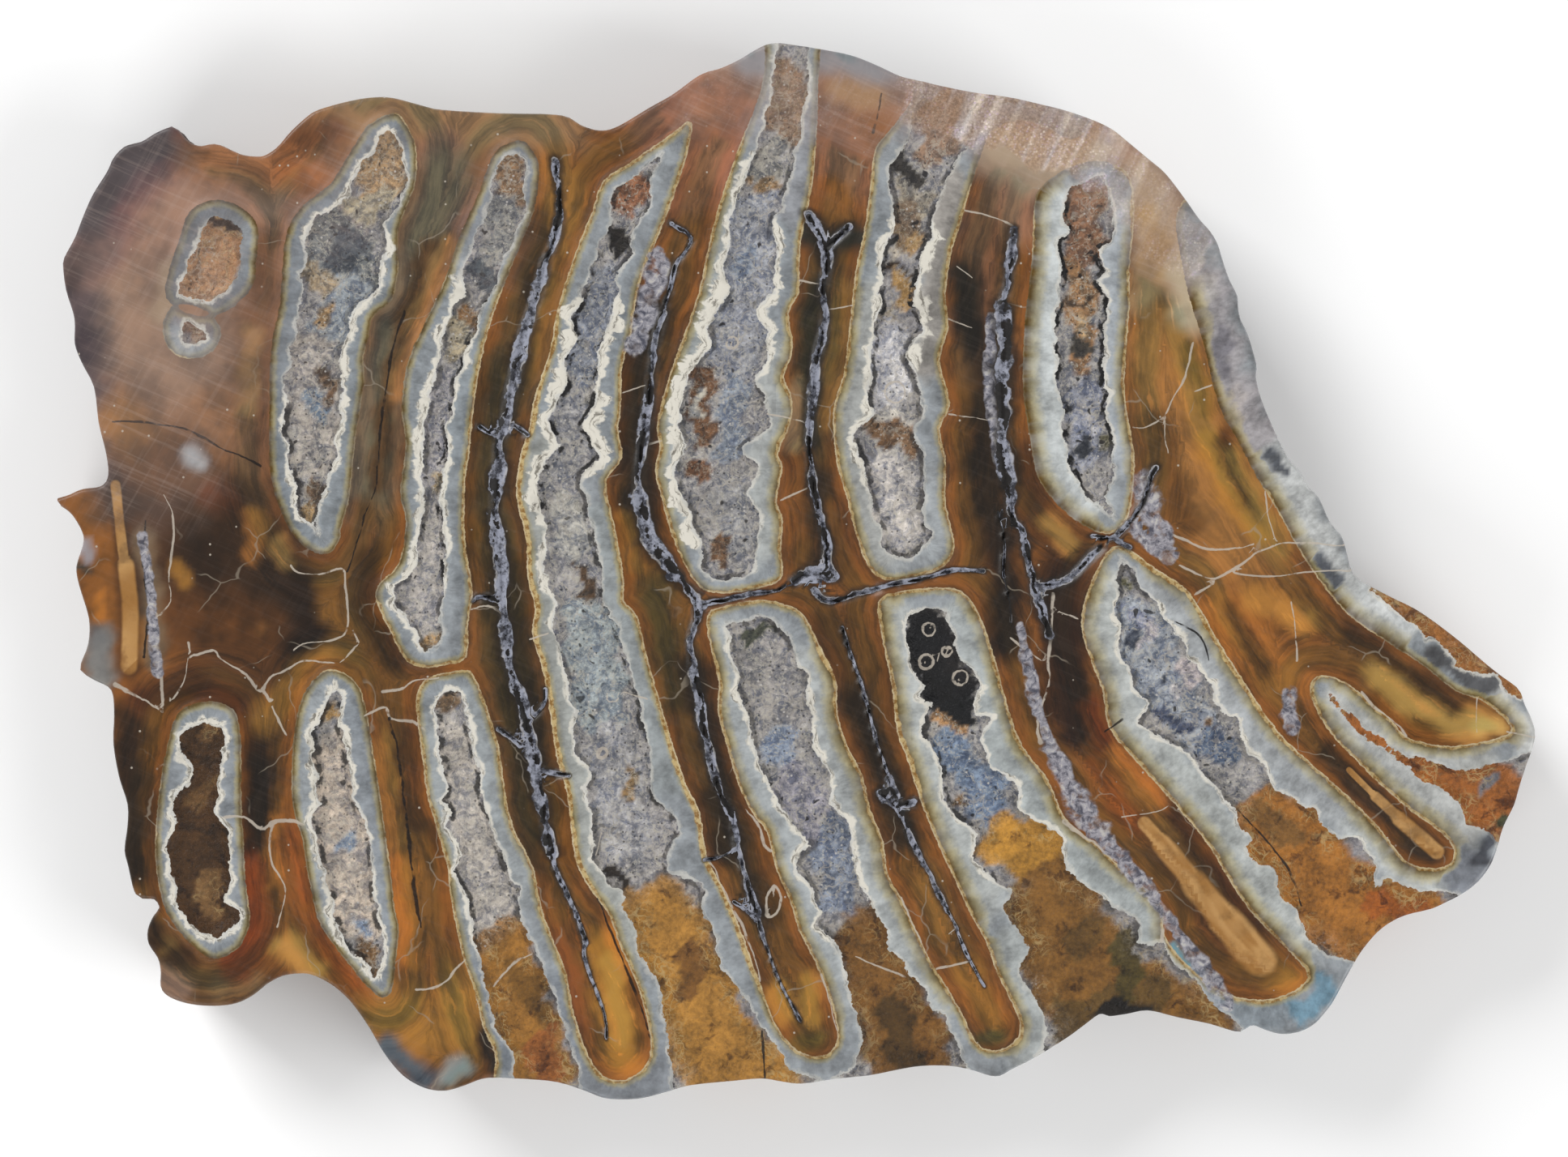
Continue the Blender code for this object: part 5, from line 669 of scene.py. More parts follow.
ENAMEL_GROUND = "929ca3"
ENAMEL_STROKES = [
    ("717b85", 3.5, -39, 25, -42, 19, -36.5, 19),
    ("85797a", 1.6, -40.4, 17),
    ("7c8892", 3.5, -27, 30, -31, 26, -34.6, 20, -35, 12, -34, 4),
    ("87939b", 2.4, -26, 26, -27.4, 20, -29.4, 12, -30.4, 4),
    ("7f8b96", 3.5, -19, 28.4, -21.6, 24, -18, 25),
    ("8a969e", 2, -19, 21, -21.8, 14, -22.4, 8),
    ("a3a79f", 2.2, -17, 8, -17.6, 0, -16.4, -8, -14.6, -18, -11.4, -25),
    ("97a1a3", 1.8, -12.6, 4, -12.2, -1, -10.4, -8, -8.6, -14),
    ("8f9aa2", 2.4, -10, 24, -11.8, 17, -12.4, 12),
    ("a3abaa", 2.2, -4.8, 24, -6.6, 16, -8.6, 9, -8, 3),
    ("a7adaa", 2, -1.2, 14, -1.9, 8, -1.8, 2),
    ("959aa2", 2.4, -2.2, 31, 1, 30, 0.2, 25),
    ("a8aba6", 2.4, 5, 18, 4, 12, 4, 6, 5.6, 1),
    ("9ea7ac", 1.8, 9.4, 6, 9.4, 1.4),
    ("8b888c", 2.6, 8.4, 31, 12.6, 30, 16, 30.6),
    ("a59d92", 1.8, 10.4, 26, 9.6, 20, 9.2, 14),
    ("c3cbca", 2.6, 17.2, 24, 16.6, 17, 16.8, 9, 19, 4),
    ("a4aeb6", 1.9, 22, 24, 21.8, 17, 21.9, 8),
    ("b7bdb8", 2.4, 21, -2, 21.6, -9, 25.4, -14, 30, -20, 33.6, -26),
    ("abb1b4", 2.2, 24, -1, 27.4, -5, 30.6, -10.6, 35.6, -14.8, 40, -19.4),
    ("c2c8c4", 2, 38.2, -17.2, 43, -20.9),
    ("b4bab6", 2.6, 6.8, -4, 8.2, -11, 9.4, -16, 12.6, -21.6),
    ("a9b3b2", 2.2, 12, -3, 13.4, -8, 14.8, -13, 18.6, -18.6, 24, -24),
    ("a8b0ae", 2.4, 14.4, -26, 16.2, -29, 15.6, -31.6),
    ("a6aeb0", 2.4, -4.6, -5, -3.8, -11, -1.6, -17, 0.6, -23, 3, -29),
    ("aeb5b4", 2.2, 1.6, -6, 3.2, -14, 5.4, -21, 9.4, -29),
    ("858e98", 2.2, -13.4, -34, -11.2, -35, -9.2, -33.4),
    ("7f8a96", 1.8, -19.6, -33, -21.2, -27, -16.2, -29, -14.8, -32),
    ("9aa3a6", 2.2, -24.6, -11, -23.6, -17, -22.2, -24),
    ("9aa4a8", 2, -21.2, -9, -20, -15, -18.2, -21),
    ("8f98a0", 2.2, -42, -12, -42.8, -19, -40.4, -25),
    ("8f98a0", 2, -38, -10, -37.8, -18, -37.4, -24),
    ("9ba4aa", 2, -33, -9, -33.2, -15, -32, -22, -29.4, -27),
    ("8f9aa4", 2, -29.8, -9, -29.2, -15, -27.8, -21, -27.4, -27),
    ("b0a8ac", 2.4, 27.4, 19, 28.6, 14, 30.8, 9),
    ("8d8894", 0.8, 28.6, 15.6, 29, 13.6),
    ("c2b4b0", 0.7, 29.4, 12.4, 30.2, 10.4),
    ("c6bcb4", 1, 27.3, 19.4, 27.7, 17),
    ("cfd3d0", 2, 32.6, 7, 34.6, 2.6, 37, -1.6, 40, -4),
    ("5b5c60", 1, 43.4, -5.9, 45.6, -7.2, 47.8, -8.6),
    ("d2d4ce", 1.4, 48, -9.4, 49.6, -11),
    ("adafa9", 2, 37, -8.6, 41, -11.6, 46, -12.2),
    ("b5b7b2", 2, 36.2, -10.6, 40.6, -13.8, 45, -17),
    ("7f8794", 1.6, 46, -19.6, 44.6, -21),
    ("4c525e", 0.8, 46.4, -19.4, 47.4, -17.8),
    ("5c6470", 0.8, 32.5, 7.6, 32.7, 6.9),
    ("5c6470", 0.8, 35.6, 0.5, 36.2, -1),
    ("5aa2c2", 0.9, 35.4, -28, 36.2, -28.6, 33.8, -29.6),
    ("8fa0ac", 1.6, 29, -29.4, 32, -30),
]

# How much of a cream rind the enamel has beside the dentine
CREAM_GROUND = 0.75
CREAM_STROKES = [
    ((0,), 9, -40, 22, -33, 26, -33, 5),
    ((0,), 4, -19, 27, -21, 22),
    ((0.1,), 4, -40, -10, -40, -25),
    ((0.25,), 4, -32, -10, -29, -28),
    ((0.35,), 3, -26, 18, -28, 10, -30, 3),
    ((0.2,), 4, -2, 33, 9, 31, 18, 27),
    ((0.15,), 2.4, 16.4, 20, 16.6, 10, 18.4, 3),
    ((0,), 4, 26, 21, 31, 9),
    ((0.4,), 3, 35, 4, 44, -7),
    ((1,), 2.2, -17.6, 16, -18.6, 8, -17.6, -4, -14, -20),
    ((1,), 2.2, -9, -12, -6, -18, -2, -26),
    ((1,), 2, 3, -5, 7.4, -14),
    ((1,), 2, 24.4, 0.6, 29.6, -5.6, 33.6, -10.6),
]

CEMENT_GROUND = "918d90"
CEMENT_STROKES = [
    ("a9774a", 3, -39.5, 22, -39.6, 19),
    ("3a2b22", 0.5, -39.3, 23.6, -37.4, 22.9),
    ("84604a", 1.4, -40.4, 16),
    ("a98048", 2.4, -27.2, 28.5, -28, 26.6),
    ("a89878", 1.4, -28.2, 25, -29.6, 24.2),
    ("9a8b88", 1.4, -31.2, 23.8, -30, 23),
    ("6b6f73", 3, -31, 22, -30, 19.5),
    ("3f4854", 1.6, -30.1, 22, -30.6, 19.6),
    ("9a8260", 1.1, -32.3, 20.4, -31.6, 19),
    ("7d8794", 1.8, -30, 18.6, -31.6, 16),
    ("a27838", 0.8, -31.5, 17.3),
    ("a09690", 2.2, -32.5, 14.5, -32.2, 8),
    ("5d738c", 0.8, -33, 12, -31.6, 11),
    ("6a4a2a", 0.6, -31.8, 13.4, -31.4, 11.6),
    ("6e5030", 0.9, -32.6, 5.8, -32.5, 4.8),
    ("a27c3c", 0.7, -32.6, 4),
    ("8c6438", 1.6, -19.2, 27, -19.2, 25.8),
    ("77797c", 1.6, -19.5, 24, -20, 22),
    ("3f4a56", 1.2, -21, 20.4, -20.8, 19.6),
    ("7c5526", 1, -22.2, 17.6, -21.6, 17.2),
    ("a39272", 1, -22.6, 16, -23, 14.6),
    ("9a959c", 2, -24, 12, -24.2, 7),
    ("a08044", 0.7, -24.3, 6),
    ("a69e9c", 2.2, -24.4, 4, -25.2, -3),
    ("a87c34", 0.8, -24.7, -4.8),
    ("9a5a28", 1.4, -10.4, 26, -11.6, 25),
    ("14120f", 0.9, -12.2, 22.4, -11.8, 21.6),
    ("7f8596", 1.8, -12.8, 19.5, -14, 14),
    ("2c2a26", 0.6, -15, 11.9, -13.9, 11.6),
    ("8f8d92", 1.8, -15.3, 11, -15.5, 7),
    ("a4a19d", 1.6, -15.2, 4, -15, 1.8),
    ("54391c", 0.7, -14.3, 0.3, -14.1, -1.6, -14.7, -3.2),
    ("8f9ba3", 2.4, -13.8, -3.6, -13.2, -9),
    ("9a99a0", 2.2, -12.4, -12, -11.4, -18),
    ("9c7434", 0.6, -11.1, -14, -11, -15),
    ("1f1812", 0.6, -12.8, -20.4, -11, -21.2),
    ("ae7c36", 4.4, -9, -24, -7.6, -28, -6, -32, -3, -34.5),
    ("7a5224", 1.2, -6.6, -25.6, -7.4, -28.4),
    ("8d6a4c", 1.8, -0.4, 33, -0.6, 30),
    ("84807c", 1.4, -1.6, 28, -1.8, 27),
    ("98703a", 1.2, -2.2, 26),
    ("8f92a0", 2.4, -2.8, 24, -3.4, 19, -4, 15),
    ("74829a", 1, -3, 21.5, -3.4, 20.4),
    ("7c889c", 1.2, -4, 12.4, -4.4, 8),
    ("8e8d92", 1.8, -4.5, 5, -4.2, 2.4),
    ("74481e", 1.1, -6.4, 13.4, -6.2, 9.4),
    ("b9b2a6", 0.5, -6.6, 12, -6.4, 10.8),
    ("7d4a1a", 1.1, -6.4, 7),
    ("6a4520", 0.7, -5.1, 1.7, -4.6, 0.1),
    ("8d6a50", 1.8, 10, 31, 9.6, 28.8),
    ("33302e", 0.9, 7.2, 27.4, 8, 26.8),
    ("928470", 1.2, 7.6, 25.4, 8.6, 24.6),
    ("7c6248", 1.2, 7.8, 24.4, 7.4, 22),
    ("a8804a", 0.8, 8, 22.4, 7.9, 21.7),
    ("a67c3a", 0.95, 7.3, 19.3, 7.4, 18.3),
    ("3c2a18", 0.28, 6.5, 20.3, 7.4, 20.4, 8.3, 20.2),
    ("c0b4a4", 0.4, 6.5, 21.4, 6.9, 20.7),
    ("bdbac0", 1.8, 6.2, 15.4, 6.4, 12),
    ("7c5630", 1, 5.3, 9.9, 6.2, 9.4, 8.2, 8.8),
    ("b6aea8", 0.5, 6.2, 10.6, 7.4, 10.2),
    ("6a4724", 0.5, 5.4, 8.6, 6.4, 8.2),
    ("b8b0ae", 1.8, 6.6, 6.6, 6.9, 3),
    ("8c5c38", 1.8, 19.4, 26, 19.6, 22),
    ("9c6c34", 1.4, 19.2, 20, 19.4, 16.6),
    ("4a3420", 0.3, 18.4, 18.4, 19.6, 18.2),
    ("b89058", 0.5, 19.6, 17.2, 19.2, 16.6),
    ("3c352e", 1, 19.2, 15.3),
    ("a06c30", 0.9, 19.6, 14.1),
    ("868a9e", 1.6, 19.4, 12, 19.8, 8),
    ("30343e", 0.5, 19.3, 9.2, 19.5, 8.2),
    ("a8a6b0", 0.5, 20.2, 10.6, 20, 9.8),
    ("2e3038", 0.4, 18.6, 11.4, 18.8, 10.6),
    ("5c5636", 0.8, 20.8, 8.4),
    ("5e5a32", 0.7, 22.3, -1),
    ("8c94a4", 2.4, 23.5, -3.5, 24.6, -7, 26.6, -10),
    ("9fa2bc", 0.7, 23, -2.7, 23.3, -3.3),
    ("c4b8be", 0.6, 24, -3.8, 23.7, -4.5),
    ("3e4658", 0.5, 22.8, -4, 22.9, -4.9),
    ("b6a8ac", 0.7, 26.7, -6.1, 26.4, -7.2),
    ("2c303c", 0.35, 24.8, -7.5),
    ("b8b0b4", 0.5, 25.6, -8.2),
    ("3c4764", 0.7, 24.7, -9.9, 26.2, -10.2),
    ("c8c0bc", 0.4, 24, -8.8),
    ("31415f", 0.6, 28.3, -12.3, 28.9, -12.9),
    ("6a4a26", 0.6, 27.7, -10.5),
    ("4d5f7c", 1, 28, -11.5, 29.6, -12.6),
    ("a66c2b", 4.6, 32.6, -18, 36, -22, 42, -25),
    ("80592a", 1.2, 31.4, -16.4, 33.4, -18),
    ("a0581e", 1.2, 39.4, -22.6, 42.4, -23),
    ("0b0c11", 2.3, 8.8, -4, 9.8, -6.6, 10.8, -8.6),
    ("b07a36", 0.8, 9.8, -10.3, 10.8, -10.5),
    ("6a80a0", 1.8, 10.6, -12, 12.2, -14, 13.4, -16),
    ("7a5424", 0.8, 11.3, -15.2),
    ("c08a36", 2.8, 14.6, -18.4, 16.6, -18.6),
    ("835a26", 4.6, 17.4, -23, 19.4, -28, 26, -31),
    ("644a22", 2, 18.6, -30.6, 24, -29),
    ("6a4c22", 1.2, 20, -23.6, 19.2, -25.2),
    ("54461f", 1.2, 22.4, -25, 22.4, -28),
    ("1a1511", 0.7, 20.8, -29.9, 22.5, -29.4, 23.9, -29.6),
    ("3a3f30", 0.9, -3.2, -4.1, -2.2, -4.2),
    ("8c8788", 2.2, -2.2, -6, -1.4, -9.4),
    ("7585a0", 1.4, -1, -11.4, -0.6, -13),
    ("8f8b9a", 2, 0, -14.6, 1.6, -17),
    ("76829a", 1.8, 2.6, -18, 3, -22),
    ("7c5424", 3.8, 5.6, -25, 6.2, -29, 8, -33.5),
    ("4f3819", 1.6, 6.6, -30, 7.6, -33),
    ("4c3218", 3.6, -39.6, -12, -40, -18, -39.4, -23),
    ("7e5a34", 0.9, -39.8, -10.5),
    ("694a28", 0.9, -39.4, -14, -40.2, -15.2),
    ("352210", 0.35, -41.6, -12.3, -39.6, -12.7, -38, -12.2),
    ("352210", 0.35, -41.6, -17.6, -39.6, -17.2, -38, -17.8),
    ("7c5a34", 1, -39.8, -20.5, -39.2, -22.6),
    ("a0762e", 1, -31.3, -9.6),
    ("bba898", 2.6, -31.2, -13, -30.4, -19, -29.8, -23),
    ("7c8ea8", 0.9, -30, -18.5),
    ("7c8ea8", 0.8, -29.5, -24),
    ("7a5424", 1, -28.6, -25.4, -28.6, -26.6),
    ("7a5c3c", 1, -23.3, -9),
    ("b3a9a2", 2.4, -22.6, -12, -21.6, -17, -20.4, -22.6),
    ("9a6a2c", 3.2, -19.8, -25.8, -18.8, -29, -17.2, -34),
    ("74501f", 1.2, -18.8, -27.4, -17.2, -29),
    ("9a5c2a", 1.4, -17, -31.4, -16.8, -34),
    ("a4622a", 3.4, 38, -10.4, 43, -13.6, 48, -16),
    ("77757a", 0.9, 46.7, -14.6),
    ("4a4a30", 0.9, 47.7, -17),
    ("9c6226", 2.4, 40, -1.4, 44, -4.2, 48, -7.4),
]

# How the tissues have kept, brushed on in the same way, as four shares: the white crust's width in
# millimetres, golden and crazed cement, the dark gap inside the crust, and a milky veil over the polish,
# which is partly fine scratches and partly painted glare and sheen of light
HABIT_GROUND = (0.16, 0.0, 0.45, 0.10)
HABIT_STROKES = [
    ((0.05, 0.9, 0.3, 0.5), 5, -40, 23, -40, 18),
    ((0.3, 0, 0.25, 0.6), 4, -29, 28, -31, 24),
    ((0.16, 0, 0.1, 0.3), 3, -33.6, 20, -34.2, 12),
    ((0.45, 0, 0.35, 0.1), 1.8, -27.6, 22, -30.4, 12, -31, 6),
    ((0.34, 0, 0.5, 0.1), 2, -34.6, 10, -34, 4),
    ((0.6, 0, 0.42, 0), 2.6, -23.6, 18, -25.4, 10, -25.6, 2, -26.6, -3),
    ((0.3, 0, 0.6, 0), 1.6, -21.6, 15, -22.8, 8, -22.9, 0),
    ((0.16, 0, 0.2, 0.4), 3, -19.4, 27, -20.6, 21),
    ((0.85, 0, 0.9, 0), 2, -14.6, 17, -16.2, 10, -17.4, 5),
    ((0.75, 0, 0.9, 0), 1.7, -11.8, 17, -12.8, 11, -12.9, 7.6),
    ((0.55, 0, 0.2, 0), 1.6, -17.2, 1, -16.4, -3),
    ((0.16, 0, 0.5, 0), 1.6, -12.8, 4, -12.4, -2, -10.6, -9, -9, -15),
    ((0.24, 0, 0.4, 0), 1.8, -15.6, -7, -14.6, -14, -13.6, -19),
    ((0.85, 0, 0.4, 0), 1.8, -5.2, 20, -6.8, 14, -8, 9, -7.4, 3),
    ((0.5, 0, 0.3, 0), 1.8, -3.2, 27, -4.4, 22),
    ((0.55, 0, 0.2, 0), 1.4, -1.2, 22, -1.9, 14),
    ((0.2, 0, 0.2, 0), 1.4, -2.6, 6, -2.4, 1),
    ((0.45, 0.2, 0.5, 0), 2.4, 5.6, 22, 5, 14, 4.2, 8),
    ((0.7, 0.3, 0.5, 0), 1.4, 9.8, 22, 9.6, 17, 9, 15),
    ((0.5, 0.45, 0.7, 0), 1.3, 7.5, 22.4, 7.2, 17),
    ((0.3, 0.9, 0.6, 0.2), 1.5, 19.3, 24, 19.3, 16),
    ((0.18, 0, 0.6, 0), 3, 18.2, 24, 17.6, 14, 18.2, 8),
    ((0.25, 0, 0.6, 0), 2, 20.9, 20, 21.2, 10),
    ((0.3, 0, 0.4, 0), 2.4, -3.8, -6, -2, -13, 0.6, -20, 3, -26),
    ((0.36, 0, 0.3, 0), 2, 0.6, -8, 2.8, -16, 5.6, -24),
    ((0.25, 0, 0.5, 0), 2.6, 8, -4, 9.4, -12, 12.6, -20),
    ((0.3, 0, 0.3, 0), 2.6, 12.4, -9, 15, -15, 20, -21),
    ((0.28, 0, 0.4, 0), 3, 22.4, -4, 27, -13, 33, -22),
    ((0.3, 0, 0.3, 0), 3, 25.6, -4, 31, -13, 38, -20),
    ((0, 0.9, 0, 0.5), 2.2, -40.4, 16),
    ((0.15, 1, 0.3, 0), 4.6, -9, -24.4, -6, -30, -3, -35),
    ((0.15, 1, 0.3, 0), 4, 5.6, -25.4, 8, -33),
    ((0.25, 1, 0.3, 0), 3.2, 15, -18.4, 16.6, -19),
    ((0.12, 1, 0.3, 0), 5, 17.6, -23.6, 20, -28, 26, -31),
    ((0.15, 1, 0.3, 0), 5, 33, -18, 37, -22, 43, -25),
    ((0.15, 1, 0.3, 0), 3.4, -19.6, -26, -17.2, -34),
    ((0.35, 1, 0.15, 0), 4, -40, -11, -40, -24),
    ((0.45, 0.1, 0.5, 0), 3, -32, -9, -31.6, -17, -29.6, -26),
    ((0.3, 0.1, 0.5, 0), 3, -23.4, -9, -22.6, -16, -21.4, -23),
    ((0.12, 1, 0.15, 0), 3.6, 38, -10.6, 43, -13.6, 48, -16),
    ((0.2, 0.8, 0.15, 0), 3, 40, -1.4, 44, -4.2, 48, -7.4),
    # The fourth share is high along the top and on the left, where glare and sheen on the polish are painted
    ((0.12, 0.5, 0.2, 1), 4, 9, 32, 16, 30, 21, 28),
    ((0.2, 0.3, 0.2, 0.86), 3.6, -6, 32, 0, 32, 5, 31),
    ((0.2, 0.3, 0.2, 0.9), 4, 22, 27, 26, 22),
    ((0.2, 0.3, 0.2, 0.8), 7, -46, 26, -42, 16, -44, 8),
]


def smoothstep(value, low, high):
    """0 below low and 1 above high, with a smooth turn between: 3t² - 2t³ of the clipped share t."""
    share = np.clip((value - low) / (high - low), 0.0, 1.0)
    return share * share * (3.0 - 2.0 * share)


def points(numbers):
    """Numbers that hold x and y in turn, as rows of two."""
    return np.reshape(np.asarray(numbers, dtype=float), (-1, 2))


def through(numbers, closed=True, parts=3):
    """A Catmull-Rom curve through points, each stretch cut into equal parts: cubic weights times 4 points."""
    path = points(numbers)
    if closed:
        before, after, later = (np.roll(path, turn, axis=0) for turn in (1, -1, -2))
    else:
        padded = np.concatenate((path[:1], path, path[-1:]))
        before, path, after, later = padded[:-3], padded[1:-2], padded[2:-1], padded[3:]
    t = (np.arange(parts) / parts)[None, :, None]
    first, second, third, fourth = (side[:, None, :] for side in (before, path, after, later))
    curve = 0.5 * (2 * second + (third - first) * t + (2 * first - 5 * second + 4 * third - fourth) * t ** 2
                   + (3 * second - first - 3 * third + fourth) * t ** 3)
    curve = curve.reshape(-1, 2)
    return curve if closed else np.concatenate((curve, after[-1:]))


def closed_path(outline):
    """An outline with its first point repeated at its end."""
    return np.concatenate((outline, outline[:1]))


class Grid:
    """The square grid over the slice. Rows run along +Y and columns along +X."""

    def __init__(self, outline):
        reach = 3 * CELL
        self.across = np.arange(outline[:, 0].min() - reach, outline[:, 0].max() + reach, CELL)
        self.up = np.arange(outline[:, 1].min() - reach, outline[:, 1].max() + reach, CELL)
        self.x, self.y = np.meshgrid(self.across, self.up)

    def inside(self, outlines):
        """True where a row's walk from the left has crossed the outlines an odd number of times."""
        crossings = np.zeros((len(self.up), len(self.across) + 1), dtype=int)
        for start in outlines:
            end = np.roll(start, -1, axis=0)
            up = self.up[:, None]
            row, side = np.nonzero((start[None, :, 1] <= up) != (end[None, :, 1] <= up))
            share = (self.up[row] - start[side, 1]) / (end[side, 1] - start[side, 1])
            where = start[side, 0] + share * (end[side, 0] - start[side, 0])
            column = np.ceil((where - self.across[0]) / CELL).astype(int)
            np.add.at(crossings, (row, np.clip(column, 0, len(self.across))), 1)
        return np.cumsum(crossings, axis=1)[:, :-1] % 2 == 1

    def nearest(self, lines, reach, x=None, y=None):
        """From each node to the nearest of some lines: distance to its side, offset to its middle, half width.

        lines holds (half width, path) pairs. A stretch of a path is looked at only by the nodes within reach
        of it, and a node farther than reach from every line keeps that distance.
        """
        x = self.x if x is None else x
        y = self.y if y is None else y
        distance = np.full(x.shape, float(reach))
        offset = np.zeros(x.shape + (2,))
        offset[..., 0] = reach
        width = np.ones(x.shape)
        for half_width, path in lines:
            for start, end in zip(path[:-1], path[1:]):
                low = np.minimum(start, end) - reach - CELL
                high = np.maximum(start, end) + reach + CELL
                rows = slice(*np.clip(np.searchsorted(self.up, (low[1], high[1])), 0, len(self.up)))
                columns = slice(*np.clip(np.searchsorted(self.across, (low[0], high[0])), 0, len(self.across)))
                from_x, from_y = x[rows, columns] - start[0], y[rows, columns] - start[1]
                step = end - start
                along = np.clip((from_x * step[0] + from_y * step[1]) / (step @ step + 1e-12), 0.0, 1.0)
                to_x, to_y = along * step[0] - from_x, along * step[1] - from_y
                found = np.hypot(to_x, to_y) - half_width
                closer = found < distance[rows, columns]
                distance[rows, columns][closer] = found[closer]
                offset[rows, columns, 0][closer] = to_x[closer]
                offset[rows, columns, 1][closer] = to_y[closer]
                width[rows, columns][closer] = half_width
        return distance, offset, width


def tissue_edge(grid, outlines, reach):
    """Offset to the nearest point of some closed outlines, then the distance to it, negative inside them."""
    distance, offset, _ = grid.nearest([(0.0, closed_path(outline)) for outline in outlines], reach)
    signed = np.where(grid.inside(outlines), -distance, distance)
    return np.dstack((offset, signed))


def thin_lines(grid, lines):
    """Offset to the nearest line in half widths of it, then a floor for its length.

    Between two lines the offset turns round and passes through nothing. The floor, the distance less most of
    a grid cell, keeps a line that isn't there from showing at that place.
    """
    smooth = [(half_width, through(numbers, closed=False)) for half_width, *numbers in lines]
    distance, offset, width = grid.nearest(smooth, LINE_REACH)
    floor = np.clip((distance + width - 0.75 * CELL) / width, 0.0, None)
    return np.dstack((offset / width[..., None], floor))


def linear(colour):
    """A colour written as six hex digits, as linear red, green and blue."""
    coded = np.array([int(colour[place:place + 2], 16) for place in (0, 2, 4)]) / 255.0
    return np.where(coded <= 0.04045, coded / 12.92, ((coded + 0.055) / 1.055) ** 2.4)


def brushed(grid, ground, strokes, solid=0.45, wander=1.0):
    """Values laid over the grid stroke by stroke, each whole along its path and fading out about its radius.

    The grid is first shifted by slow sines of x and y times wander, which gives the strokes wandering edges.
    A stroke of one point is a dab.
    """
    x, y = grid.x, grid.y
    shift_x = 0.35 * np.sin(1.9 * y + 0.8 * np.sin(1.3 * x)) + 0.16 * np.sin(4.7 * y - 2.9 * x)
    shift_y = 0.35 * np.sin(1.7 * x + 0.9 * np.sin(1.1 * y)) + 0.16 * np.sin(4.3 * x + 3.1 * y)
    values = np.empty(x.shape + (len(ground),))
    values[:] = ground
    for laid, radius, *numbers in strokes:
        path = points(numbers)
        path = path if len(path) > 1 else np.repeat(path, 2, axis=0)
        reach = 1.6 * radius + 0.6
        distance, _, _ = grid.nearest([(0.0, path)], reach, x + wander * shift_x, y + wander * shift_y)
        cover = 1.0 - smoothstep(distance, solid * radius, (1.5 - solid) * radius)
        values += (np.asarray(laid) - values) * cover[..., None]
    return values


def place_nodes(grid, rim):
    """Which nodes carry the polished face, how far beyond its edge each one lies, and its way out to the rim.

    The face's edge is the widest outline drawn in by EDGE_INSET, and a node inside it lies less than 0 beyond.
    A node less than SNAP beyond is kept, and a node within SNAP of the edge is moved onto it.
    """
    distance, offset, _ = grid.nearest([(0.0, closed_path(rim))], 3.0)
    length = np.hypot(offset[..., 0], offset[..., 1])[..., None]
    outward = offset / np.maximum(length, 1e-9)
    inside = grid.inside([rim])
    beyond = np.where(inside, EDGE_INSET - distance, EDGE_INSET + distance)
    kept = beyond < SNAP
    moved = kept & (np.abs(beyond) < SNAP)
    shift = np.where(moved, -beyond, 0.0)[..., None] * outward
    grid.x = grid.x + shift[..., 0]
    grid.y = grid.y + shift[..., 1]
    return kept, beyond, outward


def face_cells(grid, kept):
    """The grid's cells as loops of 4 nodes, and as 3 where one corner isn't kept. Slivers are left out."""
    rows, columns = kept.shape
    number = np.arange(rows * columns).reshape(rows, columns)
    corners = np.stack((number[:-1, :-1], number[:-1, 1:], number[1:, 1:], number[1:, :-1]), axis=-1)
    corners = corners.reshape(-1, 4)
    has = kept.ravel()[corners]
    quads = corners[has.all(axis=1)]
    triples = []
    for missing in range(4):
        rest = [(missing + turn) % 4 for turn in (1, 2, 3)]
        chosen = (has.sum(axis=1) == 3) & ~has[:, missing]
        triples.append(corners[chosen][:, rest])
    triples = np.concatenate(triples)
    flat = np.column_stack((grid.x.ravel(), grid.y.ravel()))
    first, second = flat[triples[:, 1]] - flat[triples[:, 0]], flat[triples[:, 2]] - flat[triples[:, 0]]
    area = 0.5 * (first[:, 0] * second[:, 1] - first[:, 1] * second[:, 0])
    return quads, triples[area > 0.01 * CELL ** 2]


def open_edges(loops):
    """The directed edges of some faces that no face runs the other way along."""
    start = np.concatenate([loop.ravel() for loop in loops])
    end = np.concatenate([np.roll(loop, -1, axis=1).ravel() for loop in loops])
    most = int(max(start.max(), end.max())) + 1
    there, back = start * most + end, end * most + start
    edge = ~np.isin(there, back)
    return np.column_stack((start[edge], end[edge]))


def surface_height(fields, beyond):
    """How high the polished face stands at each node.

    The thickness, less the enamel's rise where there is dentine, less the rise and the cement's depth where
    there is cement, less a crack's depth by how near its middle the node is. It is shallower beside the rim.
    """
    enamel, cement, crack = fields["enamel_edge"], fields["cement_edge"], fields["crack"]
    lowered = ENAMEL_RISE * smoothstep(enamel[..., 2], *ENAMEL_SLOPE)
    lowered += CEMENT_DEPTH * smoothstep(-cement[..., 2], *CEMENT_SLOPE)
    across = np.maximum(np.hypot(crack[..., 0], crack[..., 1]), crack[..., 2])
    lowered += CRACK_DEPTH * (1.0 - smoothstep(across, *CRACK_SLOPE)) * smoothstep(cement[..., 2], *CRACK_END)
    shallow = EDGE_RELIEF + (1.0 - EDGE_RELIEF) * smoothstep(-beyond, 0.0, EDGE_CALM)
    return THICKNESS - lowered * shallow


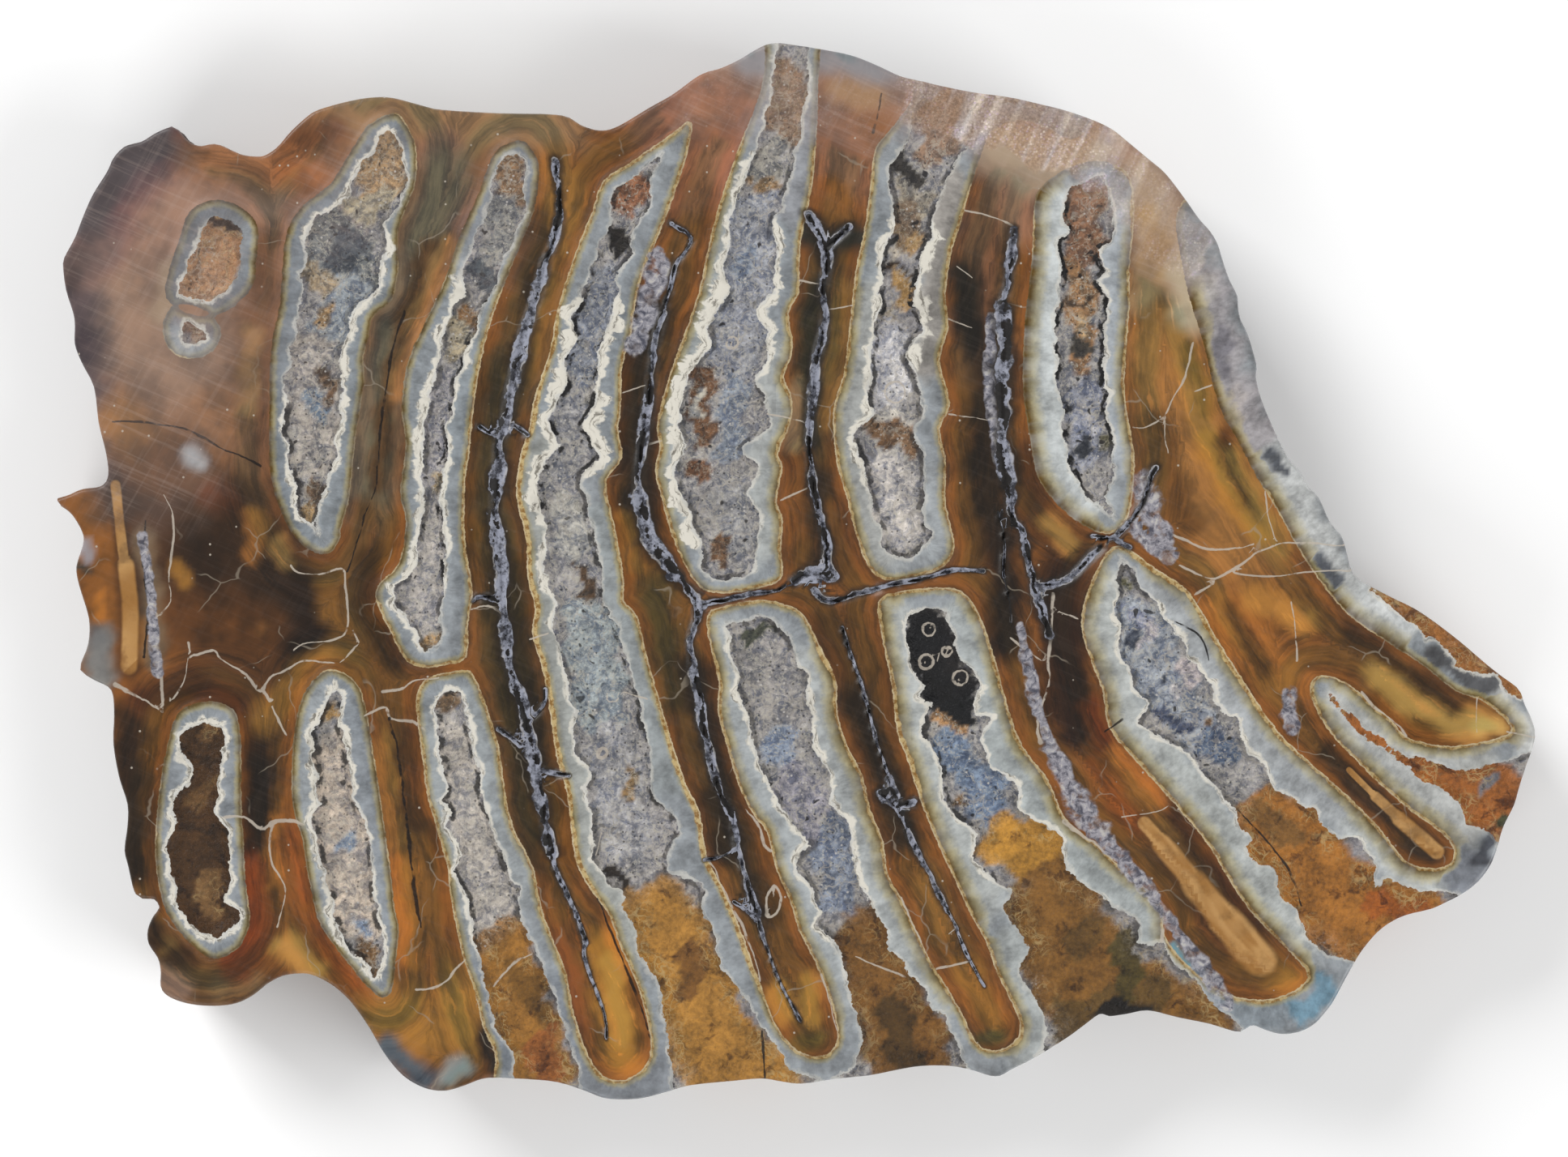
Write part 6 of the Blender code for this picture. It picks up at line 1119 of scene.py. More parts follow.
def rim_rings(foot, outward, top_height):
    """The rim's rings below the face's edge: feet on the widest outline, drawn in by a profile and a swell.

    The swell is one plus a slow sine, and one plus a product of two quick ones, of the place and the height. It
    fades out upwards.
    """
    rings = []
    turn = 2 * math.pi / RIM_WAVE_LENGTH
    for share, inset in RIM_PROFILE:
        wave = np.sin(turn * (foot[:, 0] + 0.6 * foot[:, 1]) + 3.0 * share)
        ledges = np.sin(2.3 * foot[:, 0] - 1.7 * foot[:, 1]) * np.sin(9.0 * share)
        swell = 0.5 * RIM_WAVE * (1 + wave) + RIM_LEDGE * (1 + ledges)
        swell = swell * np.clip((WAVE_TOP - share) / WAVE_FADE, 0.0, 1.0)
        place = foot - outward * (inset + swell)[:, None]
        place = np.clip(place, np.array(LOW)[:2] / MM, np.array(HIGH)[:2] / MM)
        rings.append(np.column_stack((place, share * top_height)))
    return rings


def slice_mesh(name, grid, kept, beyond, outward, fields):
    """The closed skin: the face's cells, the rim's rings, and a back of triangles inside the last ring.

    The back's other corners are every second node. Each vertex carries its own node's fields, so the tissues
    run down the rim and through the back.
    """
    rows, columns = kept.shape
    quads, triples = face_cells(grid, kept)
    rim_edges = open_edges((quads, triples))
    used = np.unique(np.concatenate((quads.ravel(), triples.ravel())))
    rim_nodes = np.unique(rim_edges)
    flat = np.column_stack((grid.x.ravel(), grid.y.ravel()))
    height = surface_height(fields, beyond).ravel()
    outward = outward.reshape(-1, 2)

    top = np.column_stack((flat[used], height[used]))
    foot = flat[rim_nodes] + outward[rim_nodes] * EDGE_INSET
    rings = rim_rings(foot, outward[rim_nodes], height[rim_nodes])
    number = np.arange(rows * columns).reshape(rows, columns)
    deep = (beyond < -1.5 * CELL * BACK_STEP) & kept
    inner = number[::BACK_STEP, ::BACK_STEP][deep[::BACK_STEP, ::BACK_STEP]]
    back = np.column_stack((flat[inner], np.zeros(len(inner))))

    compact = np.full(rows * columns, -1)
    compact[used] = np.arange(len(used))
    ring_place = np.full(rows * columns, -1)
    ring_place[rim_nodes] = np.arange(len(rim_nodes))
    edge = ring_place[rim_edges]
    first_ring = len(used)
    upper = compact[rim_edges]
    bands = []
    for level in range(len(rings)):
        lower = first_ring + level * len(rim_nodes) + edge
        bands.append(np.column_stack((upper[:, 0], lower[:, 0], lower[:, 1], upper[:, 1])))
        upper = lower
    bands = np.concatenate(bands)

    last_ring = first_ring + (len(rings) - 1) * len(rim_nodes)
    first_back = first_ring + len(rings) * len(rim_nodes)
    corners = [tuple(corner) for corner in np.concatenate((flat[rim_nodes], flat[inner])).tolist()]
    found = delaunay_2d_cdt(corners, edge.tolist(), [], 1, CLOSE)
    source = np.array([origins[0] for origins in found[3]])
    whole = source[np.array(found[2])][:, ::-1]
    back_faces = np.where(whole < len(rim_nodes), last_ring + whole, first_back + whole - len(rim_nodes))

    places = np.concatenate((top, *rings, back)) * MM
    sides = [compact[quads], compact[triples], bands, back_faces]
    mesh = bpy.data.meshes.new(name)
    mesh.from_pydata(places, [], [side for kind in sides for side in kind.tolist()])
    polished = len(quads) + len(triples) + POLISHED_BANDS * len(rim_edges)
    rough = len(bands) - POLISHED_BANDS * len(rim_edges)
    mesh.polygons.foreach_set("material_index", np.repeat([0, 1, 2], [polished, rough, len(back_faces)]))

    node_of = np.concatenate((used, np.tile(rim_nodes, len(rings)), inner))
    for field, values in fields.items():
        shares = values.shape[-1]
        kind, key = ("FLOAT_VECTOR", "vector") if shares == 3 else ("FLOAT_COLOR", "color")
        layer = mesh.attributes.new(field, kind, "POINT")
        layer.data.foreach_set(key, values.reshape(-1, shares)[node_of].astype(np.float32).ravel())
    mesh.update()
    mesh.shade_smooth()
    mesh.set_sharp_from_angle(angle=SMOOTH_ANGLE)
    return mesh


def painted(grid, ground, strokes, solid=0.45, wander=1.0, fourth=1.0):
    """Brushed colours, written as hex digits, as four shares a node: red, green, blue and a given fourth."""
    strokes = [(linear(colour), *rest) for colour, *rest in strokes]
    laid = brushed(grid, linear(ground), strokes, solid, wander)
    return np.dstack((laid, fourth * np.ones(laid.shape[:2])))


def tooth(name):
    """The slice as one mesh, with everything that its materials read."""
    rim = through(RIM)
    grid = Grid(rim)
    kept, beyond, outward = place_nodes(grid, rim)
    enamel = [through(outline) for outline in ENAMEL.values()]
    cement = [points(outline) for outline in CEMENT.values()]
    cream = brushed(grid, (CREAM_GROUND,), CREAM_STROKES)[..., 0]
    fields = {
        "enamel_edge": tissue_edge(grid, enamel, ENAMEL_REACH),
        "cement_edge": tissue_edge(grid, cement, CEMENT_REACH),
        "crack": thin_lines(grid, CRACKS),
        "vein": thin_lines(grid, VEINS),
        "seam": thin_lines(grid, SEAMS),
        "fill": thin_lines(grid, FILLS),
        "strip": thin_lines(grid, STRIPS),
        "dentine_tone": painted(grid, DENTINE_GROUND, DENTINE_STROKES, solid=0.2, wander=0.45),
        "enamel_tone": painted(grid, ENAMEL_GROUND, ENAMEL_STROKES, fourth=cream),
        "cement_tone": painted(grid, CEMENT_GROUND, CEMENT_STROKES, solid=0.7),
        "habit": brushed(grid, HABIT_GROUND, HABIT_STROKES),
    }
    return slice_mesh(name, grid, kept, beyond, outward, fields)


def tint(colour):
    """A colour written as six hex digits, as a shader socket wants it."""
    return (*linear(colour), 1.0)


class Wiring:
    """Adds nodes to one tree. An input is set to the number or colour given, or linked to the output given."""

    def __init__(self, tree):
        self.tree = tree

    def filled(self, node, values):
        """A node after its inputs are set or linked."""
        for name, value in values.items():
            if isinstance(value, bpy.types.NodeSocket):
                self.tree.links.new(value, node.inputs[name])
            else:
                node.inputs[name].default_value = value
        return node

    def add(self, kind, values, **settings):
        node = self.tree.nodes.new("ShaderNode" + kind)
        for name, value in settings.items():
            setattr(node, name, value)
        return self.filled(node, values)

    def use(self, effect, **values):
        """Places an effect in this tree and returns its outputs."""
        node = self.tree.nodes.new("ShaderNodeGroup")
        node.node_tree = effect.tree
        return self.filled(node, values).outputs

    def math(self, operation, first, *others):
        for other in others:
            first = self.add("Math", {0: first, 1: other}, operation=operation).outputs[0]
        return first

    def plus(self, *values):
        return self.math("ADD", *values)

    def minus(self, *values):
        return self.math("SUBTRACT", *values)

    def times(self, *values):
        return self.math("MULTIPLY", *values)

    def vector(self, operation, first, *others):
        for other in others:
            first = self.add("VectorMath", {0: first, 1: other}, operation=operation).outputs["Vector"]
        return first

    def magnitude(self, value):
        """A number without its sign."""
        return self.add("Math", {0: value}, operation="ABSOLUTE").outputs[0]

    def flat(self, value):
        """A vector with nothing in its third part."""
        return self.vector("MULTIPLY", value, (1.0, 1.0, 0.0))

    def length(self, value):
        return self.add("VectorMath", {0: value}, operation="LENGTH").outputs["Value"]

    def scaled(self, value, factor):
        return self.add("VectorMath", {0: value, "Scale": factor}, operation="SCALE").outputs["Vector"]

    def lifted(self, value, height):
        """A vector with a height added to its third part."""
        return self.vector("ADD", value, self.add("CombineXYZ", {2: height}).outputs[0])

    def part(self, value, place):
        return self.add("SeparateXYZ", {0: value}).outputs[place]

    def rise(self, value, low, high, start=0.0, end=1.0):
        """start below low, end above high and a smooth turn between."""
        return self.add("MapRange", {0: value, 1: low, 2: high, 3: start, 4: end},
                        interpolation_type="SMOOTHSTEP").outputs[0]

    def fall(self, value, low, high):
        return self.rise(value, low, high, 1.0, 0.0)

    def cloud(self, place, scale, detail=2.0, roughness=0.5):
        values = {"Vector": place, "Scale": scale, "Detail": detail, "Roughness": roughness}
        return self.add("TexNoise", values).outputs

    def noise(self, place, scale, detail=2.0, roughness=0.5):
        return self.cloud(place, scale, detail, roughness)[0]

    def sheets(self, foot, depth, along, across, detail=2.0, roughness=0.6):
        """Noise in sheets along an edge: its nearest point times along, lifted by the depth times across."""
        place = self.lifted(self.scaled(foot, along), self.times(depth, across))
        return self.noise(place, 1.0, detail, roughness)

    def around(self, place, scale, reach, detail=2.0):
        """Noise about nothing, from -reach to reach."""
        return self.times(self.minus(self.noise(place, scale, detail), 0.5), 2.0 * reach)

    def drift(self, place, scale, reach, detail=2.0):
        """The same as a vector, whose parts differ by up to reach."""
        cloud = self.cloud(place, scale, detail)["Color"]
        return self.scaled(self.vector("SUBTRACT", cloud, (0.5, 0.5, 0.5)), reach)

    def cells(self, place, scale, feature="F1"):
        return self.add("TexVoronoi", {"Vector": place, "Scale": scale}, feature=feature).outputs

    def dots(self, place, scale, radius, kept, channel):
        """Specks: cells within a radius of their middle, where one channel of the cell's colour is high."""
        cells = self.cells(place, scale)
        chosen = self.rise(self.part(cells["Color"], channel), *kept)
        return self.times(self.fall(cells["Distance"], *radius), chosen)

    def mix(self, share, under, over, blend="MIX"):
        return self.add("Mix", {0: share, 6: under, 7: over}, data_type="RGBA", blend_type=blend).outputs[2]

    def blend(self, share, under, over):
        """The same for numbers."""
        return self.add("Mix", {0: share, 2: under, 3: over}).outputs[0]

    def lay(self, under, colour, *shares):
        """A colour in hex digits over another by the product of some shares."""
        return self.mix(self.times(*shares), under, tint(colour))

    def between(self, share, low, high):
        """A colour between two that are given in hex digits."""
        return self.mix(share, tint(low), tint(high))

    def tinted(self, colour, red, green, blue):
        return self.mix(1.0, colour, (red, green, blue, 1.0), "MULTIPLY")

    def grey(self, value):
        return self.add("CombineColor", dict.fromkeys(range(3), value)).outputs[0]

    def shaded(self, colour, factor):
        """A colour times a number."""
        return self.mix(1.0, colour, self.grey(factor), "MULTIPLY")

    def brightness(self, colour):
        return self.add("RGBToBW", {0: colour}).outputs[0]

    def read(self, name, output="Vector"):
        """One of the mesh's own fields."""
        return self.add("Attribute", {}, attribute_name=name).outputs[output]

    def millimetres(self):
        """The place on the piece, in millimetres."""
        return self.scaled(self.add("TexCoord", {}).outputs["Object"], 1.0 / MM)


class Effect(Wiring):
    """A node group with named inputs and outputs."""

    def __init__(self, name, inputs, outputs):
        tree = bpy.data.node_groups.new(name, "ShaderNodeTree")
        for side, sockets in (("INPUT", inputs), ("OUTPUT", outputs)):
            for label, kind in sockets.items():
                tree.interface.new_socket(label, in_out=side, socket_type="NodeSocket" + kind)
        super().__init__(tree)
        start = tree.nodes.new("NodeGroupInput").outputs
        self.given = [start[label] for label in inputs]
        self.end = tree.nodes.new("NodeGroupOutput").inputs

    def put_out(self, **results):
        for label, result in results.items():
            self.tree.links.new(result, self.end[label])
        return self


def saw_scratches():
    """Straight marks: noise stretched along the saw's way, kept where it is high. Angle is in radians."""
    look = Effect("saw_scratches", {"Place": "Vector", "Angle": "Float", "Fineness": "Float"},
                  {"Mark": "Float"})
    place, angle, fineness = look.given
    turned = look.add("VectorRotate", {"Vector": place, "Angle": angle}, rotation_type="Z_AXIS").outputs[0]
    drawn = look.vector("MULTIPLY", turned, (0.035, 1.0, 0.2))
    wander = look.lifted(drawn, look.around(place, 0.12, 0.25))
    return look.put_out(Mark=look.rise(look.noise(wander, fineness, 3.0, 0.65), 0.5, 0.66))


def dentine_look():
    """Dentine grew in sheets along the enamel, so its streaks run along the edge and are tight across it.

    They darken or brighten the brushed tone, and calm down where it is light. Clouds take their place under
    the milky veil of scratches and painted glare, and far from the enamel. A greener heart runs between the
    plates and golden sheets lie over it. Last come a net of pale hair cracks and a few specks.
    """
    look = Effect("dentine_look", {"Place": "Vector", "Foot": "Vector", "Depth": "Float", "Haze": "Float",
                                   "Tone": "Color"}, {"Color": "Color"})
    place, foot, far, haze_and_glare, tone = look.given
    depth = look.plus(far, look.around(place, 0.28, 0.55))
    clouds = look.noise(place, 0.34, 3.0, 0.6)
    streaks = look.plus(look.times(look.sheets(foot, depth, 0.20, 1.35, 3.0, 0.62), 0.75),
                        look.times(look.sheets(foot, depth, 0.7, 6.5), 0.25))
    streaked = look.times(look.fall(haze_and_glare, 0.12, 0.45), look.fall(far, 3.2, 4.4))
    shade = look.blend(streaked, look.plus(look.times(clouds, 0.6), 0.2), look.blend(0.2, streaks, clouds))
    calm = look.rise(look.brightness(tone), 0.12, 0.26, 0.0, 0.85)
    share = look.blend(calm, look.rise(shade, 0.36, 0.64), 0.6)
    bright = look.tinted(tone, 1.0, 0.98, 0.86)
    colour = look.mix(share, look.tinted(tone, 0.52, 0.58, 0.62), look.shaded(bright, 1.55))
    heart = look.times(look.rise(look.plus(depth, look.around(place, 0.8, 0.4)), 0.35, 1.1),
                       look.fall(depth, 1.8, 2.6), 0.75, streaked)
    colour = look.mix(heart, colour, look.tinted(colour, 0.66, 0.88, 0.90))
    golden = look.rise(look.sheets(foot, depth, 0.33, 2.3, 3.0), 0.58, 0.72)
    colour = look.mix(look.times(golden, 0.45, streaked), colour, look.shaded(bright, 1.9))

    bent = look.vector("ADD", place, look.scaled(look.cloud(place, 0.5)["Color"], 1.5))
    split = look.fall(look.cells(bent, 0.17, "DISTANCE_TO_EDGE")["Distance"], 0.003, 0.011)
    colour = look.lay(colour, "a89c8a", split, look.rise(look.noise(place, 0.22), 0.52, 0.58),
                      look.fall(haze_and_glare, 0.1, 0.5), 0.42)
    colour = look.lay(colour, "c9bfb0", look.dots(place, 1.7, (0.08, 0.17), (0.90, 0.93), 0), 0.8)
    return look.put_out(Color=colour)


def enamel_look():
    """Enamel: clouded, crossed by fine prisms, and darker beside the cement.

    Depth is the distance to the dentine, and Foot the nearest point there. A fringe from olive to straw grows
    in from it, widest where the brushed tone is light, and haze hides it. On the cement's side, Rind away,
    lies a white crust as wide as Habit's red says, with a pale line at its edge. On the dentine's side lie a
    tan rind and a pale line, as strong as Cream says.
    """
    look = Effect("enamel_look", {"Place": "Vector", "Foot": "Vector", "Depth": "Float", "Rind": "Float",
                                  "Haze": "Float", "Cream": "Float", "Tone": "Color", "Habit": "Color"},
                  {"Color": "Color", "Chalk": "Float"})
    place, foot, depth, rind, haze_and_glare, cream, tone, habit = look.given
    crust = look.add("SeparateColor", {0: habit}).outputs[0]
    clouds = look.noise(place, 0.8, 3.0, 0.6)
    prisms = look.noise(look.lifted(foot, look.times(depth, 0.6)), 3.4, 2.0, 0.6)
    shade = look.plus(look.rise(clouds, 0.3, 0.7, 0.68, 1.12), look.rise(prisms, 0.2, 0.8, -0.15, 0.15),
                      look.rise(rind, 0.1, 1.3, 0.22, -0.04))
    bright = look.brightness(tone)
    colour = look.shaded(look.mix(0.45, tone, look.grey(bright)), shade)

    stain = look.rise(look.noise(foot, 0.7, 3.0, 0.6), 0.3, 0.6, 0.5, 1.0)
    reach = look.math("DIVIDE", depth, look.rise(prisms, 0.2, 0.8, 0.85, 1.1),
                      look.rise(bright, 0.34, 0.50, 0.55, 1.25))
    fringe = look.times(look.fall(reach, 0.05, 1.1), stain, look.fall(haze_and_glare, 0.2, 1.2))
    golden = look.between(look.rise(reach, 0.1, 0.8), "5c4412", "b0a060")
    golden = look.shaded(golden, look.rise(clouds, 0.35, 0.65, 0.8, 1.25))
    colour = look.mix(look.math("POWER", fringe, 0.68), colour, golden)

    width = look.times(crust, look.rise(look.noise(foot, 0.75, 3.0, 0.6), 0.3, 0.7, 0.3, 1.5))
    covered = look.fall(look.minus(rind, look.plus(width, look.around(place, 1.7, 0.16))), -0.10, 0.14)
    layers = look.sheets(foot, rind, 0.9, 4.5, 4.0, 0.65)
    chalk = look.times(covered, look.rise(crust, 0.05, 0.3))
    colour = look.mix(chalk, colour, look.between(look.rise(layers, 0.34, 0.5), "878278", "eae5d8"))
    ragged = look.rise(look.noise(place, 0.9, 3.0, 0.6), 0.35, 0.7, -0.08, 0.16)
    edge = look.fall(look.minus(rind, ragged), 0.0, 0.12)
    colour = look.lay(colour, "dddbd4", edge, look.rise(crust, 0.06, 0.3),
                      look.rise(look.noise(place, 3.6, 3.0, 0.6), 0.3, 0.5, 0.55, 1.0))

    wide = look.plus(look.rise(cream, 0.4, 1.0, -0.02, 0.36), look.around(foot, 0.5, 0.22),
                     look.around(place, 2.4, 0.07))
    rind_share = look.times(look.fall(look.minus(depth, wide), -0.06, 0.04), cream, 0.85)
    crumbs = look.rise(look.noise(place, 2.6, 3.0, 0.65), 0.38, 0.6)
    colour = look.mix(rind_share, colour, look.between(crumbs, "94692e", "d8be86"))
    broken = look.rise(look.noise(place, 0.8, 3.0, 0.65), 0.36, 0.54, 0.15, 1.0)
    colour = look.lay(colour, "ddcfae", look.fall(depth, 0.05, 0.13), broken, cream, 0.7)
    return look.put_out(Color=colour, Chalk=look.math("MAXIMUM", chalk, edge))


def cement_look():
    """Cement: mottled and porous, with pale fibres and a net between its lumps.

    Depth is how far inside its edge. Habit's green turns it golden and crazed. A dark gap runs just inside
    the edge where Habit's blue says and noise lets it. Dark places of the brushed tone stay without the pale
    things.
    """
    look = Effect("cement_look", {"Place": "Vector", "Depth": "Float", "Tone": "Color", "Habit": "Color"},
                  {"Color": "Color"})
    place, depth, tone, habit = look.given
    _, gold, gap = look.add("SeparateColor", {0: habit}).outputs
    bent = look.vector("ADD", place, look.drift(place, 0.9, 1.6))
    broad = look.noise(place, 0.5, 3.0, 0.62)
    grain = look.noise(place, 3.2, 3.0, 0.65)
    bright = look.brightness(tone)
    pale = look.rise(bright, 0.02, 0.16)
    calm = look.mix(0.3, tone, look.grey(bright))
    flecks = look.rise(look.noise(bent, 1.5, 4.0, 0.68), 0.36, 0.64)
    colour = look.mix(flecks, look.tinted(calm, 0.46, 0.50, 0.58), look.tinted(calm, 1.42, 1.39, 1.28))
    shade = look.plus(look.rise(broad, 0.3, 0.7, 0.54, 1.02), look.rise(grain, 0.3, 0.7, 0.06, 0.60))
    colour = look.shaded(colour, shade)
    net = look.fall(look.cells(bent, 0.95, "DISTANCE_TO_EDGE")["Distance"], 0.02, 0.085)
    colour = look.lay(colour, "b8b0a4", net, look.rise(look.noise(place, 0.45), 0.46, 0.6), 0.5, pale)
    fibre = look.magnitude(look.minus(look.noise(bent, 1.6, 3.0, 0.6), 0.5))
    colour = look.lay(colour, "beb8a8", look.fall(fibre, 0.01, 0.05), look.rise(grain, 0.40, 0.58), 0.6, pale)

    craze = look.math("MINIMUM", look.cells(bent, 0.62, "DISTANCE_TO_EDGE")["Distance"],
                      look.cells(bent, 1.9, "DISTANCE_TO_EDGE")["Distance"])
    shade = look.plus(look.rise(broad, 0.3, 0.7, 0.40, 0.95), look.rise(grain, 0.3, 0.7, 0.05, 0.5))
    glow = look.lay(look.shaded(tone, shade), "c8ae78", look.fall(craze, 0.01, 0.06),
                    look.rise(look.noise(place, 0.6, 3.0), 0.40, 0.58), look.fall(depth, 0.5, 1.9),
                    look.rise(bright, 0.06, 0.14), 0.6)
    browned = look.times(look.rise(look.noise(bent, 0.8, 4.0, 0.62), 0.54, 0.68), 0.75)
    glow = look.mix(browned, glow, look.mix(1.0, glow, tint("6a5238"), "MULTIPLY"))
    colour = look.mix(gold, colour, glow)

    pits = look.times(look.dots(bent, 1.25, (0.16, 0.28), (0.78, 0.86), 0), 0.9)
    pores = look.times(look.dots(place, 3.3, (0.18, 0.30), (0.66, 0.78), 1), 0.7)
    colour = look.lay(colour, "121013", look.math("MAXIMUM", pits, pores),
                      look.minus(1.0, look.times(gold, 0.7)))
    # Pale specks, which stand partly for painted glints of light
    sparks = look.dots(place, 2.1, (0.10, 0.22), (0.80, 0.86), 2)
    colour = look.lay(colour, "cdc8c2", sparks, look.minus(1.0, gold), pale, 0.75)

    edged = look.plus(depth, look.around(place, 1.7, 0.16))
    colour = look.lay(colour, "0a090a", look.rise(edged, -0.06, 0.04), look.fall(edged, 0.24, 0.42),
                      look.rise(gap, 0.15, 0.6), look.rise(look.noise(place, 0.8, 3.0, 0.6), 0.44, 0.53))
    return look.put_out(Color=colour)


# How far each kind of thin line sways, and how uneven its width is
LINE_KINDS = {
    "strip": (0.12, 0.05),
    "vein": (1.8, 1.0),
    "seam": (1.8, 1.0),
    "fill": (1.2, 0.4),
    "crack": (1.0, 1.0),
}


def line_shares(look, place, sway, wobble):
    """For each kind of thin line, how far away its middle is as a share of its half width.

    The line's offset sways, and its length wobbles and is divided by a swell.
    """
    swell = look.rise(look.noise(place, 0.36, 3.0), 0.34, 0.66, 0.5, 1.3)
    shares = {}
    for name, (swing, uneven) in LINE_KINDS.items():
        line = look.read(name)
        moved = look.flat(look.vector("ADD", line, look.scaled(sway, swing)))
        across = look.math("MAXIMUM", look.length(moved), look.part(line, 2))
        across = look.plus(across, look.times(wobble, uneven))
        shares[name] = look.math("DIVIDE", across, look.blend(uneven, 1.0, swell))
    return shares


def tooth_tissue(dentine, enamel, cement):
    """The whole tooth's colour, roughness and fine relief at a place, chosen by the mesh's distances.

    The enamel field's distance is below 0 within the dentine's edge, and the cement field's is below 0 inside
    the cement, so the band between is enamel. Both are shifted a little by noise. Over them lie tan strips
    with soft dark borders, pale veins, dark seams, crumpled fills and the cracks. A crack is mineral grey,
    partly with a white border, and a black slot of painted shade, where the open crack is deep, winds from
    side to side within it.
    """
    look = Effect("tooth_tissue", {"Place": "Vector"},
                  {"Color": "Color", "Roughness": "Float", "Height": "Float", "Haze": "Float"})
    place, = look.given
    enamel_field, cement_field = look.read("enamel_edge"), look.read("cement_edge")
    ragged = look.plus(look.around(place, 2.0, 0.14), look.around(place, 6.0, 0.07))
    enamel_far = look.plus(look.part(enamel_field, 2), look.times(ragged, 0.7))
    scallops = look.plus(look.around(place, 0.85, 0.42, 3.0), look.around(place, 3.2, 0.12))
    cement_far = look.plus(look.part(cement_field, 2), ragged, scallops)
    foot = look.vector("ADD", place, look.flat(enamel_field))
    # The habit's fourth share: the milky veil of worn, scratched polish together with painted glare and sheen
    habit, haze_and_glare = look.read("habit", "Color"), look.read("habit", "Alpha")
    in_dentine = look.use(dentine, Place=place, Foot=foot, Depth=enamel_far, Haze=haze_and_glare,
                          Tone=look.read("dentine_tone", "Color"))
    in_enamel = look.use(enamel, Place=place, Foot=foot, Depth=look.times(enamel_far, -1.0), Rind=cement_far,
                         Haze=haze_and_glare, Cream=look.read("enamel_tone", "Alpha"),
                         Tone=look.read("enamel_tone", "Color"), Habit=habit)
    in_cement = look.use(cement, Place=place, Depth=look.times(cement_far, -1.0),
                         Tone=look.read("cement_tone", "Color"), Habit=habit)
    is_enamel = look.fall(enamel_far, -0.02, 0.02)
    is_cement = look.fall(cement_far, -0.02, 0.02)
    colour = look.mix(is_enamel, in_dentine["Color"], in_enamel["Color"])
    colour = look.mix(is_cement, colour, in_cement["Color"])
    rough = look.blend(is_enamel, 0.34, look.blend(in_enamel["Chalk"], 0.24, 0.7))
    rough = look.blend(is_cement, rough, 0.62)

    wobble = look.around(place, 1.8, 0.3)
    sway = look.drift(place, 0.9, 1.6, 3.0)
    shares = line_shares(look, place, sway, wobble)
    layers = look.sheets(foot, enamel_far, 0.3, 1.3, 1.0, 0.5)
    tan = look.between(look.rise(layers, 0.35, 0.65), "ac7a3e", "cf9f62")
    colour = look.lay(colour, "2c1c10", look.fall(shares["strip"], 1.0, 2.0), 0.45)
    patchy = look.rise(look.noise(place, 0.7, 3.0, 0.6), 0.30, 0.55, 0.5, 0.9)
    colour = look.mix(look.times(look.fall(shares["strip"], 0.70, 1.10), patchy), colour, tan)
    colour = look.lay(colour, "cabfb0", look.fall(shares["vein"], 0.55, 1.05),
                      look.rise(look.noise(place, 0.9, 3.0, 0.6), 0.30, 0.44), 0.8)
    colour = look.lay(colour, "0d0908", look.fall(shares["seam"], 0.6, 1.1),
                      look.rise(look.noise(place, 1.1), 0.3, 0.45), 0.92)

    crumple = look.add("TexNoise", {"Vector": place, "Scale": 1.9, "Detail": 4.0, "Roughness": 0.65,
                                    "Distortion": 0.6}).outputs[0]
    mineral = look.between(look.rise(crumple, 0.34, 0.6), "4f5260", "aeacb4")
    mineral = look.lay(mineral, "d0cdc6", look.rise(crumple, 0.56, 0.66), 0.8)
    patchy = look.rise(look.noise(place, 0.9, 3.0, 0.6), 0.34, 0.50, 0.4, 0.95)
    colour = look.mix(look.times(look.fall(shares["fill"], 0.8, 1.25), patchy), colour, mineral)

    colour = look.lay(colour, "1a140d", look.fall(shares["crack"], 0.9, 2.6), 0.8)
    within = look.fall(shares["crack"], 0.90, 1.08)
    lining = look.between(look.rise(look.noise(place, 1.5, 4.0, 0.7), 0.38, 0.6), "2a2d37", "a3a7b6")
    lining = look.lay(lining, "cfcac4", look.rise(shares["crack"], 0.66, 0.86),
                      look.rise(look.noise(place, 1.1, 3.0), 0.48, 0.62), 0.45)
    # A black slot of painted shade, where the open crack is deep, winds from side to side within the lining
    aside = look.flat(look.vector("ADD", look.read("crack"), sway, look.drift(place, 0.22, 3.6)))
    slot = look.rise(look.noise(place, 0.6, 4.0, 0.62), 0.38, 0.6, -0.1, 0.75)
    beside_slot = look.minus(look.plus(look.length(aside), wobble), slot)
    lining = look.lay(lining, "050506", look.fall(beside_slot, -0.08, 0.06))
    colour = look.mix(within, colour, lining)
    rough = look.blend(within, rough, 0.5)

    porous = look.fall(look.part(cement_field, 2), -0.15, 0.15)
    height = look.times(look.noise(place, 2.8, 2.0, 0.65), look.blend(porous, 0.012, 0.20))
    return look.put_out(Color=look.shaded(colour, TISSUE_DEPTH), Roughness=rough, Height=height, Haze=haze_and_glare)


def finish_material(name, steps, constants):
    """A material around the Principled shader. steps wires it and gives the colour, roughness and height."""
    material = bpy.data.materials.new(name)
    material.use_nodes = True
    material.node_tree.nodes.clear()
    look = Wiring(material.node_tree)
    colour, rough, height = steps(look, look.millimetres())
    bump = look.add("Bump", {"Height": height, "Distance": MM, "Strength": 1.0})
    shader = look.add("BsdfPrincipled", {"Base Color": colour, "Roughness": rough, "Normal": bump.outputs[0],
                                         **constants})
    look.add("OutputMaterial", {"Surface": shader.outputs[0]})
    return material


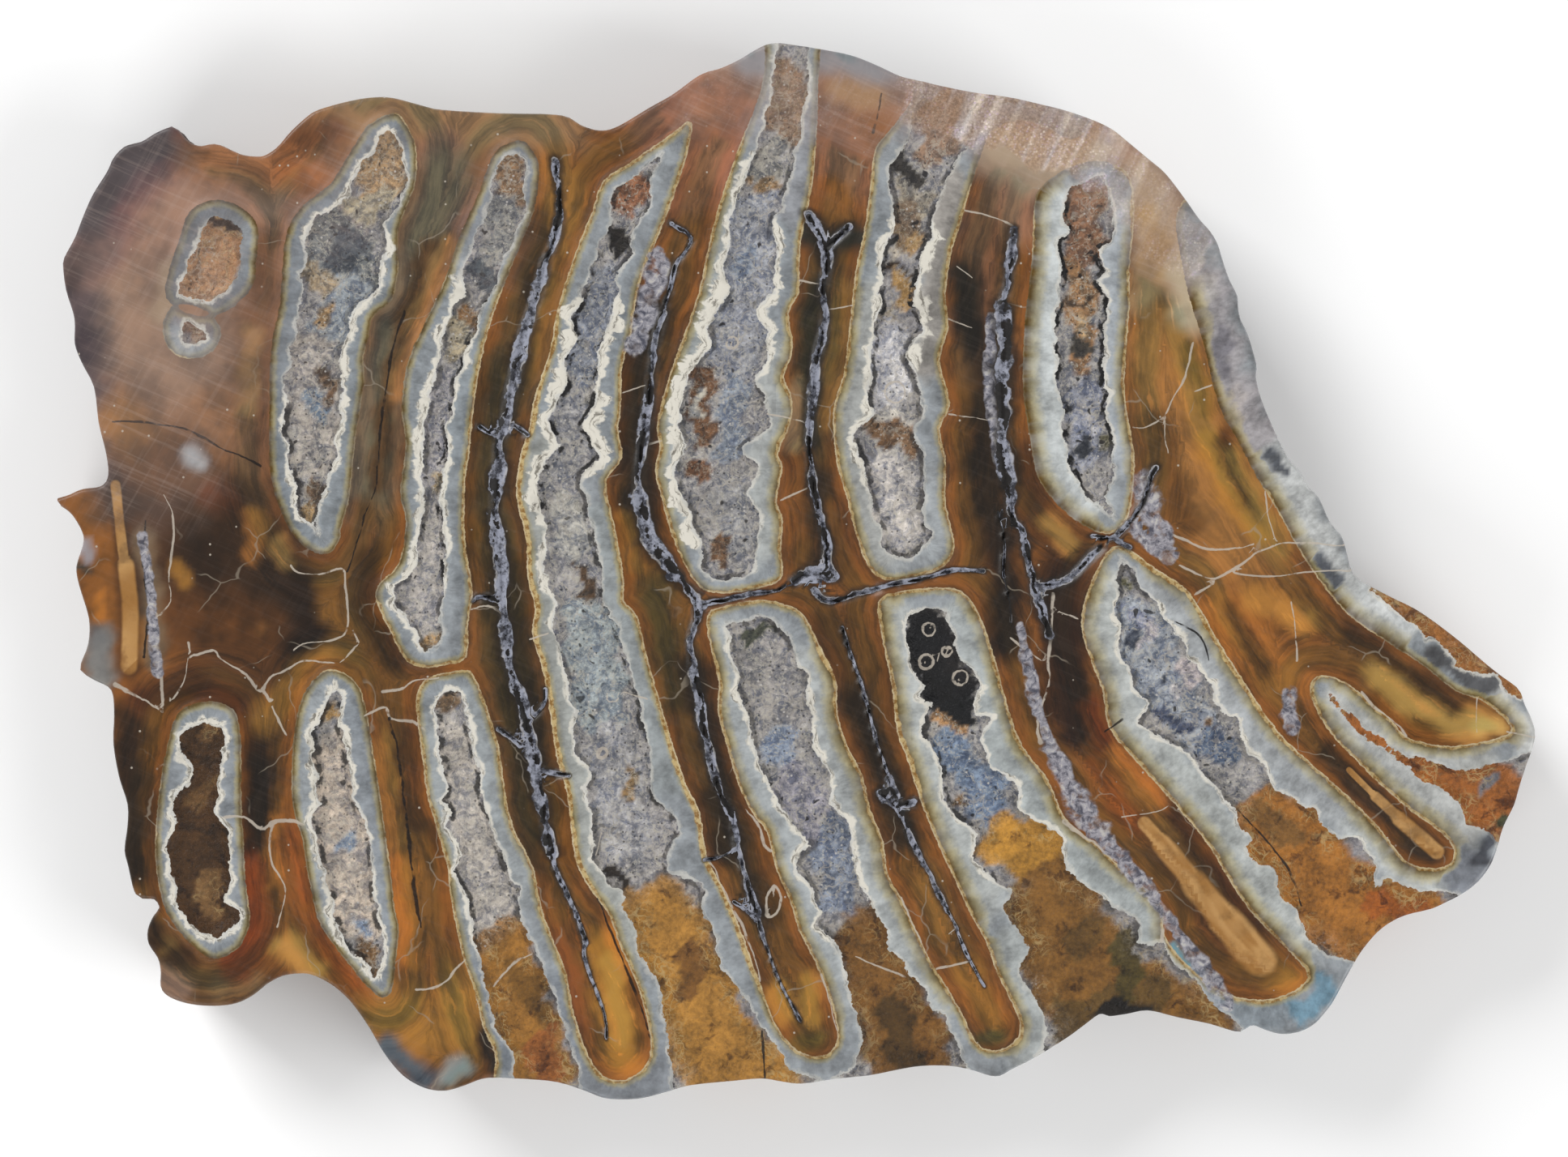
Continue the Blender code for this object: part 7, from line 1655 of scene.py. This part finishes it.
def polished_face(look, place):
    """The polished side: the tissues under a milky veil of worn, finely scratched polish and painted glare.

    Where the veil is thickest lies a painted sheen: grainy, with slanted streaks of brown, silver and cream,
    and painted pearly glints of light that gather on the pale ones.
    """
    tooth = look.use(TISSUE, Place=place)
    fine = look.use(SCRATCHES, Place=place, Angle=0.42, Fineness=3.4)["Mark"]
    second = look.use(SCRATCHES, Place=place, Angle=2.1, Fineness=2.6)["Mark"]
    # A milky, rosy veil by the fourth share: the worn, scratched polish with painted glare over it
    colour = look.lay(tooth["Color"], "a8938a", tooth["Haze"], 0.14)
    marks = look.plus(look.times(fine, 0.8), look.times(second, 0.5))
    colour = look.lay(colour, "bba79c", marks, tooth["Haze"], 0.16)
    # Painted sheen where the veil is thickest: slanted light and dark streaks, then grain
    slanted = look.use(SCRATCHES, Place=place, Angle=-1.12, Fineness=0.42)["Mark"]
    painted_sheen = look.rise(tooth["Haze"], 0.82, 1.0)
    band = look.rise(look.noise(look.lifted(place, 3.0), 0.28), 0.42, 0.60)
    sheen_streak = look.mix(slanted, tint("98765a"), look.between(band, "b2afb8", "e6d6c2"))
    colour = look.mix(look.times(painted_sheen, look.blend(slanted, 0.42, 0.66)), colour, sheen_streak)
    grain = look.rise(look.noise(place, 5.0, 2.0, 0.7), 0.3, 0.7, 0.80, 1.22)
    colour = look.mix(painted_sheen, colour, look.shaded(colour, grain))
    # Painted glints of light within the sheen
    glints = look.cells(place, 6.0)
    chosen = look.rise(look.part(glints["Color"], 1), 0.1, 0.8)
    patchy = look.rise(look.noise(place, 0.5, 3.0), 0.36, 0.56)
    glint = look.times(look.fall(glints["Distance"], 0.1, 0.75), chosen, painted_sheen, patchy,
                       look.blend(slanted, 0.35, 1.0), 0.85)
    colour = look.mix(glint, colour, look.between(look.part(glints["Color"], 0), "c3a6cc", "fbf0dc"))
    rough = look.plus(tooth["Roughness"], look.times(tooth["Haze"], 0.12))
    return colour, rough, tooth["Height"]


def natural_rim(look, place):
    """The broken outside: the tissues under a dull brown skin, rough and pitted."""
    tooth = look.use(TISSUE, Place=place)
    lumps = look.noise(place, 0.6, 4.0, 0.6)
    grit = look.noise(place, 3.0, 4.0, 0.65)
    colour = look.shaded(tooth["Color"], look.rise(lumps, 0.3, 0.7, 0.5, 0.95))
    colour = look.lay(colour, "4a382c", look.rise(grit, 0.4, 0.62, 0.15, 0.6))
    height = look.plus(look.times(tooth["Height"], 0.8), look.times(lumps, 0.35), look.times(grit, 0.14))
    return colour, look.rise(grit, 0.3, 0.7, 0.62, 0.86), height


def sawn_back(look, place):
    """The sawn side: the tissues paler and dull, under the saw's straight marks."""
    tooth = look.use(TISSUE, Place=place)
    marks = look.use(SCRATCHES, Place=place, Angle=0.15, Fineness=1.6)["Mark"]
    colour = look.lay(look.shaded(tooth["Color"], 0.95), "9a8c80", 0.22)
    colour = look.lay(colour, "bcb0a4", marks, 0.35)
    height = look.minus(look.times(tooth["Height"], 0.5), look.times(marks, 0.03))
    return colour, look.rise(marks, 0.0, 1.0, 0.55, 0.72), height


def plain_floor():
    """A wide pale sheet, which the slice lies on."""
    material = bpy.data.materials.new("pale_paper")
    material.use_nodes = True
    shader = material.node_tree.nodes["Principled BSDF"]
    shader.inputs["Base Color"].default_value = tint("f4f4f4")
    shader.inputs["Roughness"].default_value = 0.9
    half = 1.5
    corners = [(-half, -half, 0), (half, -half, 0), (half, half, 0), (-half, half, 0)]
    mesh = bpy.data.meshes.new("floor_sheet")
    mesh.from_pydata(corners, [], [(0, 1, 2, 3)])
    mesh.materials.append(material)
    return placed("floor", mesh)


def placed(name, data):
    """An object in the scene around some data."""
    holder = bpy.data.objects.new(name, data)
    bpy.context.scene.collection.objects.link(holder)
    return holder


def soft_light(name, place, size, power):
    """A square lamp that faces the slice's middle. The place and size are in metres."""
    lamp = bpy.data.lights.new(name, "AREA")
    lamp.shape = "SQUARE"
    lamp.size = size
    lamp.energy = power
    holder = placed(name, lamp)
    holder.location = place
    holder.rotation_euler = (-holder.location).to_track_quat("-Z", "Y").to_euler()


def soft_studio():
    """Even white surroundings, a key from the upper left and fills from the right and the lower left."""
    world = bpy.data.worlds.new("studio")
    world.use_nodes = True
    backdrop = world.node_tree.nodes["Background"]
    backdrop.inputs["Color"].default_value = (1.0, 1.0, 1.0, 1.0)
    backdrop.inputs["Strength"].default_value = 0.36
    bpy.context.scene.world = world
    soft_light("key", (-0.50, 0.55, 0.42), 0.40, 6.2)
    soft_light("fill", (0.66, -0.30, 0.40), 0.50, 4.4)
    soft_light("rear_fill", (-0.35, -0.65, 0.42), 0.50, 2.6)
    bpy.context.scene.view_settings.view_transform = "Standard"


def overhead_camera():
    """A camera straight above the picture's middle, as far up as makes VIEW_WIDTH fill the frame."""
    camera = bpy.data.cameras.new("overhead")
    camera.lens = LENS
    camera.sensor_width = SENSOR
    camera.clip_start = 0.01
    holder = placed("overhead", camera)
    far = VIEW_WIDTH * LENS / SENSOR
    holder.location = (VIEW_CENTRE[0] * MM, VIEW_CENTRE[1] * MM, (THICKNESS + far) * MM)
    bpy.context.scene.camera = holder


SCRATCHES = saw_scratches()
TISSUE = tooth_tissue(dentine_look(), enamel_look(), cement_look())

slice_piece = placed("polished_slice", tooth("slice_skin"))
for finish in (
        finish_material("polished_tooth", polished_face, {"IOR": 1.52, "Specular IOR Level": 0.3}),
        finish_material("natural_rim", natural_rim, {"Specular IOR Level": 0.35}),
        finish_material("sawn_back", sawn_back, {"Specular IOR Level": 0.35})):
    slice_piece.data.materials.append(finish)
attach(slice_piece, "root")
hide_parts("tooth_slice")
plain_floor()
soft_studio()
overhead_camera()
